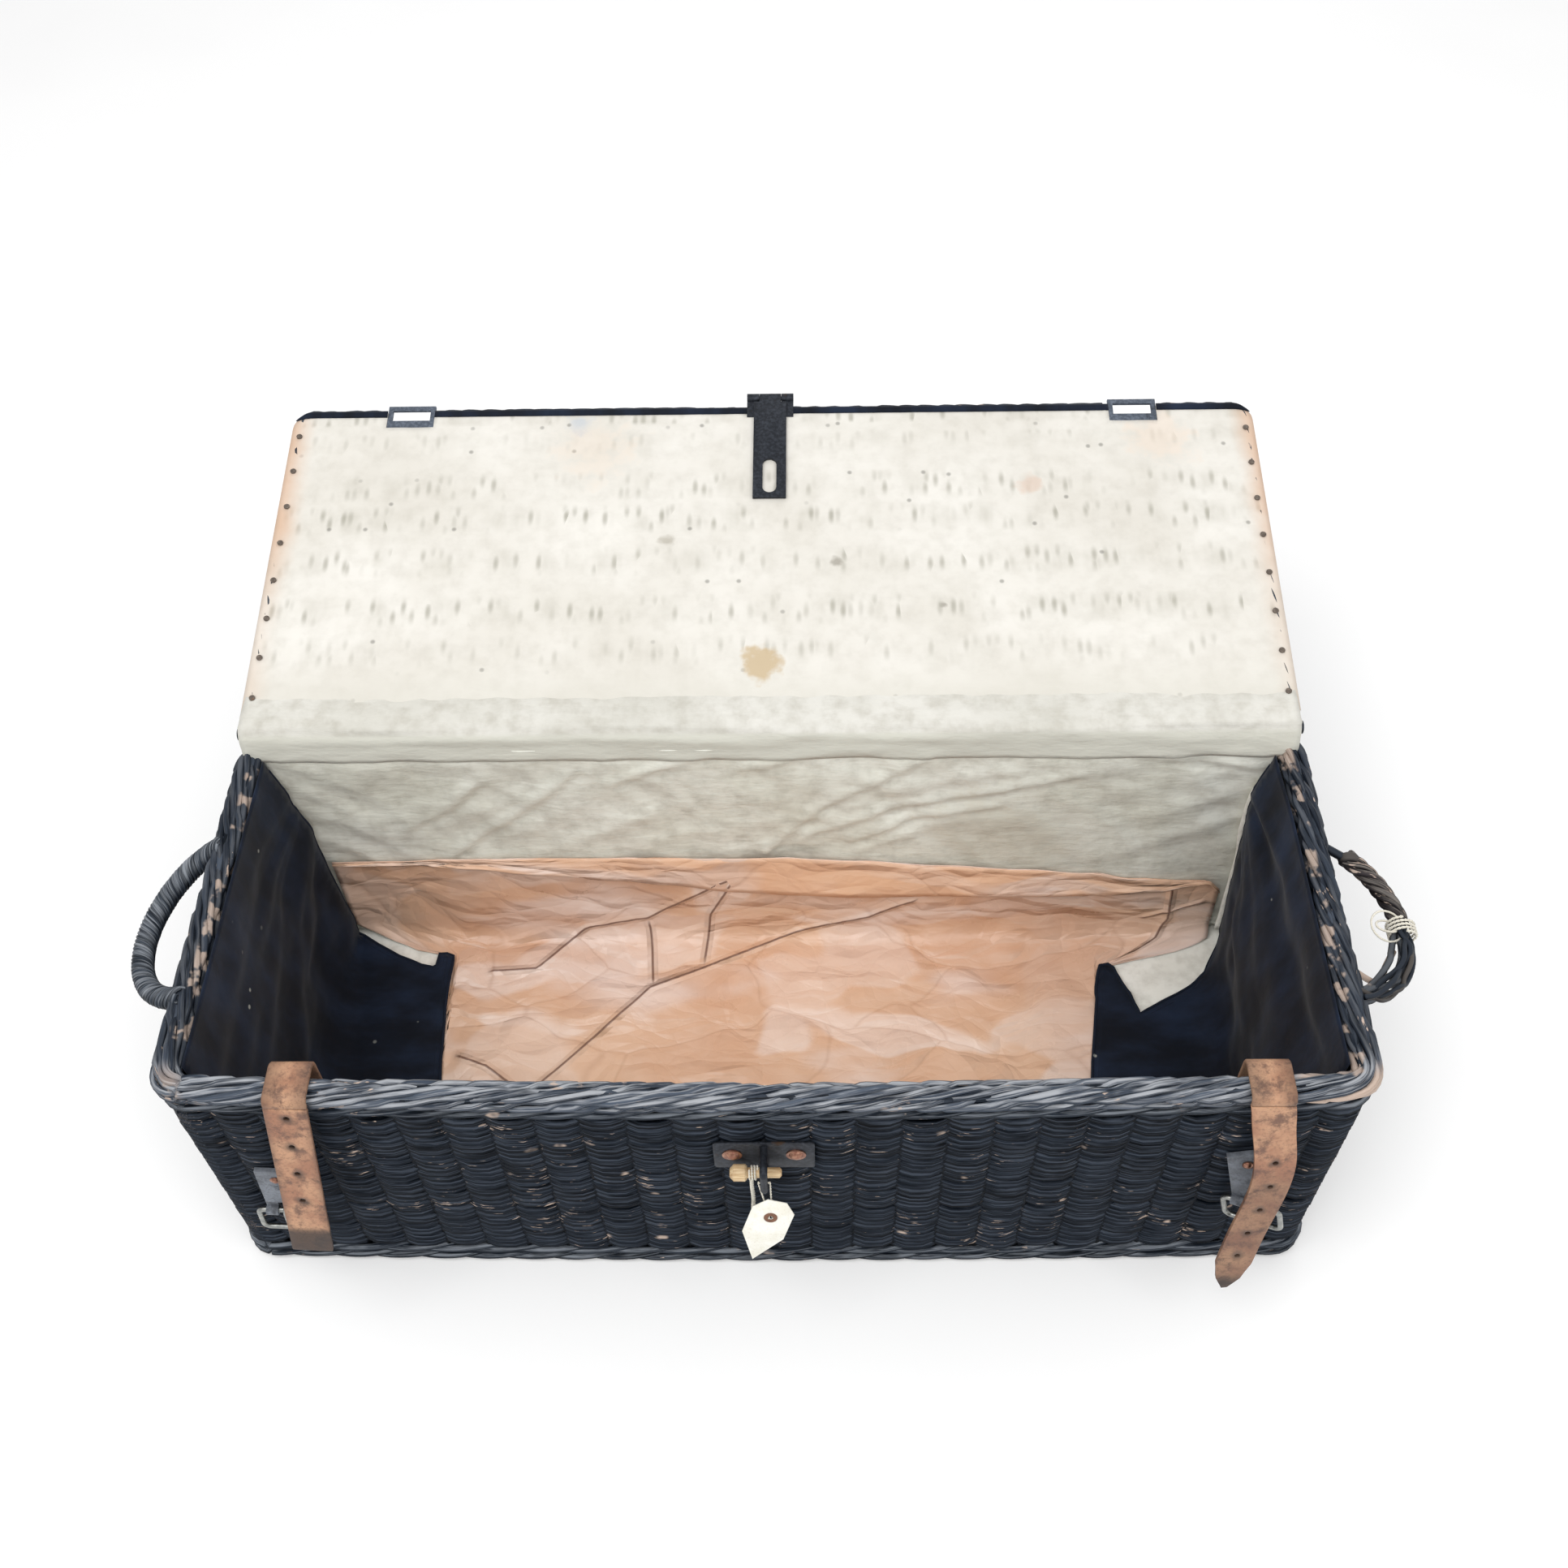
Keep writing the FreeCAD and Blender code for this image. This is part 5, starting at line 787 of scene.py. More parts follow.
def uprightStakes(name, radius, low, high):  # stakes inside the weave, two together at the corners
    path = ring(basket["halfLength"], basket["halfDepth"], basket["corner"], basket["bow"], 0.0, 2.0)
    count = basket["stakes"]
    sides = 8
    points, faces = [], []
    lengths = [0.0]
    for a, b in zip(path, path[1:] + path[:1]):
        lengths.append(lengths[-1] + (b - a).length)
    for stake in range(count):
        want = lengths[-1] * (stake + 0.5) / count
        index = next(i for i in range(len(path)) if lengths[i + 1] >= want)
        a, b = path[index], path[(index + 1) % len(path)]
        spot = a.lerp(b, (want - lengths[index]) / max(1e-9, lengths[index + 1] - lengths[index]))
        first = len(points)
        for height in (low, high):
            for side in range(sides):
                angle = side * 2 * math.pi / sides
                points.append(spot + Vector((radius * math.cos(angle), radius * math.sin(angle),
                                             height)) * mm)
        for side in range(sides):
            after = (side + 1) % sides
            faces.append((first + side, first + after, first + sides + after, first + sides + side))
        faces.append(tuple(first + sides - 1 - side for side in range(sides)))
        faces.append(tuple(first + sides + side for side in range(sides)))
    return meshPiece(name, points, faces, wallWillow)


stakes = uprightStakes("wallStakes", basket["stakeRadius"], basket["stakeLow"], basket["stakeHigh"])
print("woven walls made")


# Rolled borders: many strands laid round a core, at the rim and at the foot

rim = {"halfLength": 438.0, "halfDepth": 161.0, "corner": 17.0, "bow": 8.0, "height": 279.0, "strands": 11,
       "strand": 5.4, "wide": 9.0, "high": 8.0, "twist": 285.0, "loose": 0.22, "dip": 0.42, "dipLength": 60.0}


def ropeRing(name, shape, seed, sides=7, material=None, points=620):
    path = ring(shape["halfLength"], shape["halfDepth"], shape["corner"], shape["bow"], shape["height"])
    length = sum((b - a).length for a, b in zip(path, path[1:] + path[:1]))
    turns = round(length / (shape["twist"] * mm) * shape["strands"]) / shape["strands"]
    return useTree(pathPiece(name + "Path", path, True), ropeTree,
                   {"Points": points, "Strands": shape["strands"], "Strand": shape["strand"] * mm,
                    "Wide": shape["wide"] * mm, "High": shape["high"] * mm, "Turns": turns,
                    "Looseness": shape["loose"], "Thick Share": 0.3, "Dip": shape["dip"],
                    "Dip Length": shape["dipLength"] * mm, "Up": (0.0, 0.0, 1.0), "Sides": sides,
                    "Seed": seed, "Material": material or borderWillow}, name)


rimRope = ropeRing("rimBorder", rim, 21)
foot = {"halfLength": 438.5, "halfDepth": 161.5, "corner": 16.0, "bow": 5.0, "height": 6.5, "strands": 5,
        "strand": 6.2, "wide": 7.8, "high": 2.6, "twist": 185.0, "loose": 0.2, "dip": 0.0, "dipLength": 50.0}
footLow = ropeRing("footBorderLow", foot, 31, 7, footWillow, 520)
footHigh = ropeRing("footBorderHigh", dict(foot, height=19.0, twist=195.0, wide=7.6, high=2.8), 32, 7,
                    footWillow, 520)
footCore = ropeRing("footBorderCore", dict(foot, height=13.0, strands=2, strand=9.0, wide=4.0, high=4.0,
                                           twist=400.0), 33, 6, wallWillow, 200)
rimCore = ropeRing("rimBorderCore", dict(rim, strands=3, strand=10.0, wide=3.6, high=3.0, twist=500.0,
                                         loose=0.05, dip=0.0), 34, 6, wallWillow, 200)
wale = ropeRing("waleUnderRim", dict(foot, height=262.5, bow=8.0, strands=5, strand=5.6, wide=6.2, high=2.6,
                                     twist=170.0), 35, 7, footWillow, 520)
print("borders made")


# General cloth and leather pieces from a flat outline

def insideOutline(point, outline):
    x, y = point
    inside = False
    for (ax, ay), (bx, by) in zip(outline, outline[1:] + outline[:1]):
        if (ay > y) != (by > y) and x < (bx - ax) * (y - ay) / (by - ay) + ax:
            inside = not inside
    return inside


def splitOutline(outline, step):
    points = []
    for (ax, ay), (bx, by) in zip(outline, outline[1:] + outline[:1]):
        count = max(1, round(math.hypot(bx - ax, by - ay) / step))
        points += [(ax + (bx - ax) * i / count, ay + (by - ay) * i / count) for i in range(count)]
    return points


def cutPiece(name, outline, placeOf, material, step, thickness, holes=(), edgeDark=None, bevel=0.0):
    edge = splitOutline(outline, step)
    loops = [edge]
    for x, y, radius in holes:
        loops.append([(x + radius * math.cos(a * math.pi / 6), y + radius * math.sin(a * math.pi / 6))
                      for a in range(12)])
    flat = []
    links = []
    for loop in loops:
        first = len(flat)
        flat += loop
        links += [(first + i, first + (i + 1) % len(loop)) for i in range(len(loop))]
    lowX, highX = min(x for x, y in edge), max(x for x, y in edge)
    lowY, highY = min(y for x, y in edge), max(y for x, y in edge)
    rowsY = max(2, round((highY - lowY) / (step * 0.87)))
    edgeGrid = {}
    for x, y in flat:
        edgeGrid.setdefault((int(x // step), int(y // step)), []).append((x, y))
    for j in range(1, rowsY):
        y = lowY + (highY - lowY) * j / rowsY
        x = lowX + step * (0.5 if j % 2 else 0.0)
        while x < highX:
            x += step
            if not insideOutline((x, y), edge):
                continue
            if any(math.hypot(x - hx, y - hy) < hr + step * 0.4 for hx, hy, hr in holes):
                continue
            near = any(math.hypot(x - ex, y - ey) < step * 0.55
                       for i in (-1, 0, 1) for k in (-1, 0, 1)
                       for ex, ey in edgeGrid.get((int(x // step) + i, int(y // step) + k), ()))
            if not near:
                flat.append((x, y))
    made = geometry.delaunay_2d_cdt([Vector(p) for p in flat], links, [], 0, 1e-6)
    flat, faces = made[0], made[2]
    kept = []
    for face in faces:
        middle = (sum(flat[i][0] for i in face) / 3, sum(flat[i][1] for i in face) / 3)
        if not insideOutline(middle, edge):
            continue
        if any(math.hypot(middle[0] - hx, middle[1] - hy) < hr * 0.95 for hx, hy, hr in holes):
            continue
        kept.append(tuple(face))
    points = [placeOf(p[0], p[1]) for p in flat]
    piece = meshPiece(name, points, kept, material, [(p[0] * mm, p[1] * mm) for p in flat])
    if edgeDark:
        layer = piece.data.attributes.new("edgeDark", "FLOAT", "POINT")
        for i, p in enumerate(flat):
            rubbed = max((smoothStep(hr + 3.0, hr, math.hypot(p[0] - hx, p[1] - hy)) for hx, hy, hr in holes),
                         default=0.0)
            layer.data[i].value = max(edgeDark(p[0], p[1]), rubbed * 0.8)
    return thicken(piece, thickness, bevel)


def thicken(piece, thickness, bevel=0.0):
    shell = piece.modifiers.new("thickness", "SOLIDIFY")
    shell.thickness = thickness * mm
    shell.offset = -1
    if bevel:
        edge = piece.modifiers.new("edge", "BEVEL")
        edge.width = bevel * mm
        edge.segments = 2
        edge.limit_method = "ANGLE"
        edge.angle_limit = math.radians(50)
    return bake(piece)


def gridPiece(name, us, vs, placeOf, material, thickness, skip=None, marksOf=None):
    points, faces, uv = [], [], []
    for v in vs:
        for u in us:
            points.append(placeOf(u, v))
            uv.append((u * mm, v * mm))
    wide = len(us)
    for j in range(len(vs) - 1):
        for i in range(wide - 1):
            middle = ((us[i] + us[i + 1]) / 2, (vs[j] + vs[j + 1]) / 2)
            if skip and skip(*middle):
                continue
            first = j * wide + i
            faces.append((first, first + 1, first + wide + 1, first + wide))
    piece = meshPiece(name, points, faces, material, uv)
    for index, line in enumerate(marksOf or ()):
        layer = piece.data.attributes.new(f"crease{index}", "FLOAT_VECTOR", "POINT")
        for vertex, (u, v) in enumerate(uv):
            layer.data[vertex].vector = (*beside(line, u / mm, v / mm), 0.0)
    loose = bmesh.new()
    loose.from_mesh(piece.data)
    bmesh.ops.delete(loose, geom=[v for v in loose.verts if not v.link_faces], context="VERTS")
    loose.to_mesh(piece.data)
    loose.free()
    return thicken(piece, thickness) if thickness else piece


def beside(line, u, v):  # signed distance from a line in millimetres, and how far from its ends as a share
    best, run = (1e9, 0.0, 0.0), 0.0
    whole = sum(math.hypot(bx - ax, by - ay) for (ax, ay), (bx, by) in zip(line, line[1:]))
    for (ax, ay), (bx, by) in zip(line, line[1:]):
        size = math.hypot(bx - ax, by - ay)
        t = max(0.0, min(1.0, ((u - ax) * (bx - ax) + (v - ay) * (by - ay)) / size ** 2))
        away = math.hypot(u - ax - (bx - ax) * t, v - ay - (by - ay) * t)
        if away < best[0]:
            side = (bx - ax) * (v - ay) - (by - ay) * (u - ax)
            best = (away, math.copysign(away, side), run + t * size)
        run += size
    return best[1], smoothStep(0, 6, best[2]) * smoothStep(0, 6, whole - best[2])


def steps(low, high, step, extra=()):
    count = max(1, round((high - low) / step))
    values = {round(low + (high - low) * i / count, 3)
              for i in range(count + 1)} | {round(e, 3) for e in extra}
    values = sorted(v for v in values if low <= v <= high)
    kept = [values[0]]
    for v in values[1:]:
        if v - kept[-1] > step * 0.3 or v in extra:
            kept.append(v)
    return kept


def tubeAlong(name, points, radius, material, sides=8, closed=False, flatten=1.0):
    verts, faces = [], []
    count = len(points)
    normal = None
    for i, point in enumerate(points):
        before = points[(i - 1) % count] if closed or i else points[0]
        after = points[(i + 1) % count] if closed or i < count - 1 else points[-1]
        tangent = (after - before).normalized()
        if normal is None:
            normal = tangent.orthogonal().normalized()
        normal = (normal - tangent * normal.dot(tangent)).normalized()
        side = tangent.cross(normal)
        reach = radius(i / max(1, count - 1)) if callable(radius) else radius
        for k in range(sides):
            angle = 2 * math.pi * k / sides
            verts.append(point + (normal * math.cos(angle) + side * math.sin(angle) * flatten) * reach * mm)
    rings = count if closed else count - 1
    for i in range(rings):
        for k in range(sides):
            a, b = i * sides + k, i * sides + (k + 1) % sides
            c, d = ((i + 1) % count) * sides + (k + 1) % sides, ((i + 1) % count) * sides + k
            faces.append((a, b, c, d))
    if not closed:
        faces.append(tuple(range(sides))[::-1])
        faces.append(tuple(range((count - 1) * sides, count * sides)))
    return meshPiece(name, verts, faces, material)


def smoothLine(points, count):  # soft line through points
    line = []
    last = len(points) - 1
    for i in range(count + 1):
        t = last * i / count
        k = min(last - 1, int(t))
        f = t - k
        p0, p1 = points[max(0, k - 1)], points[k]
        p2, p3 = points[k + 1], points[min(last, k + 2)]
        line.append(0.5 * ((2 * p1) + (p2 - p0) * f + (2 * p0 - 5 * p1 + 4 * p2 - p3) * f * f
                           + (3 * p1 - p0 - 3 * p2 + p3) * f ** 3))
    return line


def ropeAlong(name, points, strands, strand, reach, turns, up, material, seed, loose=0.1, count=None, sides=7,
              wide=None, dip=0.0):
    return useTree(pathPiece(name + "Path", points), ropeTree,
                   {"Points": count or max(12, len(points)), "Strands": strands, "Strand": strand * mm,
                    "Wide": (wide or reach) * mm, "High": reach * mm, "Turns": turns, "Looseness": loose,
                    "Thick Share": 0.25, "Dip": dip, "Dip Length": 50 * mm, "Up": up, "Sides": sides,
                    "Seed": seed, "Material": material}, name)


def moved(piece, placeOf):  # every point of a finished mesh through a function, millimetres in
    for vertex in piece.data.vertices:
        vertex.co = placeOf(vertex.co / mm)
    piece.data.update()
    return piece


# Handles: the left one keeps its twist, the right one has come apart in front of its tie

handles = {"ring": 71.24, "inset": 21.24, "edge": 450.0, "height": 277.0, "shift": -15.0, "left": 30.0,
           "right": 20.0, "swayPitch": 34, "sway": 8.0, "looseShare": 0.86}
leftRope = {"ends": 84, "strands": 7, "strand": 3.9, "reach": 6.9, "turns": 8.5, "loose": 0.09, "points": 240,
            "core": 5.4}
rightRope = {"first": 2, "last": 60, "strands": 5, "strand": 5.6, "reach": 4.9, "turns": 1.5, "loose": 0.35,
             "points": 60, "core": 3.6, "rootFirst": 52, "rootLast": 84}


def handlePath(side, droop, first, last, count, spread=0.0, sink=0.0):
    points = []
    lean = math.radians(droop)
    for i in range(count + 1):
        t = i / count
        angle = math.radians(first + (last - first) * t)
        bulge = math.sin(math.pi * t)
        out = (handles["ring"] + spread * bulge) * math.cos(angle) - handles["inset"]
        points.append(Vector((side * (handles["edge"] + out * math.cos(lean)),
                              handles["shift"] + (handles["ring"] + spread * bulge) * math.sin(angle),
                              handles["height"] - out * math.sin(lean) - sink * bulge)) * mm)
    return points


leftPath = handlePath(-1, handles["left"], -leftRope["ends"], leftRope["ends"], 90)
leftStrands = ropeAlong("leftRope", leftPath, leftRope["strands"], leftRope["strand"], leftRope["reach"],
                        leftRope["turns"], (0.3, 0, 1), handleWillow, 41, leftRope["loose"],
                        leftRope["points"], 7)
leftHandle = join("leftHandleRope", [leftStrands,
                                     tubeAlong("leftCore", leftPath, leftRope["core"], wallWillow)])
rightBack = handlePath(1, handles["right"], rightRope["first"], rightRope["last"], 40)
rightRoot = handlePath(1, handles["right"], rightRope["rootFirst"], rightRope["rootLast"], 20, -2.0)
rightParts = [ropeAlong("rightRope", rightBack, rightRope["strands"], rightRope["strand"], rightRope["reach"],
                        rightRope["turns"], (-0.3, 0, 1), looseWillow, 42, rightRope["loose"],
                        rightRope["points"]),
              tubeAlong("rightCore", rightBack, rightRope["core"], looseWillow),
              tubeAlong("rightRoot", rightRoot, rightRope["core"], wallWillow)]
# spread, sag and radius of each loose rod
looseRods = ((3.0, 2.0, 3.2), (-5.0, -4.0, 2.8), (8.0, 5.0, 2.4), (-10.0, 1.0, 3.0), (1.0, -7.0, 2.6),
             (5.0, -3.0, 2.4), (-3.0, 6.0, 2.6), (10.0, -1.0, 2.2))
for index, (spread, sink, radius) in enumerate(looseRods):
    line = handlePath(1, handles["right"], 12, -80, 40, spread, sink)
    for spot, point in enumerate(line):
        pitched = point * handles["swayPitch"]
        shifts = ((index * 9, 0, 0), (0, index * 7, 3), (5, 0, index * 5))
        drift = [noise.noise(pitched + Vector(shift)) for shift in shifts]
        line[spot] = point + Vector(drift) * handles["sway"] * mm
    rightParts.append(tubeAlong(f"looseRod{index}", line, radius * handles["looseShare"],
                                (handleWillow, wallWillow, looseWillow)[index % 3]))
knot = {"angle": 58, "wide": 5.5, "high": 5.0, "half": 2.4, "radius": 3.0, "steps": 16, "turns": 2}
knotSpot = handlePath(1, handles["right"], knot["angle"], knot["angle"], 1)[0]
knotLine = []
for i in range(knot["turns"] * knot["steps"] + 1):
    angle = i * 2 * math.pi / knot["steps"]
    knotLine.append(knotSpot + Vector((knot["wide"] * math.cos(angle), knot["half"] * (i / knot["steps"] - 1),
                                       knot["high"] * math.sin(angle))) * mm)
rightParts.append(tubeAlong("rightKnot", knotLine, knot["radius"], looseWillow))
spot = handlePath(1, handles["right"], -16, -16, 1)[0]
tanLine = smoothLine([spot + Vector((-7, 2, -3)) * mm, spot + Vector((-16, -12, -3)) * mm,
                      spot + Vector((-26, -28, -1)) * mm, Vector((447, -62, 276)) * mm], 16)
rightParts.append(tubeAlong("tanRod", tanLine, 2.6, bareWillow))
rightHandle = join("rightHandleRope", rightParts)
for piece, node in ((leftHandle, "handle_left"), (rightHandle, "handle_right")):
    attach(piece, "trunk")
    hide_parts(node)


def woundString(name, centre, axis, side, radius, pitch, turns, string, seed, material, plies=2):
    third = axis.cross(side)
    stepsPerTurn = 20
    count = turns * stepsPerTurn
    line = []
    for i in range(count + 1):
        angle = i * 2 * math.pi / stepsPerTurn
        line.append(centre + (side * math.cos(angle) + third * math.sin(angle)) * radius * mm
                    + axis * (pitch * (i / stepsPerTurn - turns / 2)) * mm)
    return ropeAlong(name, line, plies, string * 0.56, string * 0.26,
                     turns * 2 * math.pi * radius / (string * 2.6), tuple(axis), material, seed, 0.03,
                     count * 2, 6)


tie = {"out": 50, "radius": 10.4, "pitch": 3.3, "turns": 4, "string": 2.4, "loop": (-12, 1, 5),
       "loopRadius": 0.9}
tieLean = math.radians(handles["right"])
tieSpot = Vector((handles["edge"] + tie["out"] * math.cos(tieLean), handles["shift"],
                  handles["height"] - tie["out"] * math.sin(tieLean))) * mm
handleTie = woundString("handleTie", tieSpot, Vector((0, 1, 0)), Vector((0, 0, 1)), tie["radius"],
                        tie["pitch"], tie["turns"], tie["string"], 43, stringWhite)
loopMiddle = tieSpot + Vector(tie["loop"]) * mm
tieLoops = [handleTie]
# loose ends of the string, knotted back on themselves
for index, (reach, lean) in enumerate(((13.0, 0.5), (9.0, -0.3))):
    loopLine = [loopMiddle + Vector((reach * math.cos(a * math.pi / 12),
                                     reach * (0.8 + lean * 0.3) * math.sin(a * math.pi / 12),
                                     lean * 6 * math.sin(a * math.pi / 12)
                                     - reach * 0.2 * math.cos(a * math.pi / 12))) * mm for a in range(1, 24)]
    tieLoops.append(tubeAlong(f"tieLoop{index}", loopLine, tie["loopRadius"], stringWhite, 6))
handleTie = join("handleTie", tieLoops)
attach(handleTie, "trunk")
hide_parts("handle_tie")

for piece, nodes in ((bands[0], ("wall_front", "corner_post_front_left", "corner_post_front_right")),
                     (bands[1], ("wall_back", "corner_post_back_left", "corner_post_back_right")),
                     (bands[2], ("wall_left", "wall_right")), (rimRope, ("border_front", "border_back")),
                     (join("rimBorderInner", [rimCore, wale]), ("border_left", "border_right"))):
    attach(piece, "trunk")
    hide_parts(*nodes)
footRope = join("footBorderRope", [footLow, footHigh, footCore])
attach(footRope, "trunk")
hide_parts("foot_border")
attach(stakes, "trunk")
print("handles made")


# Base and lid: the same weave laid flat

weaveSet = {"stakeStep": 33.97, "uneven": 1.2, "row": 3.7, "sway": 4.0}
baseMat = {"half": 424.5, "front": -148.0, "back": 150.0, "level": 9.0, "rod": 6.0, "stakeRadius": 3.0,
           "gap": 3}
lidMat = {"half": 429.0, "near": 12.3, "frontRows": 318.0, "far": 335.0, "rod": 5.8, "level": -3.8,
          "start": 14.3, "stakeHalf": 424.5, "stakeNear": 14, "stakeFar": 336, "stakeRadius": 2.9,
          "stakeShort": 319}
# the two openings for the strap loops in the lid's front edge
notch = {"place": 334.0, "half": 22.0, "low": 322.0, "hasp": 330, "haspHalf": 21.5}


def flatWeave(name, halfLength, low, high, rod, seed, placeOf):
    rows = int((high - low) / weaveSet["row"])
    count = round(halfLength * 2 / weaveSet["stakeStep"])
    path = [Vector((-halfLength, 0, 0)) * mm, Vector((halfLength, 0, 0)) * mm]
    made = useTree(pathPiece(name + "Path", path), weaveTree, {
        "Points": count * 5 + 1, "Rows": rows, "Row Height": weaveSet["row"] * mm, "Rod": rod * mm,
        "Sway": weaveSet["sway"] * mm, "Stakes": float(count), "Stakes Per Wave": 2.0, "Rows Together": 1.0,
        "Unevenness": weaveSet["uneven"] * mm, "Sides": 6, "Seed": seed, "Material": wallWillow}, name)
    return moved(made, placeOf), count


def flatStakes(name, halfLength, count, low, highest, radius, placeOf, notched=False):
    sticks = []
    for index in range(count):
        x = -halfLength + halfLength * 2 * (index + 0.5) / count
        short = notched and abs(abs(x) - notch["place"]) < notch["half"] + 3
        high = min(highest, lidMat["stakeShort"]) if short else highest
        sticks.append(tubeAlong(f"{name}{index}",
                                [Vector((x, low, 0)) * mm, Vector((x, (low + high) / 2, 0)) * mm,
                                 Vector((x, high, 0)) * mm], radius, wallWillow, 6))
    return moved(join(name, sticks), placeOf)


baseWeave, baseCount = flatWeave(
    "wovenBase", baseMat["half"], baseMat["front"], baseMat["back"], baseMat["rod"], 51,
    lambda p: Vector((p.x, baseMat["front"] + p.z + baseMat["gap"], baseMat["level"] + p.y)) * mm)
baseStakes = flatStakes("baseStakes", baseMat["half"], baseCount, -150, 150, baseMat["stakeRadius"],
                        lambda p: Vector((p.x, p.y, baseMat["level"] + p.z)) * mm)
base = join("wovenBaseWhole", [baseWeave, baseStakes])
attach(base, "trunk")
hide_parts("base_panel")
lidWeave, lidCount = flatWeave("wovenLid", lidMat["half"], lidMat["near"], lidMat["frontRows"], lidMat["rod"],
                               52, lambda p: onLid(p.x, lidMat["start"] + p.z, lidMat["level"] + p.y))
lidParts = [lidWeave]
# the last rows: left of the two openings, between them and right of them
for index, (middle, half) in enumerate(((-393.0, 36.0), (0.0, 310.5), (393.0, 36.0))):
    frontWeave = flatWeave(f"wovenLidFront{index}", half, lidMat["frontRows"], lidMat["far"], lidMat["rod"],
                           61 + index, lambda p: onLid(p.x + middle, lidMat["frontRows"] + p.z,
                                                       lidMat["level"] + p.y))
    lidParts.append(frontWeave[0])
lidParts.append(flatStakes("lidStakes", lidMat["stakeHalf"], lidCount, lidMat["stakeNear"],
                           lidMat["stakeFar"], lidMat["stakeRadius"],
                           lambda p: onLid(p.x, p.y, lidMat["level"] + p.z), True))
loopLow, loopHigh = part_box("hinge_loops")
loopSpots = [(loopLow[0] + (loopHigh[0] - loopLow[0]) * i / 3) / mm for i in range(4)]
wrap = {"inset": 8, "pitch": 13, "away": 7.5, "reach": 9.5, "level": -1.2, "high": 5.2, "radius": 1.5,
        "points": 16}
wraps = []
for index, (low, high) in enumerate(zip(loopSpots, loopSpots[1:])):  # skein that binds the weave to the rod
    reach = high - low - 2 * wrap["inset"]
    count = round(reach / wrap["pitch"]) * wrap["points"]
    wrapLine = []
    for i in range(count + 1):
        angle = i * 2 * math.pi / wrap["points"]
        wrapLine.append(Vector((low + wrap["inset"] + reach * i / count,
                                wrap["away"] + wrap["reach"] * math.cos(angle),
                                wrap["level"] + wrap["high"] * math.sin(angle))) * mm)
    wraps.append(tubeAlong(f"lidWrap{index}", wrapLine, wrap["radius"], wallWillow, 6))
lidParts.append(moved(join("lidWraps", wraps), lambda p: onLid(p.x, p.y, p.z)))
lidWhole = join("wovenLidWhole", lidParts)
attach(lidWhole, "lid")
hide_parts("lid_panel")

lidEdge = {"half": 436.0, "start": 14.0, "far": 340.4, "corner": 12.0, "level": -2.8, "strands": 9,
           "strand": 4.8, "wide": 5.4, "high": 7.9}
corner = lidEdge["corner"]
edgeSteps = {"side": 64, "corner": 8, "front": 160}
sideRun = lidEdge["far"] - corner - lidEdge["start"]
leftSide = [(-lidEdge["half"], lidEdge["start"] + sideRun * i / edgeSteps["side"])
            for i in range(edgeSteps["side"])]
leftCorner = []
for i in range(edgeSteps["corner"] + 1):
    a = math.radians(180 - 90 * i / edgeSteps["corner"])
    leftCorner.append((-lidEdge["half"] + corner + corner * math.cos(a),
                       lidEdge["far"] - corner + corner * math.sin(a)))
frontEdge = [(-lidEdge["half"] + corner + 2 * (lidEdge["half"] - corner) * i / edgeSteps["front"],
              lidEdge["far"]) for i in range(1, edgeSteps["front"])]
edgeLine = leftSide + leftCorner + frontEdge + [(-x, away) for x, away in reversed(leftSide + leftCorner)]
edgeParts = []
for index, (low, high) in enumerate(((-500, -notch["place"] - notch["half"]),
                                     (-notch["place"] + notch["half"], notch["place"] - notch["half"]),
                                     (notch["place"] + notch["half"], 500))):
    part = [Vector((x, y, 0)) * mm for x, y in edgeLine if low <= x <= high]
    length = sum((b - a).length for a, b in zip(part, part[1:]))
    edgeParts.append(ropeAlong(f"lidEdgeRope{index}", part, lidEdge["strands"], lidEdge["strand"],
                               lidEdge["high"], length * 6.0, (0, 0, 1), borderWillow, 53 + index, 0.12,
                               int(length / 0.0036), 7, lidEdge["wide"], 0.25))
lidRope = moved(join("lidEdgeRope", edgeParts), lambda p: onLid(p.x, p.y, lidEdge["level"] + p.z))
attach(lidRope, "lid")
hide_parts("lid_edge_front", "lid_edge_left", "lid_edge_right")
print("lid weave and edges made")


# Linings

def inNotch(x, away):
    if away > notch["low"] and abs(abs(x) - notch["place"]) < notch["half"]:
        return True
    return away > notch["hasp"] and abs(x) < notch["haspHalf"]


lidCloth = {"half": 443.0, "low": 12.5, "far": 340.0, "face": 8.0, "thickness": 1.1}
acrossSteps = steps(-lidCloth["half"], lidCloth["half"], 8.0,
                    (-438, -433, -428, 428, 433, 438, -356, -312, -21.5, 21.5, 312, 356))
awaySteps = steps(lidCloth["low"], lidCloth["far"], 6.0, (322, 330))


def roundCorner(x, away):  # cloth corners drawn in to the lid's rounded front corners
    reach = 18.0
    u = max(0.0, abs(x) - lidCloth["half"] + reach) / reach
    v = max(0.0, away - lidCloth["far"] + reach) / reach
    pulledU, pulledV = u * math.sqrt(1 - v * v / 2), v * math.sqrt(1 - u * u / 2)
    return math.copysign(abs(x) - (u - pulledU) * reach, x), away - (v - pulledV) * reach


def lidClothPlace(x, away):
    wave = (noise.noise(Vector((x * 0.012, away * 0.05, 3.0))) * 0.45
            + noise.noise(Vector((x * 0.05, away * 0.03, 9.0))) * 0.25)
    press = 0.35 * math.cos(2 * math.pi * x / 34.4) * smoothStep(0, 1, 0.5 + wave)
    edge = (smoothStep(lidCloth["half"], lidCloth["half"] - 14, abs(x))
            * smoothStep(lidCloth["far"], lidCloth["far"] - 10, away))
    return onLid(*roundCorner(x, away), lidCloth["face"] - 0.3 + (wave + press) * edge - (1 - edge) * 0.8)


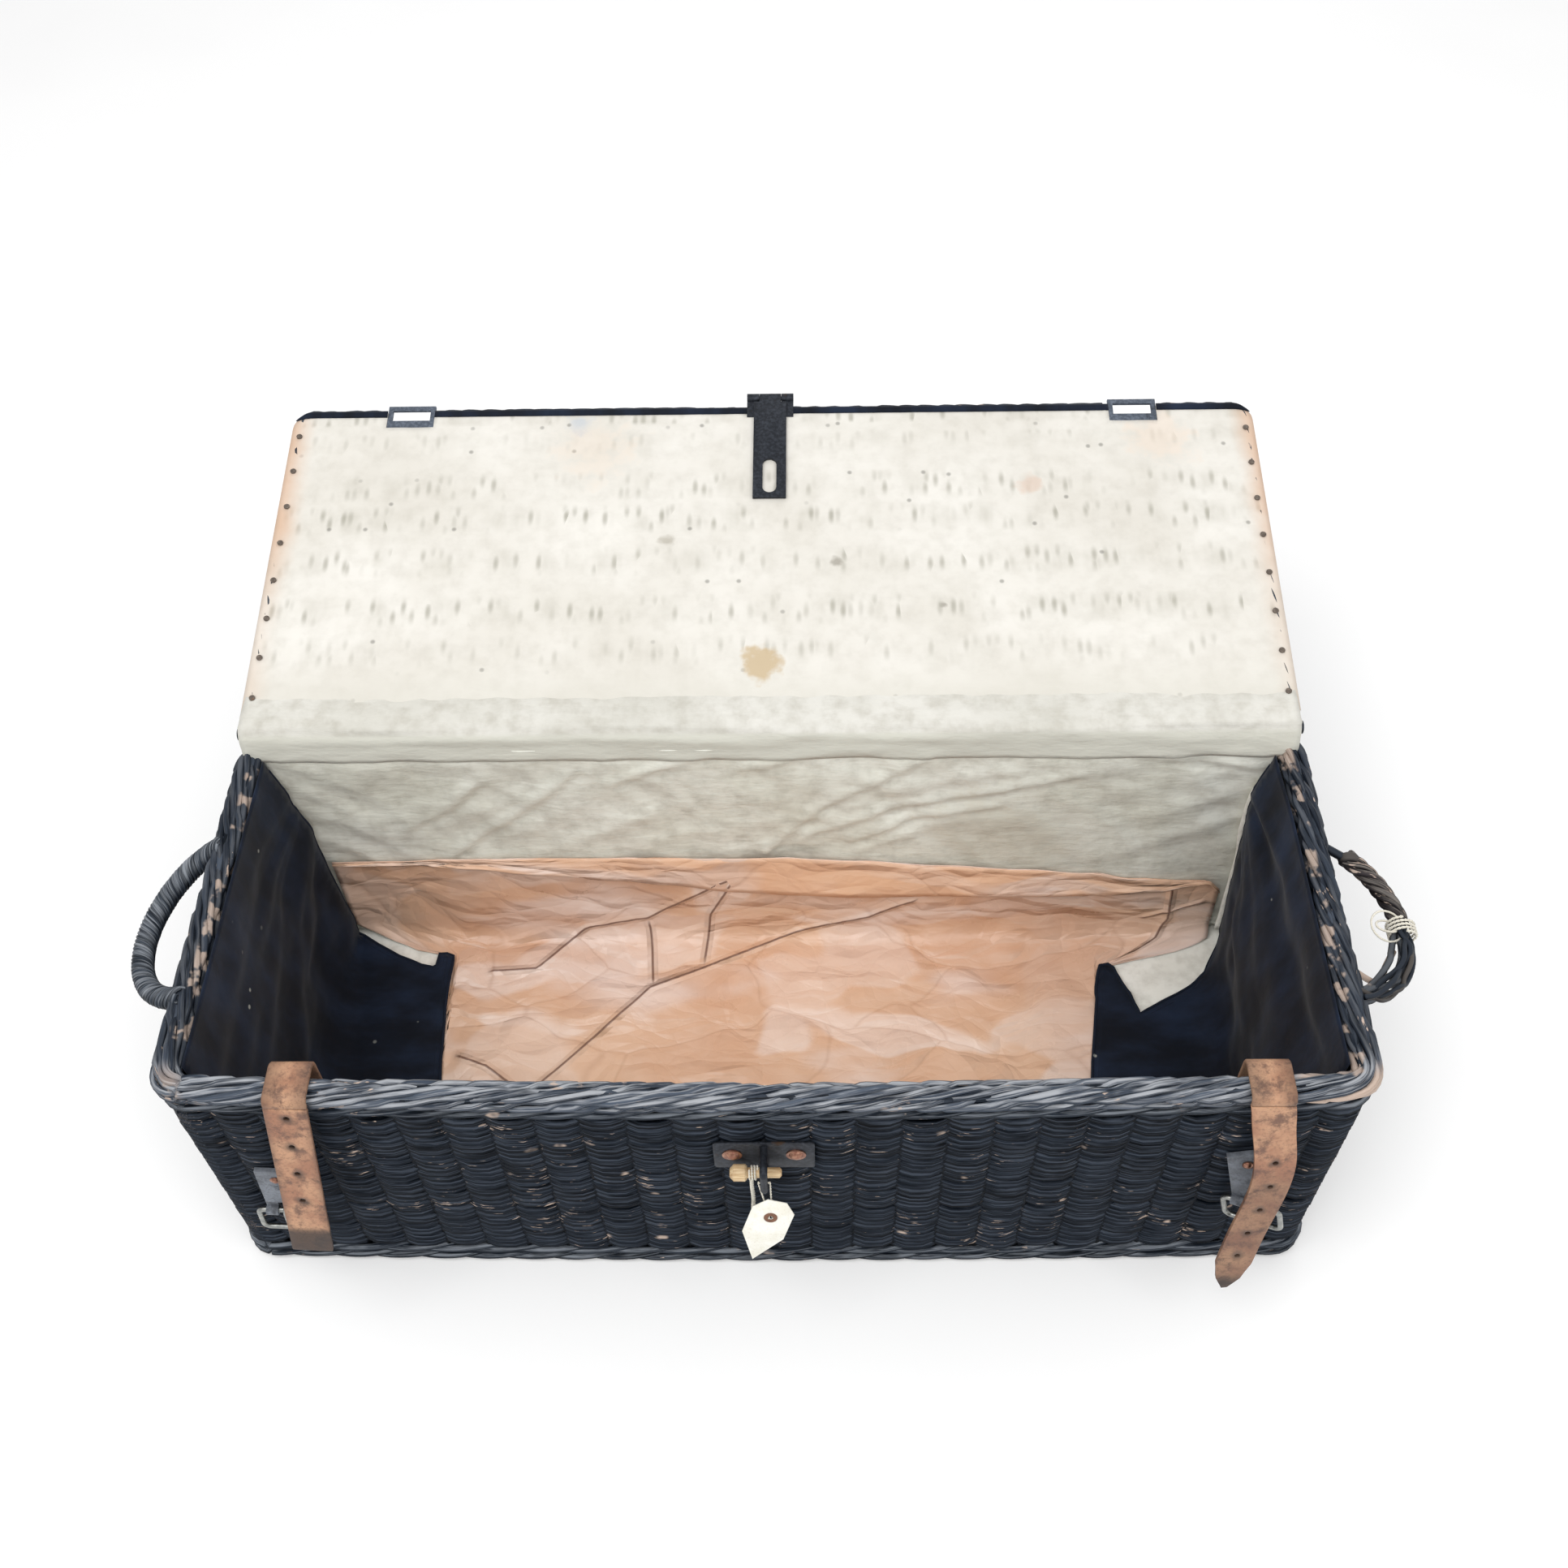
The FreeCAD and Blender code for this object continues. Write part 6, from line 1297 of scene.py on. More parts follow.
lidLining = gridPiece("lidLiningCloth", acrossSteps, awaySteps, lidClothPlace, lidCanvas,
                      lidCloth["thickness"], inNotch)
edgeTape = gridPiece("lidEdgeTape", acrossSteps, steps(334.0, 341.2, 2.4),
                     lambda x, away: onLid(*roundCorner(x, away), lidCloth["face"] + 0.5), blackCloth, 0.9,
                     inNotch)
lidLining = join("lidLiningCloth", [lidLining, edgeTape])
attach(lidLining, "lid")
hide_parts("lid_lining")

backTable = ((20.5, 150.6), (112, 150.2), (200, 149.6), (262, 148.3), (278, 147.6), (284, 148.0),
             (290, 148.6))
backCreases = (((-297, 138), (-253, 178), (-216, 210), (-194, 234), (-165, 265)),
               ((-9, 140), (41, 211), (104, 258), (141, 288)),
               ((25, 169), (106, 210), (194, 234), (270, 257)), ((66, 160), (126, 196), (205, 214)),
               ((-142, 245), (-81, 275), (-40, 292)), ((-23, 267), (36, 286), (110, 292)),
               ((300, 285), (400, 268), (424, 262)), ((330, 292), (410, 282), (425, 278)),
               ((-330, 180), (-280, 215), (-250, 250)))


def backPlace(x, z):
    along = Vector((x * 0.012 + z * 0.007, z * 0.010 - x * 0.004, 11.0))
    fold = noise.noise(along * 1.5) * 1.6
    tilt = (x * 0.72 + z * 0.69)
    fold += (1 - abs(noise.noise(Vector((tilt * 0.03, (x - z) * 0.006, 21.0)))) * 3.2) * 1.5
    tilt = (x * 0.35 - z * 0.94)
    fold += (1 - abs(noise.noise(Vector((tilt * 0.028, (x + z) * 0.005, 31.0)))) * 3.2) * 1.3
    for line in backCreases:
        away, near = beside(line, x, z)
        fold += near * 2.6 * (math.exp(-(away / 4.5) ** 2) - 0.5 * math.exp(-((away + 8.0) / 5.0) ** 2))
    hold = smoothStep(292, 268, z) * smoothStep(16, 40, z)
    side = smoothStep(426, 410, abs(x))
    y = between(backTable, z) - max(-2.4, min(3.6, fold)) * hold * (0.3 + 0.7 * side)
    return Vector((x, y, z)) * mm


# Hinge cloth: one strip from the lid lining over the hinge and down inside the back border
hingeLine = [(193.0, 311.8), (187.0, 311.9), (181.0, 311.9), (175.5, 311.5), (171.0, 311.2), (164.0, 310.4),
             (157.5, 308.6), (152.6, 305.0), (150.2, 300.5), (149.4, 296.0), (149.2, 288.0), (149.0, 279.0)]
hingeRun = [0.0]
for (ay, az), (by, bz) in zip(hingeLine, hingeLine[1:]):
    hingeRun.append(hingeRun[-1] + math.hypot(by - ay, bz - az))


def hingePlace(x, run):
    index = next((i for i in range(len(hingeRun) - 1) if run <= hingeRun[i + 1] + 1e-6), len(hingeRun) - 2)
    t = (run - hingeRun[index]) / (hingeRun[index + 1] - hingeRun[index])
    y = hingeLine[index][0] + (hingeLine[index + 1][0] - hingeLine[index][0]) * t
    z = hingeLine[index][1] + (hingeLine[index + 1][1] - hingeLine[index][1]) * t
    if z < 298:  # the strip lies on the back lining and follows its folds
        y += (backPlace(x, min(z, 290)).y / mm - 1.0 - y) * smoothStep(298, 284, z)
    mid = math.sin(math.pi * min(1.0, run / hingeRun[-1]))
    crease = (noise.noise(Vector((x * 0.010 + run * 0.02, run * 0.16, 5.0))) * 3.6
              + noise.noise(Vector((x * 0.05, run * 0.08, 8.0))) * 1.4)
    pleat = sum(4.0 * math.exp(-((x - place) / 5.0) ** 2) for place in (-438, -424, -411)) * mid
    return Vector((x, y - (crease * 0.7 + pleat * 0.4) * mid,
                   z + (crease * 0.5 + pleat * 0.8) * mid + 0.4)) * mm


hingeCloth = gridPiece("hingeCloth", steps(-441, 441, 6.0), steps(0.0, hingeRun[-1], 3.4),
                       lambda x, run: hingePlace(x, hingeRun[-1] - run), hingeCanvasPaintedShade, 1.0)
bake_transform(hingeCloth)


backLining = gridPiece("backLiningCloth", steps(-425.5, 425.5, 5.0), steps(20.8, 290.0, 5.0), backPlace,
                       wallCanvasPaintedLight, 1.1)


def cornerPlace(across, z):  # edge of the cloth behind the right flap, lighter by the painted light in the floor canvas
    edge = 431 - between(((24, 7), (48, 7), (86, 8), (136, 9), (187, 14), (236, 18), (262, 14)), z)
    return Vector((edge - 6 * smoothStep(262, 190, z) + across, 142.6, z)) * mm


cornerStrip = gridPiece("cornerStrip", [0.0, 4.0, 8.0, 12.0], steps(26.0, 250.0, 6.0), cornerPlace,
                        floorCanvasPaintedLight, 0.8)
backLining = join("backLiningCloth", [backLining, cornerStrip])
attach(backLining, "trunk")
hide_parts("lining_back")

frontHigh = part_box("lining_front")[1]


def frontPlace(x, z):
    fold = noise.noise(Vector((x * 0.02, z * 0.008, 41.0))) * 0.5
    return Vector((-x, frontHigh[1] / mm - 0.5 + fold, z)) * mm


frontLining = gridPiece("frontLiningCloth", steps(-425.5, 425.5, 8.0), steps(20.8, 267.0, 8.0), frontPlace,
                        wallCanvasPaintedLight, 0.9)
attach(frontLining, "trunk")
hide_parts("lining_front")


def floorPlace(x, y):
    bump = noise.noise(Vector((x * 0.015, y * 0.02, 51.0))) * 0.3
    return Vector((x, y, 20.05 + bump)) * mm


floorLining = gridPiece("floorLiningCloth", steps(-430.5, 430.5, 9.0), steps(-153.5, 153.5, 9.0), floorPlace,
                        floorCanvasPaintedLight, 0.9)
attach(floorLining, "trunk")
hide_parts("lining_floor")
print("linings made")


# Black flaps: one cloth each, fixed under the end borders, down the end walls and spread on the floor

flap = {"wall": 431.0, "top": 286.0, "floor": 24.2, "thickness": 1.1}
midAcross = ((24, 48), (27, 40), (34, 31), (46, 25), (64, 21), (110, 19), (175, 15), (240, 10), (286, 6.6))
leftBack = ((24, 31), (27, 31), (34, 31), (48, 31), (86, 28), (136, 27), (187, 26), (236, 17), (286, 7))
rightBack = ((24, 7), (27, 7), (34, 7), (48, 7), (86, 8), (109, 10), (180, 14), (238, 18), (286, 9))
flapLevels = [286 - 6 * i for i in range(38)] + [58, 52, 47, 42, 38, 34.5, 31.5, 29, 27, 25.5, 24.6, 24.2]


def flapProfile(backTable, y):
    weight = smoothStep(70, 142, y)
    line = []
    for z in flapLevels:
        clampZ = max(24.0, z)
        line.append((between(midAcross, clampZ) * (1 - weight) + between(backTable, clampZ) * weight, z))
    run = [0.0]
    for (ax, az), (bx, bz) in zip(line, line[1:]):
        run.append(run[-1] + math.hypot(bx - ax, bz - az))
    return line, run


def flapPlacer(mark, backTable, seed):
    profiles = {}

    def place(y, across):
        key = round(y)
        if key not in profiles:
            profiles[key] = flapProfile(backTable, key)
        line, run = profiles[key]
        p = -across
        if p <= run[-1]:
            i = next(i for i in range(len(run) - 1) if p <= run[i + 1] + 1e-6)
            t = (p - run[i]) / (run[i + 1] - run[i])
            x = line[i][0] + (line[i + 1][0] - line[i][0]) * t
            z = line[i][1] + (line[i + 1][1] - line[i][1]) * t
            onFloor = smoothStep(60, 26, z)
        else:
            x, z, onFloor = line[-1][0] + p - run[-1], flap["floor"], 1.0
        fromCorner = math.atan2(p - 60, 150 - y + 30)
        spoke = (noise.noise(Vector((fromCorner * 2.6, p * 0.004, seed)))
                 + noise.noise(Vector((fromCorner * 8, p * 0.01, seed + 4))) * 0.3)
        cross = noise.noise(Vector((y * 0.02, p * 0.028, seed + 9)))
        lift = max(0.0, 0.3 + spoke * 1.2 + cross * 0.9) * 5.5
        wallLift = (spoke * 1.5 + cross * 0.8) * 6.0 * smoothStep(0, 60, p)
        endHold = smoothStep(146, 118, abs(y)) * 0.75 + 0.25
        x += wallLift * (1 - onFloor) * endHold
        z += lift * onFloor * (0.5 + 0.5 * endHold)
        return Vector((mark * (flap["wall"] - max(5.5, x)), y, z)) * mm

    return place, lambda y: flapProfile(backTable, round(y))


def flapPiece(name, mark, backTable, hem, seed):
    place, profile = flapPlacer(mark, backTable, seed)

    def runAt(y, across):  # distance down the cloth of a floor point that far from the wall
        line, run = profile(y)
        return run[-1] + across - line[-1][0]

    outline = []
    backEdge = 142.0
    backRun = runAt(backEdge, hem[0][1])
    outline += [(backEdge, -backRun * i / 40) for i in range(41)]
    outline += [(y, -runAt(y, across)) for y, across in hem[1:]]
    frontEdge = -146.0
    outline += [(frontEdge, -runAt(frontEdge, hem[-1][1]) * (40 - i) / 40) for i in range(41)]
    if mark < 0:
        outline = outline[::-1]
    cloth = cutPiece(name + "Cloth", [(mark * y, p) for y, p in outline], lambda u, v: place(mark * u, v),
                     blackCloth, 6.5, flap["thickness"])
    edge = [place(backEdge, -backRun * i / 60) for i in range(3, 61)]
    hemLine = [(backEdge, -backRun)] + [(y, -runAt(y, across)) for y, across in hem[1:]]
    for (ay, ap), (by, bp) in zip(hemLine, hemLine[1:]):
        count = max(1, int(math.hypot(by - ay, bp - ap) / 5))
        edge += [place(ay + (by - ay) * i / count, ap + (bp - ap) * i / count) for i in range(1, count + 1)]
    edge = [p + Vector((0, 0, 0.4)) * mm for p in edge]
    binding = tubeAlong(name + "Hem", edge, 1.5, blackCloth, 8)
    seam = []
    for (ay, ap), (by, bp), (cy, cp) in zip(hemLine, hemLine[1:], hemLine[2:]):
        size = max(1e-6, math.hypot(cy - ay, cp - ap))
        seam.append((by + (cp - ap) / size * 5.5, bp - (cy - ay) / size * 5.5))
    seamLine = []
    for (ay, ap), (by, bp) in zip(seam, seam[1:]):
        count = max(1, int(math.hypot(by - ay, bp - ap) / 5))
        seamLine += [place(ay + (by - ay) * i / count, ap + (bp - ap) * i / count) for i in range(count)]
    seamLine = [p + Vector((0, 0, 0.5)) * mm for p in seamLine]
    binding = join(name + "Binding", [binding, tubeAlong(name + "Seam", seamLine, 0.7, blackCloth, 6)])
    far = flap["wall"] - hem[-1][1]
    ends = sorted((mark * far, mark * 424.5))

    def frontPlaceFlap(u, v):
        wave = noise.noise(Vector((u * 0.03, v * 0.012, seed + 20))) * 2.0
        return Vector((-u, -147.0 + wave * smoothStep(286, 262, v) + 0.6, v)) * mm

    turnIn = gridPiece(name + "Front", steps(-ends[1], -ends[0], 7.0), steps(26.0, 264.0, 7.0),
                       frontPlaceFlap, blackCloth, 1.1)
    whole = join(name, [cloth, binding, turnIn])
    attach(whole, "trunk")
    return whole


leftHem = ((142, 31), (139, 37), (127, 53), (114, 75), (104.5, 97), (102, 109), (104, 112), (117, 113),
           (117.5, 120), (115, 126.5), (94, 126.5), (59, 126), (6, 129), (-25, 132), (-60, 131), (-100, 135),
           (-146, 134))
rightHem = ((142, 7), (128, 10), (118, 13), (109, 18), (91, 28), (80, 43), (71, 58), (63, 73), (51, 94),
            (62, 98), (73, 101), (90, 109), (100, 113), (103, 118), (101, 126), (86, 130), (67, 132),
            (30, 138), (0, 143), (-32, 147), (-80, 145), (-146, 147))
leftFlap = flapPiece("leftFlap", -1, leftBack, leftHem, 61.0)
rightFlap = flapPiece("rightFlap", 1, rightBack, rightHem, 67.0)
for piece, node in ((leftFlap, "flap_left"), (rightFlap, "flap_right")):
    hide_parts(node)
print("flaps made")


# Paper over the floor and up the back, its top edge folded down

paperSheet = {"front": -141.5, "back": 144.3, "cove": 18.0, "low": 21.4, "rise": 130.4, "thickness": 0.7}
paperRun = [paperSheet["back"] - paperSheet["cove"] - paperSheet["front"]]
paperRun.append(paperRun[0] + paperSheet["cove"] * math.pi / 2)
paperRun.append(paperRun[1] + paperSheet["rise"] - paperSheet["low"] - paperSheet["cove"])


def runOf(kind, value):  # distance along the paper of a floor depth or a back height
    return value - paperSheet["front"] if kind == "floor" else paperRun[1] + value - paperSheet["cove"] - 4


creaseLines = [[(-272, runOf("floor", 100)), (-224, runOf("floor", 103)), (-179, runOf("back", 18)),
                (-119, runOf("back", 33)), (-51, runOf("back", 80)), (-33, runOf("back", 89))],
               [(-214, runOf("floor", -24)), (-188, runOf("floor", 3)), (-116, runOf("floor", 81)),
                (-66, runOf("floor", 103)), (23, runOf("back", 12)), (89, runOf("back", 32)),
                (135, runOf("back", 61))],
               [(-119, runOf("back", 29)), (-113, runOf("floor", 83))],
               [(-66, runOf("floor", 107)), (-60, runOf("back", 36)), (-37, runOf("back", 84))],
               [(-291, runOf("floor", 11)), (-260, runOf("floor", -1)), (-227, runOf("floor", -26))],
               [(364, runOf("back", 99)), (367, runOf("back", 32)), (352, runOf("floor", 112))],
               [(398, runOf("back", 73)), (372, runOf("back", 52)), (340, runOf("back", 30))]]
paperTop = ((-400, 139), (-337, 141), (-297, 143), (-140, 143.5), (9, 143), (77, 138), (155, 129),
            (234, 122.6), (287, 117.7), (331, 108.4), (393, 104.8), (399, 103.5), (414, 89))
turnLow = ((-400, 139), (-337, 141), (-272, 131.7), (-208, 122.7), (-142, 113.6), (-98, 107), (-34, 94.6),
           (24, 88.6), (77, 85.3), (205, 86.2), (260, 85.5), (304, 87), (355, 91), (386, 100.4), (399, 103.5))
leftReach = ((0, 312), (258.5, 312), (260.5, 317), (267.5, 343), (paperRun[0] + 9, 365),
             (paperRun[0] + 18, 385), (paperRun[0] + 28, 400))
rightReach = ((0, 312), (245.5, 312), (246.5, 318), (257, 359), (264.5, 390), (paperRun[0] + 4, 403),
              (paperRun[0] + 10, 412))


def paperPlace(flatU, run):
    reach = between(leftReach if flatU < 0 else rightReach, run)
    u = flatU if abs(flatU) < 300 else math.copysign(300 + (abs(flatU) - 300) * (reach - 300) / 106, flatU)
    lift = 0.0
    for line in creaseLines:
        away, near = beside(line, flatU, run)
        lift += near * (1.8 * max(0.0, 1 - abs(away) / 6.0) + 0.8 * math.exp(-(away / 24.0) ** 2))
    lift += 0.9 * noise.noise(Vector((u * 0.014, run * 0.02, 71.0)))
    for scale, height in ((0.011, 2.2), (0.024, 1.3)):
        warpU = noise.noise(Vector((u * 0.012, run * 0.012, 75.0))) * 22
        apart = noise.voronoi(Vector(((u + warpU) * scale, (run - warpU) * scale * 1.5, 7.0)))[0]
        lift += height * min(0.5, apart[1] - apart[0])
    lift = max(0.0, lift + 0.2)
    under = smoothStep(278, 296, abs(u)) * smoothStep(paperRun[0] + 4, paperRun[0] - 12, run)
    lift = lift * (1 - under) + min(lift, 0.7) * under
    low, back, cove = paperSheet["low"], paperSheet["back"], paperSheet["cove"]
    if run < paperRun[0]:
        y, z, normal = paperSheet["front"] + run, low, Vector((0, 0, 1))
    elif run < paperRun[1]:
        angle = (run - paperRun[0]) / cove
        y, z = back - cove + cove * math.sin(angle), low + cove - cove * math.cos(angle)
        normal = Vector((0, -math.sin(angle), math.cos(angle)))
    else:
        share = (run - paperRun[1]) / (paperRun[2] - paperRun[1])
        y, z, normal = back, low + cove + (between(paperTop, u) - low - cove) * share, Vector((0, -1, 0))
    return (Vector((u, y, z)) + normal * lift) * mm


paperFace = gridPiece("paperFace", steps(-406.0, 406.0, 5.0), steps(0.0, paperRun[2], 5.0), paperPlace,
                      paperBrown, paperSheet["thickness"], marksOf=creaseLines)


def turnedPlace(u, down):
    v = down / 50
    top = between(paperTop, u)
    fall = max(1.0, top - between(turnLow, u)) * v
    out = 1.6 + 3.2 * v ** 1.5 + 1.2 * noise.noise(Vector((u * 0.016, v * 1.3, 81.0))) * v
    return Vector((u, paperSheet["back"] - out, top + 0.4 - fall - 0.7 * (1 - v))) * mm


turned = gridPiece("paperTurned", steps(-399, 412, 5.0), [50.0 * (1 - i / 8) for i in range(9)], turnedPlace,
                   paperTurnedPaintedLight, 0.7)
paper = join("brownPaper", [paperFace, turned])
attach(paper, "trunk")
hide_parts("paper_liner")
print("paper made")


# Leather straps over the front rim, their hanging ends, and the chapes on the wall

strap = {"width": 32.0, "thickness": 3.4, "left": -342.0, "right": 364.0, "axisLeft": 180.60,
         "axisRight": 180.02, "height": 286.0, "lean": 12.0, "slant": 4.4, "fold": 6.05, "foldY": -151.2,
         "innerY": -145.15, "innerLow": 238, "end": 284.9, "seat": 1.75}


def bandAlong(name, line, width, thickness, centre, material):
    half, deep, rim = width / 2, thickness / 2, 0.9
    section = [(-half + rim, deep), (0, deep), (half - rim, deep), (half, deep - rim), (half, rim - deep),
               (half - rim, -deep), (0, -deep), (-half + rim, -deep), (-half, rim - deep),
               (-half, deep - rim)]
    verts, faces, dark = [], [], []
    for i, (y, z) in enumerate(line):
        before, after = line[max(0, i - 1)], line[min(len(line) - 1, i + 1)]
        run = math.hypot(after[0] - before[0], after[1] - before[1])
        ny, nz = -(after[1] - before[1]) / run, (after[0] - before[0]) / run
        for across, out in section:
            wobble = noise.noise(Vector((across * 0.06, i * 0.3, centre))) * 0.12
            verts.append(Vector((centre + across, y + ny * (out + wobble), z + nz * (out + wobble))) * mm)
            dark.append(0.5 if abs(across) > half - rim * 1.5 else 0.0)
    wide = len(section)
    for i in range(len(line) - 1):
        for k in range(wide):
            a, b = i * wide + k, i * wide + (k + 1) % wide
            faces.append((a, a + wide, b + wide, b))
    faces.append(tuple(range(wide)))
    faces.append(tuple(range((len(line) - 1) * wide, len(line) * wide))[::-1])
    piece = meshPiece(name, verts, faces, material)
    layer = piece.data.attributes.new("edgeDark", "FLOAT", "POINT")
    layer.data.foreach_set("value", dark)
    whole = bmesh.new()
    whole.from_mesh(piece.data)
    bmesh.ops.recalc_face_normals(whole, faces=whole.faces)
    whole.to_mesh(piece.data)
    whole.free()
    return piece


def anchorLine(outer):
    fold, height = strap["fold"], strap["height"]
    front = -outer + strap["seat"] + fold

    def bend(middle, first, last):  # a fold over the rim, in steps of 15 degrees
        return [(middle + fold * math.cos(math.radians(a)), height + fold * math.sin(math.radians(a)))
                for a in range(first, last, 15)]

    line = [(strap["innerY"], strap["innerLow"] + 6 * i) for i in range(9)] + bend(strap["foldY"], 15, 90)
    line += [(strap["foldY"] + (front - strap["foldY"]) * i / 4, height + fold) for i in range(5)]
    return line + bend(front, 105, 181) + [(front - fold, strap["end"])]


for side in ("left", "right"):
    anchor = bandAlong(f"{side}StrapOverRim",
                       anchorLine(strap["axisLeft" if side == "left" else "axisRight"]), strap["width"],
                       strap["thickness"], strap[side], tanLeather)
    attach(anchor, "trunk")
    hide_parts("strap_anchor_" + side)


def tailPlacer(side):
    lean = math.radians(strap["lean"])
    slant = math.radians(strap["slant"] if side == "left" else 0.0)
    axis = strap["axisLeft" if side == "left" else "axisRight"]

    def place(x, h):
        waver = noise.noise(Vector((x * 0.03, h * 0.02, 91.0))) * 0.8
        curl = 0.9 * (x / 16.0) ** 2 * smoothStep(-60, -170, h) + waver
        out = 0.05 + curl * smoothStep(0, -40, h) * 0.4
        localX = x * math.cos(slant) + h * math.sin(slant)
        localZ = -x * math.sin(slant) + h * math.cos(slant)
        y = out * math.cos(lean) + localZ * math.sin(lean)
        z = -out * math.sin(lean) + localZ * math.cos(lean)
        return Vector((strap[side] + localX, -axis + y, strap["height"] + z)) * mm

    return place


tail = {"step": 5.0, "thickness": 3.3, "bevel": 0.7, "hole": 2.2, "leftFirst": 12, "leftStep": 32,
        "top": -1.7}
leftOutline = [(-15.6, -172), (15.6, -172), (16, -169), (16, tail["top"]), (-16, tail["top"]), (-16, -169)]
leftHoles = [(0, -(tail["leftFirst"] + tail["leftStep"] * i), tail["hole"]) for i in range(4)]
leftTail = cutPiece("leftStrapTail", leftOutline, tailPlacer("left"), tanLeather, tail["step"],
                    tail["thickness"], holes=leftHoles, bevel=tail["bevel"],
                    edgeDark=lambda x, h: max(smoothStep(-140, -148, h) * 0.9,
                                              0.45 * smoothStep(14.2, 16, abs(x))))
rightBend = ((-222, -3), (-188, 1), (-78, 14), (0, 0))


def rightMiddle(h):  # the right strap sways out and back, so its middle line is a soft bend
    nearby = [min(0.0, max(-222.0, h + shift)) for shift in (-24, -12, 0, 12, 24)]
    return sum(between(rightBend, place) for place in nearby) / len(nearby)


rightLevels = [-209 + 9.4 * i for i in range(22)] + [tail["top"]]
rightHalf = ((-222, 2), (-209, 9.5), (-188, 14), (-100, 14.4), (-50, 15.4), (0, 16))
rightOutline = [(rightMiddle(-222) - 2.5, -222), (rightMiddle(-222) + 2, -221)]
rightOutline += [(rightMiddle(h) * smoothStep(0, -12, h) + between(rightHalf, h), h) for h in rightLevels]
rightOutline += [(rightMiddle(h) * smoothStep(0, -12, h) - between(rightHalf, h), h)
                 for h in reversed(rightLevels)]
rightHoles = [(rightMiddle(-place), -place, tail["hole"]) for place in (65, 93, 121, 150, 179)]
rightTail = cutPiece("rightStrapTail", rightOutline, tailPlacer("right"), tanLeather, tail["step"],
                     tail["thickness"], holes=rightHoles, bevel=tail["bevel"],
                     edgeDark=lambda x, h: max(smoothStep(-190, -216, h) * 0.9,
                                               0.4 * smoothStep(-60, -100, h)))
for piece, side in ((leftTail, "left"), (rightTail, "right")):
    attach(piece, "strap_tail_" + side)
    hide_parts("strap_tail_" + side)
print("straps made")


# Pieces whose CAD shape is right: a copy with its edges softened, or the CAD node with its finish

def softened(node, name, material, bevel, body, segments=2):
    source = bpy.data.objects[node]
    mesh = source.data.copy()
    mesh.name = name
    mesh.materials.clear()
    mesh.materials.append(material)
    whole = bmesh.new()
    whole.from_mesh(mesh)
    bmesh.ops.remove_doubles(whole, verts=whole.verts, dist=1e-6)
    bmesh.ops.dissolve_limit(whole, angle_limit=math.radians(0.6), verts=whole.verts, edges=whole.edges)
    whole.to_mesh(mesh)
    whole.free()
    piece = bpy.data.objects.new(name, mesh)
    scene.collection.objects.link(piece)
    edge = piece.modifiers.new("edge", "BEVEL")
    edge.width = bevel * mm
    edge.segments = segments
    edge.limit_method = "ANGLE"
    edge.angle_limit = math.radians(35)
    piece = bake(piece)
    for polygon in piece.data.polygons:
        polygon.use_smooth = True
    piece.data.set_sharp_from_angle(angle=math.radians(40))
    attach(piece, body)
    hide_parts(node)
    return piece


for side in ("left", "right"):
    softened("chape_" + side, side + "Chape", greyLeather, 0.6, "trunk")
softened("hasp", "ironHasp", blackIron, 0.35, "hasp")
softened("staple_plate", "staplePlate", blackIron, 0.3, "trunk")
for side in ("left", "right"):
    softened("strap_loop_" + side, side + "StrapLoop", greyPaintedIron, 0.35, "lid")
softened("tag", "cardTag", tagCard, 0.12, "tag")


def finishNode(node, material):
    data = bpy.data.objects[node].data
    if not data.materials:
        data.materials.append(material)
    for index in range(len(data.materials)):
        data.materials[index] = material


for node, material in (("hinge_loops", blackIron), ("lid_rod", blackIron), ("lining_tacks", rustedIron),
                       ("hasp_leaf", blackIron), ("hasp_pin", blackIron), ("staple", blackIron),
                       ("plate_rivets", copper), ("peg", pegWood), ("tag_eyelet", eyeletFibre),
                       ("strap_rivets", copper), ("chape_rivets", copper), ("buckle_left", greyIron),
                       ("buckle_right", greyIron), ("prong_left", greyIron), ("prong_right", greyIron)):
    finishNode(node, material)
print("metal, wood and card made")


# Strings: the peg's tie and its hanging cord, and the tag's loop

pegTie = woundString("pegTieString", Vector((-11.4 + 3.15, -188.25, 197.3)) * mm, Vector((1, 0, 0)),
                     Vector((0, 0, 1)), 5.0, 2.1, 3, 1.6, 44, stringWhite)
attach(pegTie, "peg")
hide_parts("peg_tie")
cordRoute = ((-9.8, -188.25, 191.3), (-10.28, -188.85, 177.54), (-9.0, -191.65, 159.48),
             (-10.44, -192.25, 140.56), (-9.16, -190.85, 122.5), (-9.96, -191.05, 105.3))
routeCurve = bpy.data.curves.new("pegCordRoute", "CURVE")
routeCurve.dimensions = "3D"
routeLine = routeCurve.splines.new("NURBS")
routeLine.points.add(len(cordRoute) - 1)
for target, point in zip(routeLine.points, cordRoute):
    target.co = (*(Vector(point) * mm), 1.0)
routeLine.order_u = 3
routeLine.use_endpoint_u = True
routeLine.resolution_u = 8
routePiece = bpy.data.objects.new("pegCordRoute", routeCurve)
scene.collection.objects.link(routePiece)
bpy.context.view_layer.update()
routeMesh = bpy.data.meshes.new_from_object(routePiece.evaluated_get(bpy.context.evaluated_depsgraph_get()))
routePoints = [vertex.co.copy() for vertex in routeMesh.vertices]
bpy.data.objects.remove(routePiece)
pegCord = ropeAlong("pegCord", routePoints, 3, 1.75, 0.85, 9.0, (1, 0, 0), stringWhite, 45, 0.04, 90)
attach(pegCord, "peg")
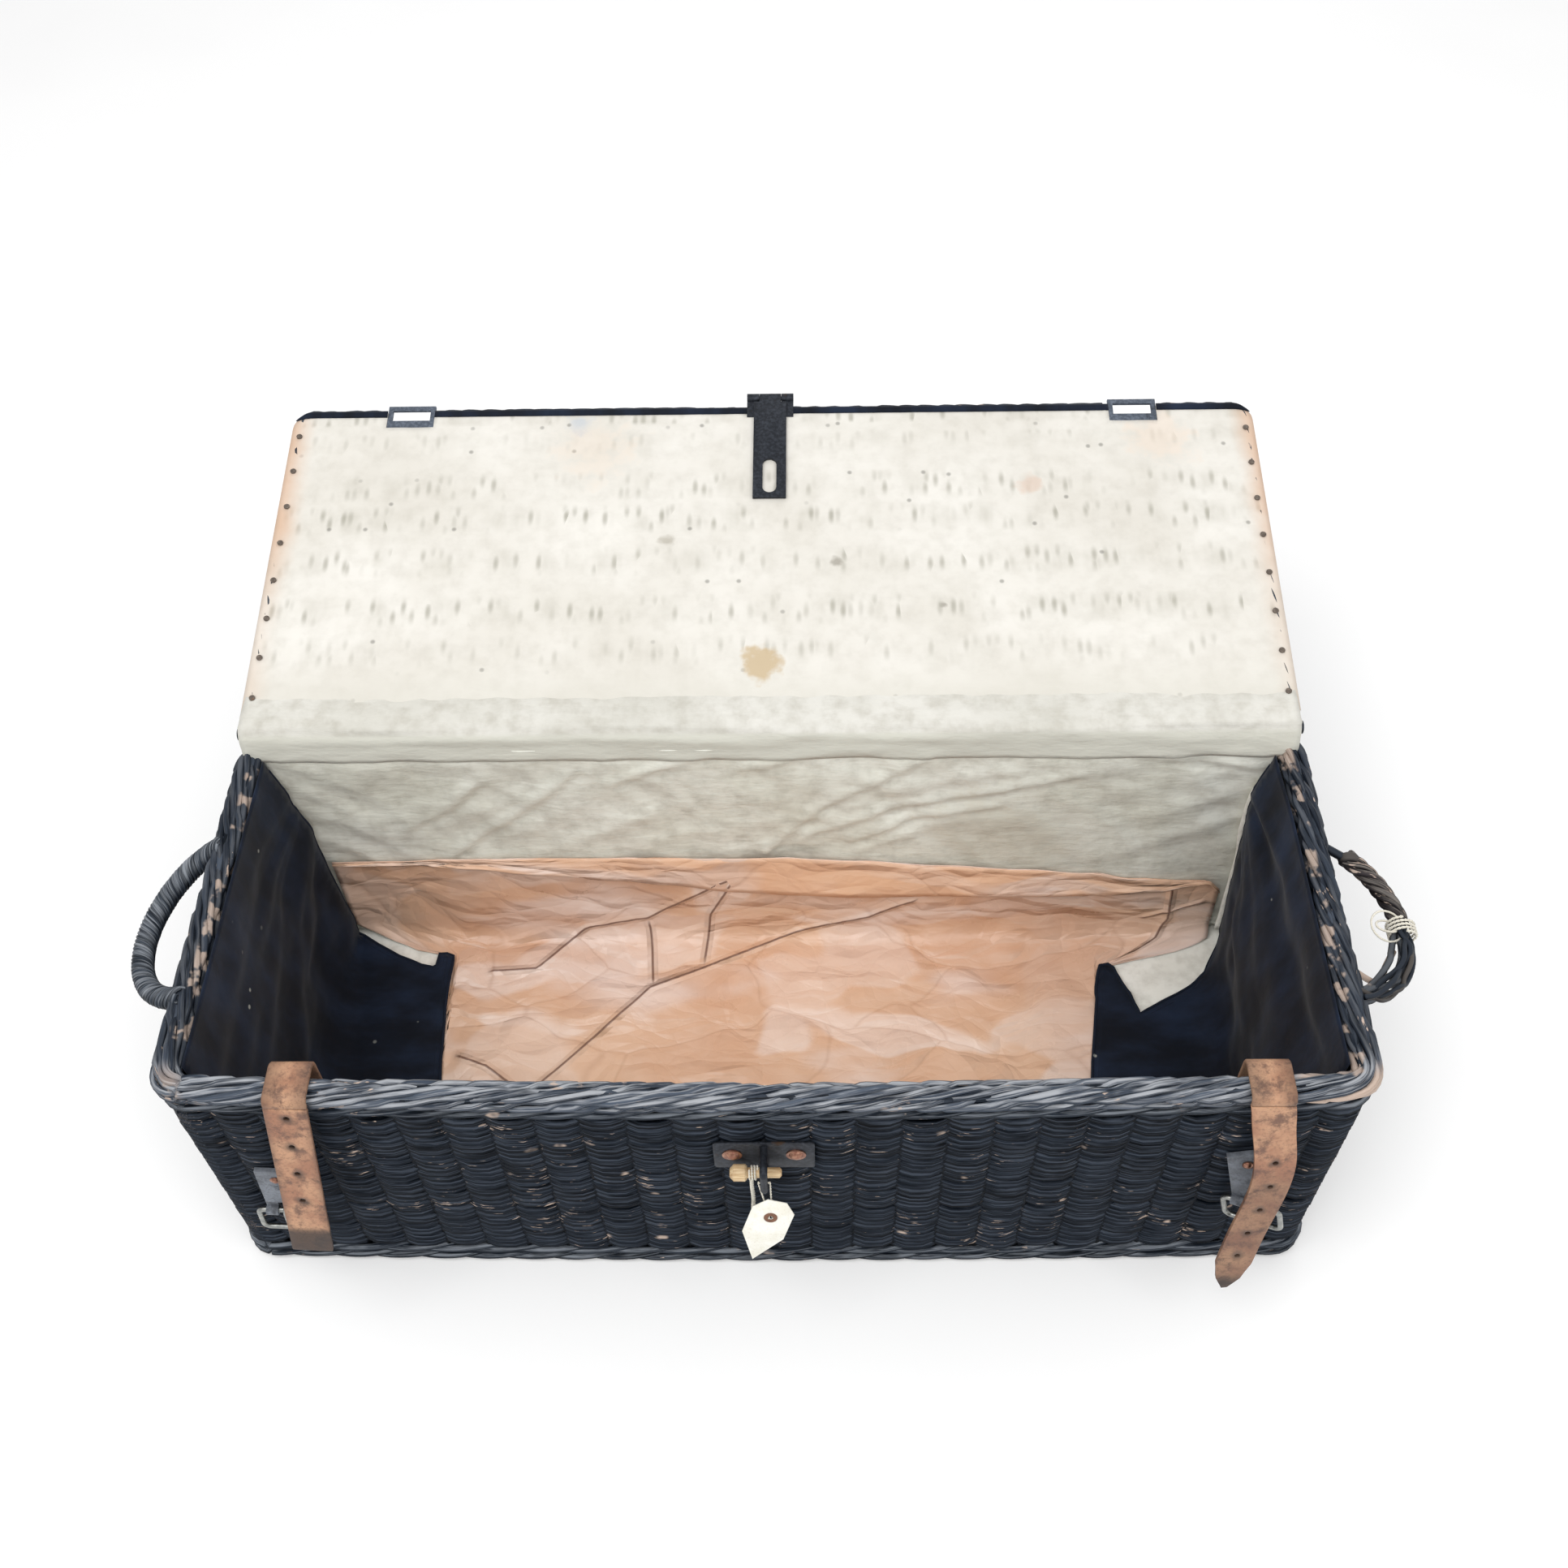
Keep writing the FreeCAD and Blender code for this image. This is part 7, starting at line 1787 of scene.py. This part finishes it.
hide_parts("peg_cord")
[tuple(p) for p in routePoints]
tagPoints = [(2.85, -208.84, 160.86), (2.85, -205.94, 160.08), (2.63, -204.66, 160.74), (-4.3, -194.5, 190.0)]
tagPoints += [(4.3 * math.cos(math.radians(a)), -194.5, 190.0 + 4.3 * math.sin(math.radians(a)))
              for a in range(150, 0, -30)]
tagPoints += [(4.3, -194.5, 190.0), (5.12, -204.83, 160.09), (5.15, -206.12, 159.4)]
tagLine = smoothLine([Vector(p) * mm for p in tagPoints], 90)
tagString = ropeAlong("tagStringLoop", tagLine, 2, 0.8, 0.36, 16.0, (0, 1, 0), stringWhite, 46, 0.03, 160, 6)
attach(tagString, "tag")
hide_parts("tag_string")
print("strings made")


# Floor and light

def paleFloor():
    material, tree, shader, node = newMaterial("paleMattFloor")
    shade = node("noise", node("objectPlace"), 3.0, 2.0, 0.55)
    tree.links.new(node("mix", shade, colour("#fafafa"), colour("#ffffff")), shader.inputs["Base Color"])
    shader.inputs["Roughness"].default_value = 0.9
    return material


floorSize = 8.0
floor = meshPiece("studioFloor", [(-floorSize, -floorSize, 0), (floorSize, -floorSize, 0),
                                  (floorSize, floorSize, 0), (-floorSize, floorSize, 0)], [(0, 1, 2, 3)],
                  paleFloor())
world = bpy.data.worlds.new("paleStudio")
world.use_nodes = True
world.node_tree.nodes["Background"].inputs[0].default_value = (1.0, 1.0, 1.0, 1.0)
world.node_tree.nodes["Background"].inputs[1].default_value = 0.74
scene.world = world
lights = (("keyLight", (-0.9, -0.9, 2.6), 1.8, 34.0), ("fillLight", (1.2, -1.3, 2.2), 1.6, 18.0),
          ("backLight", (0.3, 2.2, 2.2), 2.2, 10.0))
for name, spot, size, power in lights:
    data = bpy.data.lights.new(name, "AREA")
    data.shape = "SQUARE"
    data.size = size
    data.energy = power
    lamp = bpy.data.objects.new(name, data)
    lamp.location = spot
    lamp.rotation_euler = (Vector((0, 0.1, 0.15)) - Vector(spot)).to_track_quat("-Z", "Y").to_euler()
    scene.collection.objects.link(lamp)
print("floor and light made")
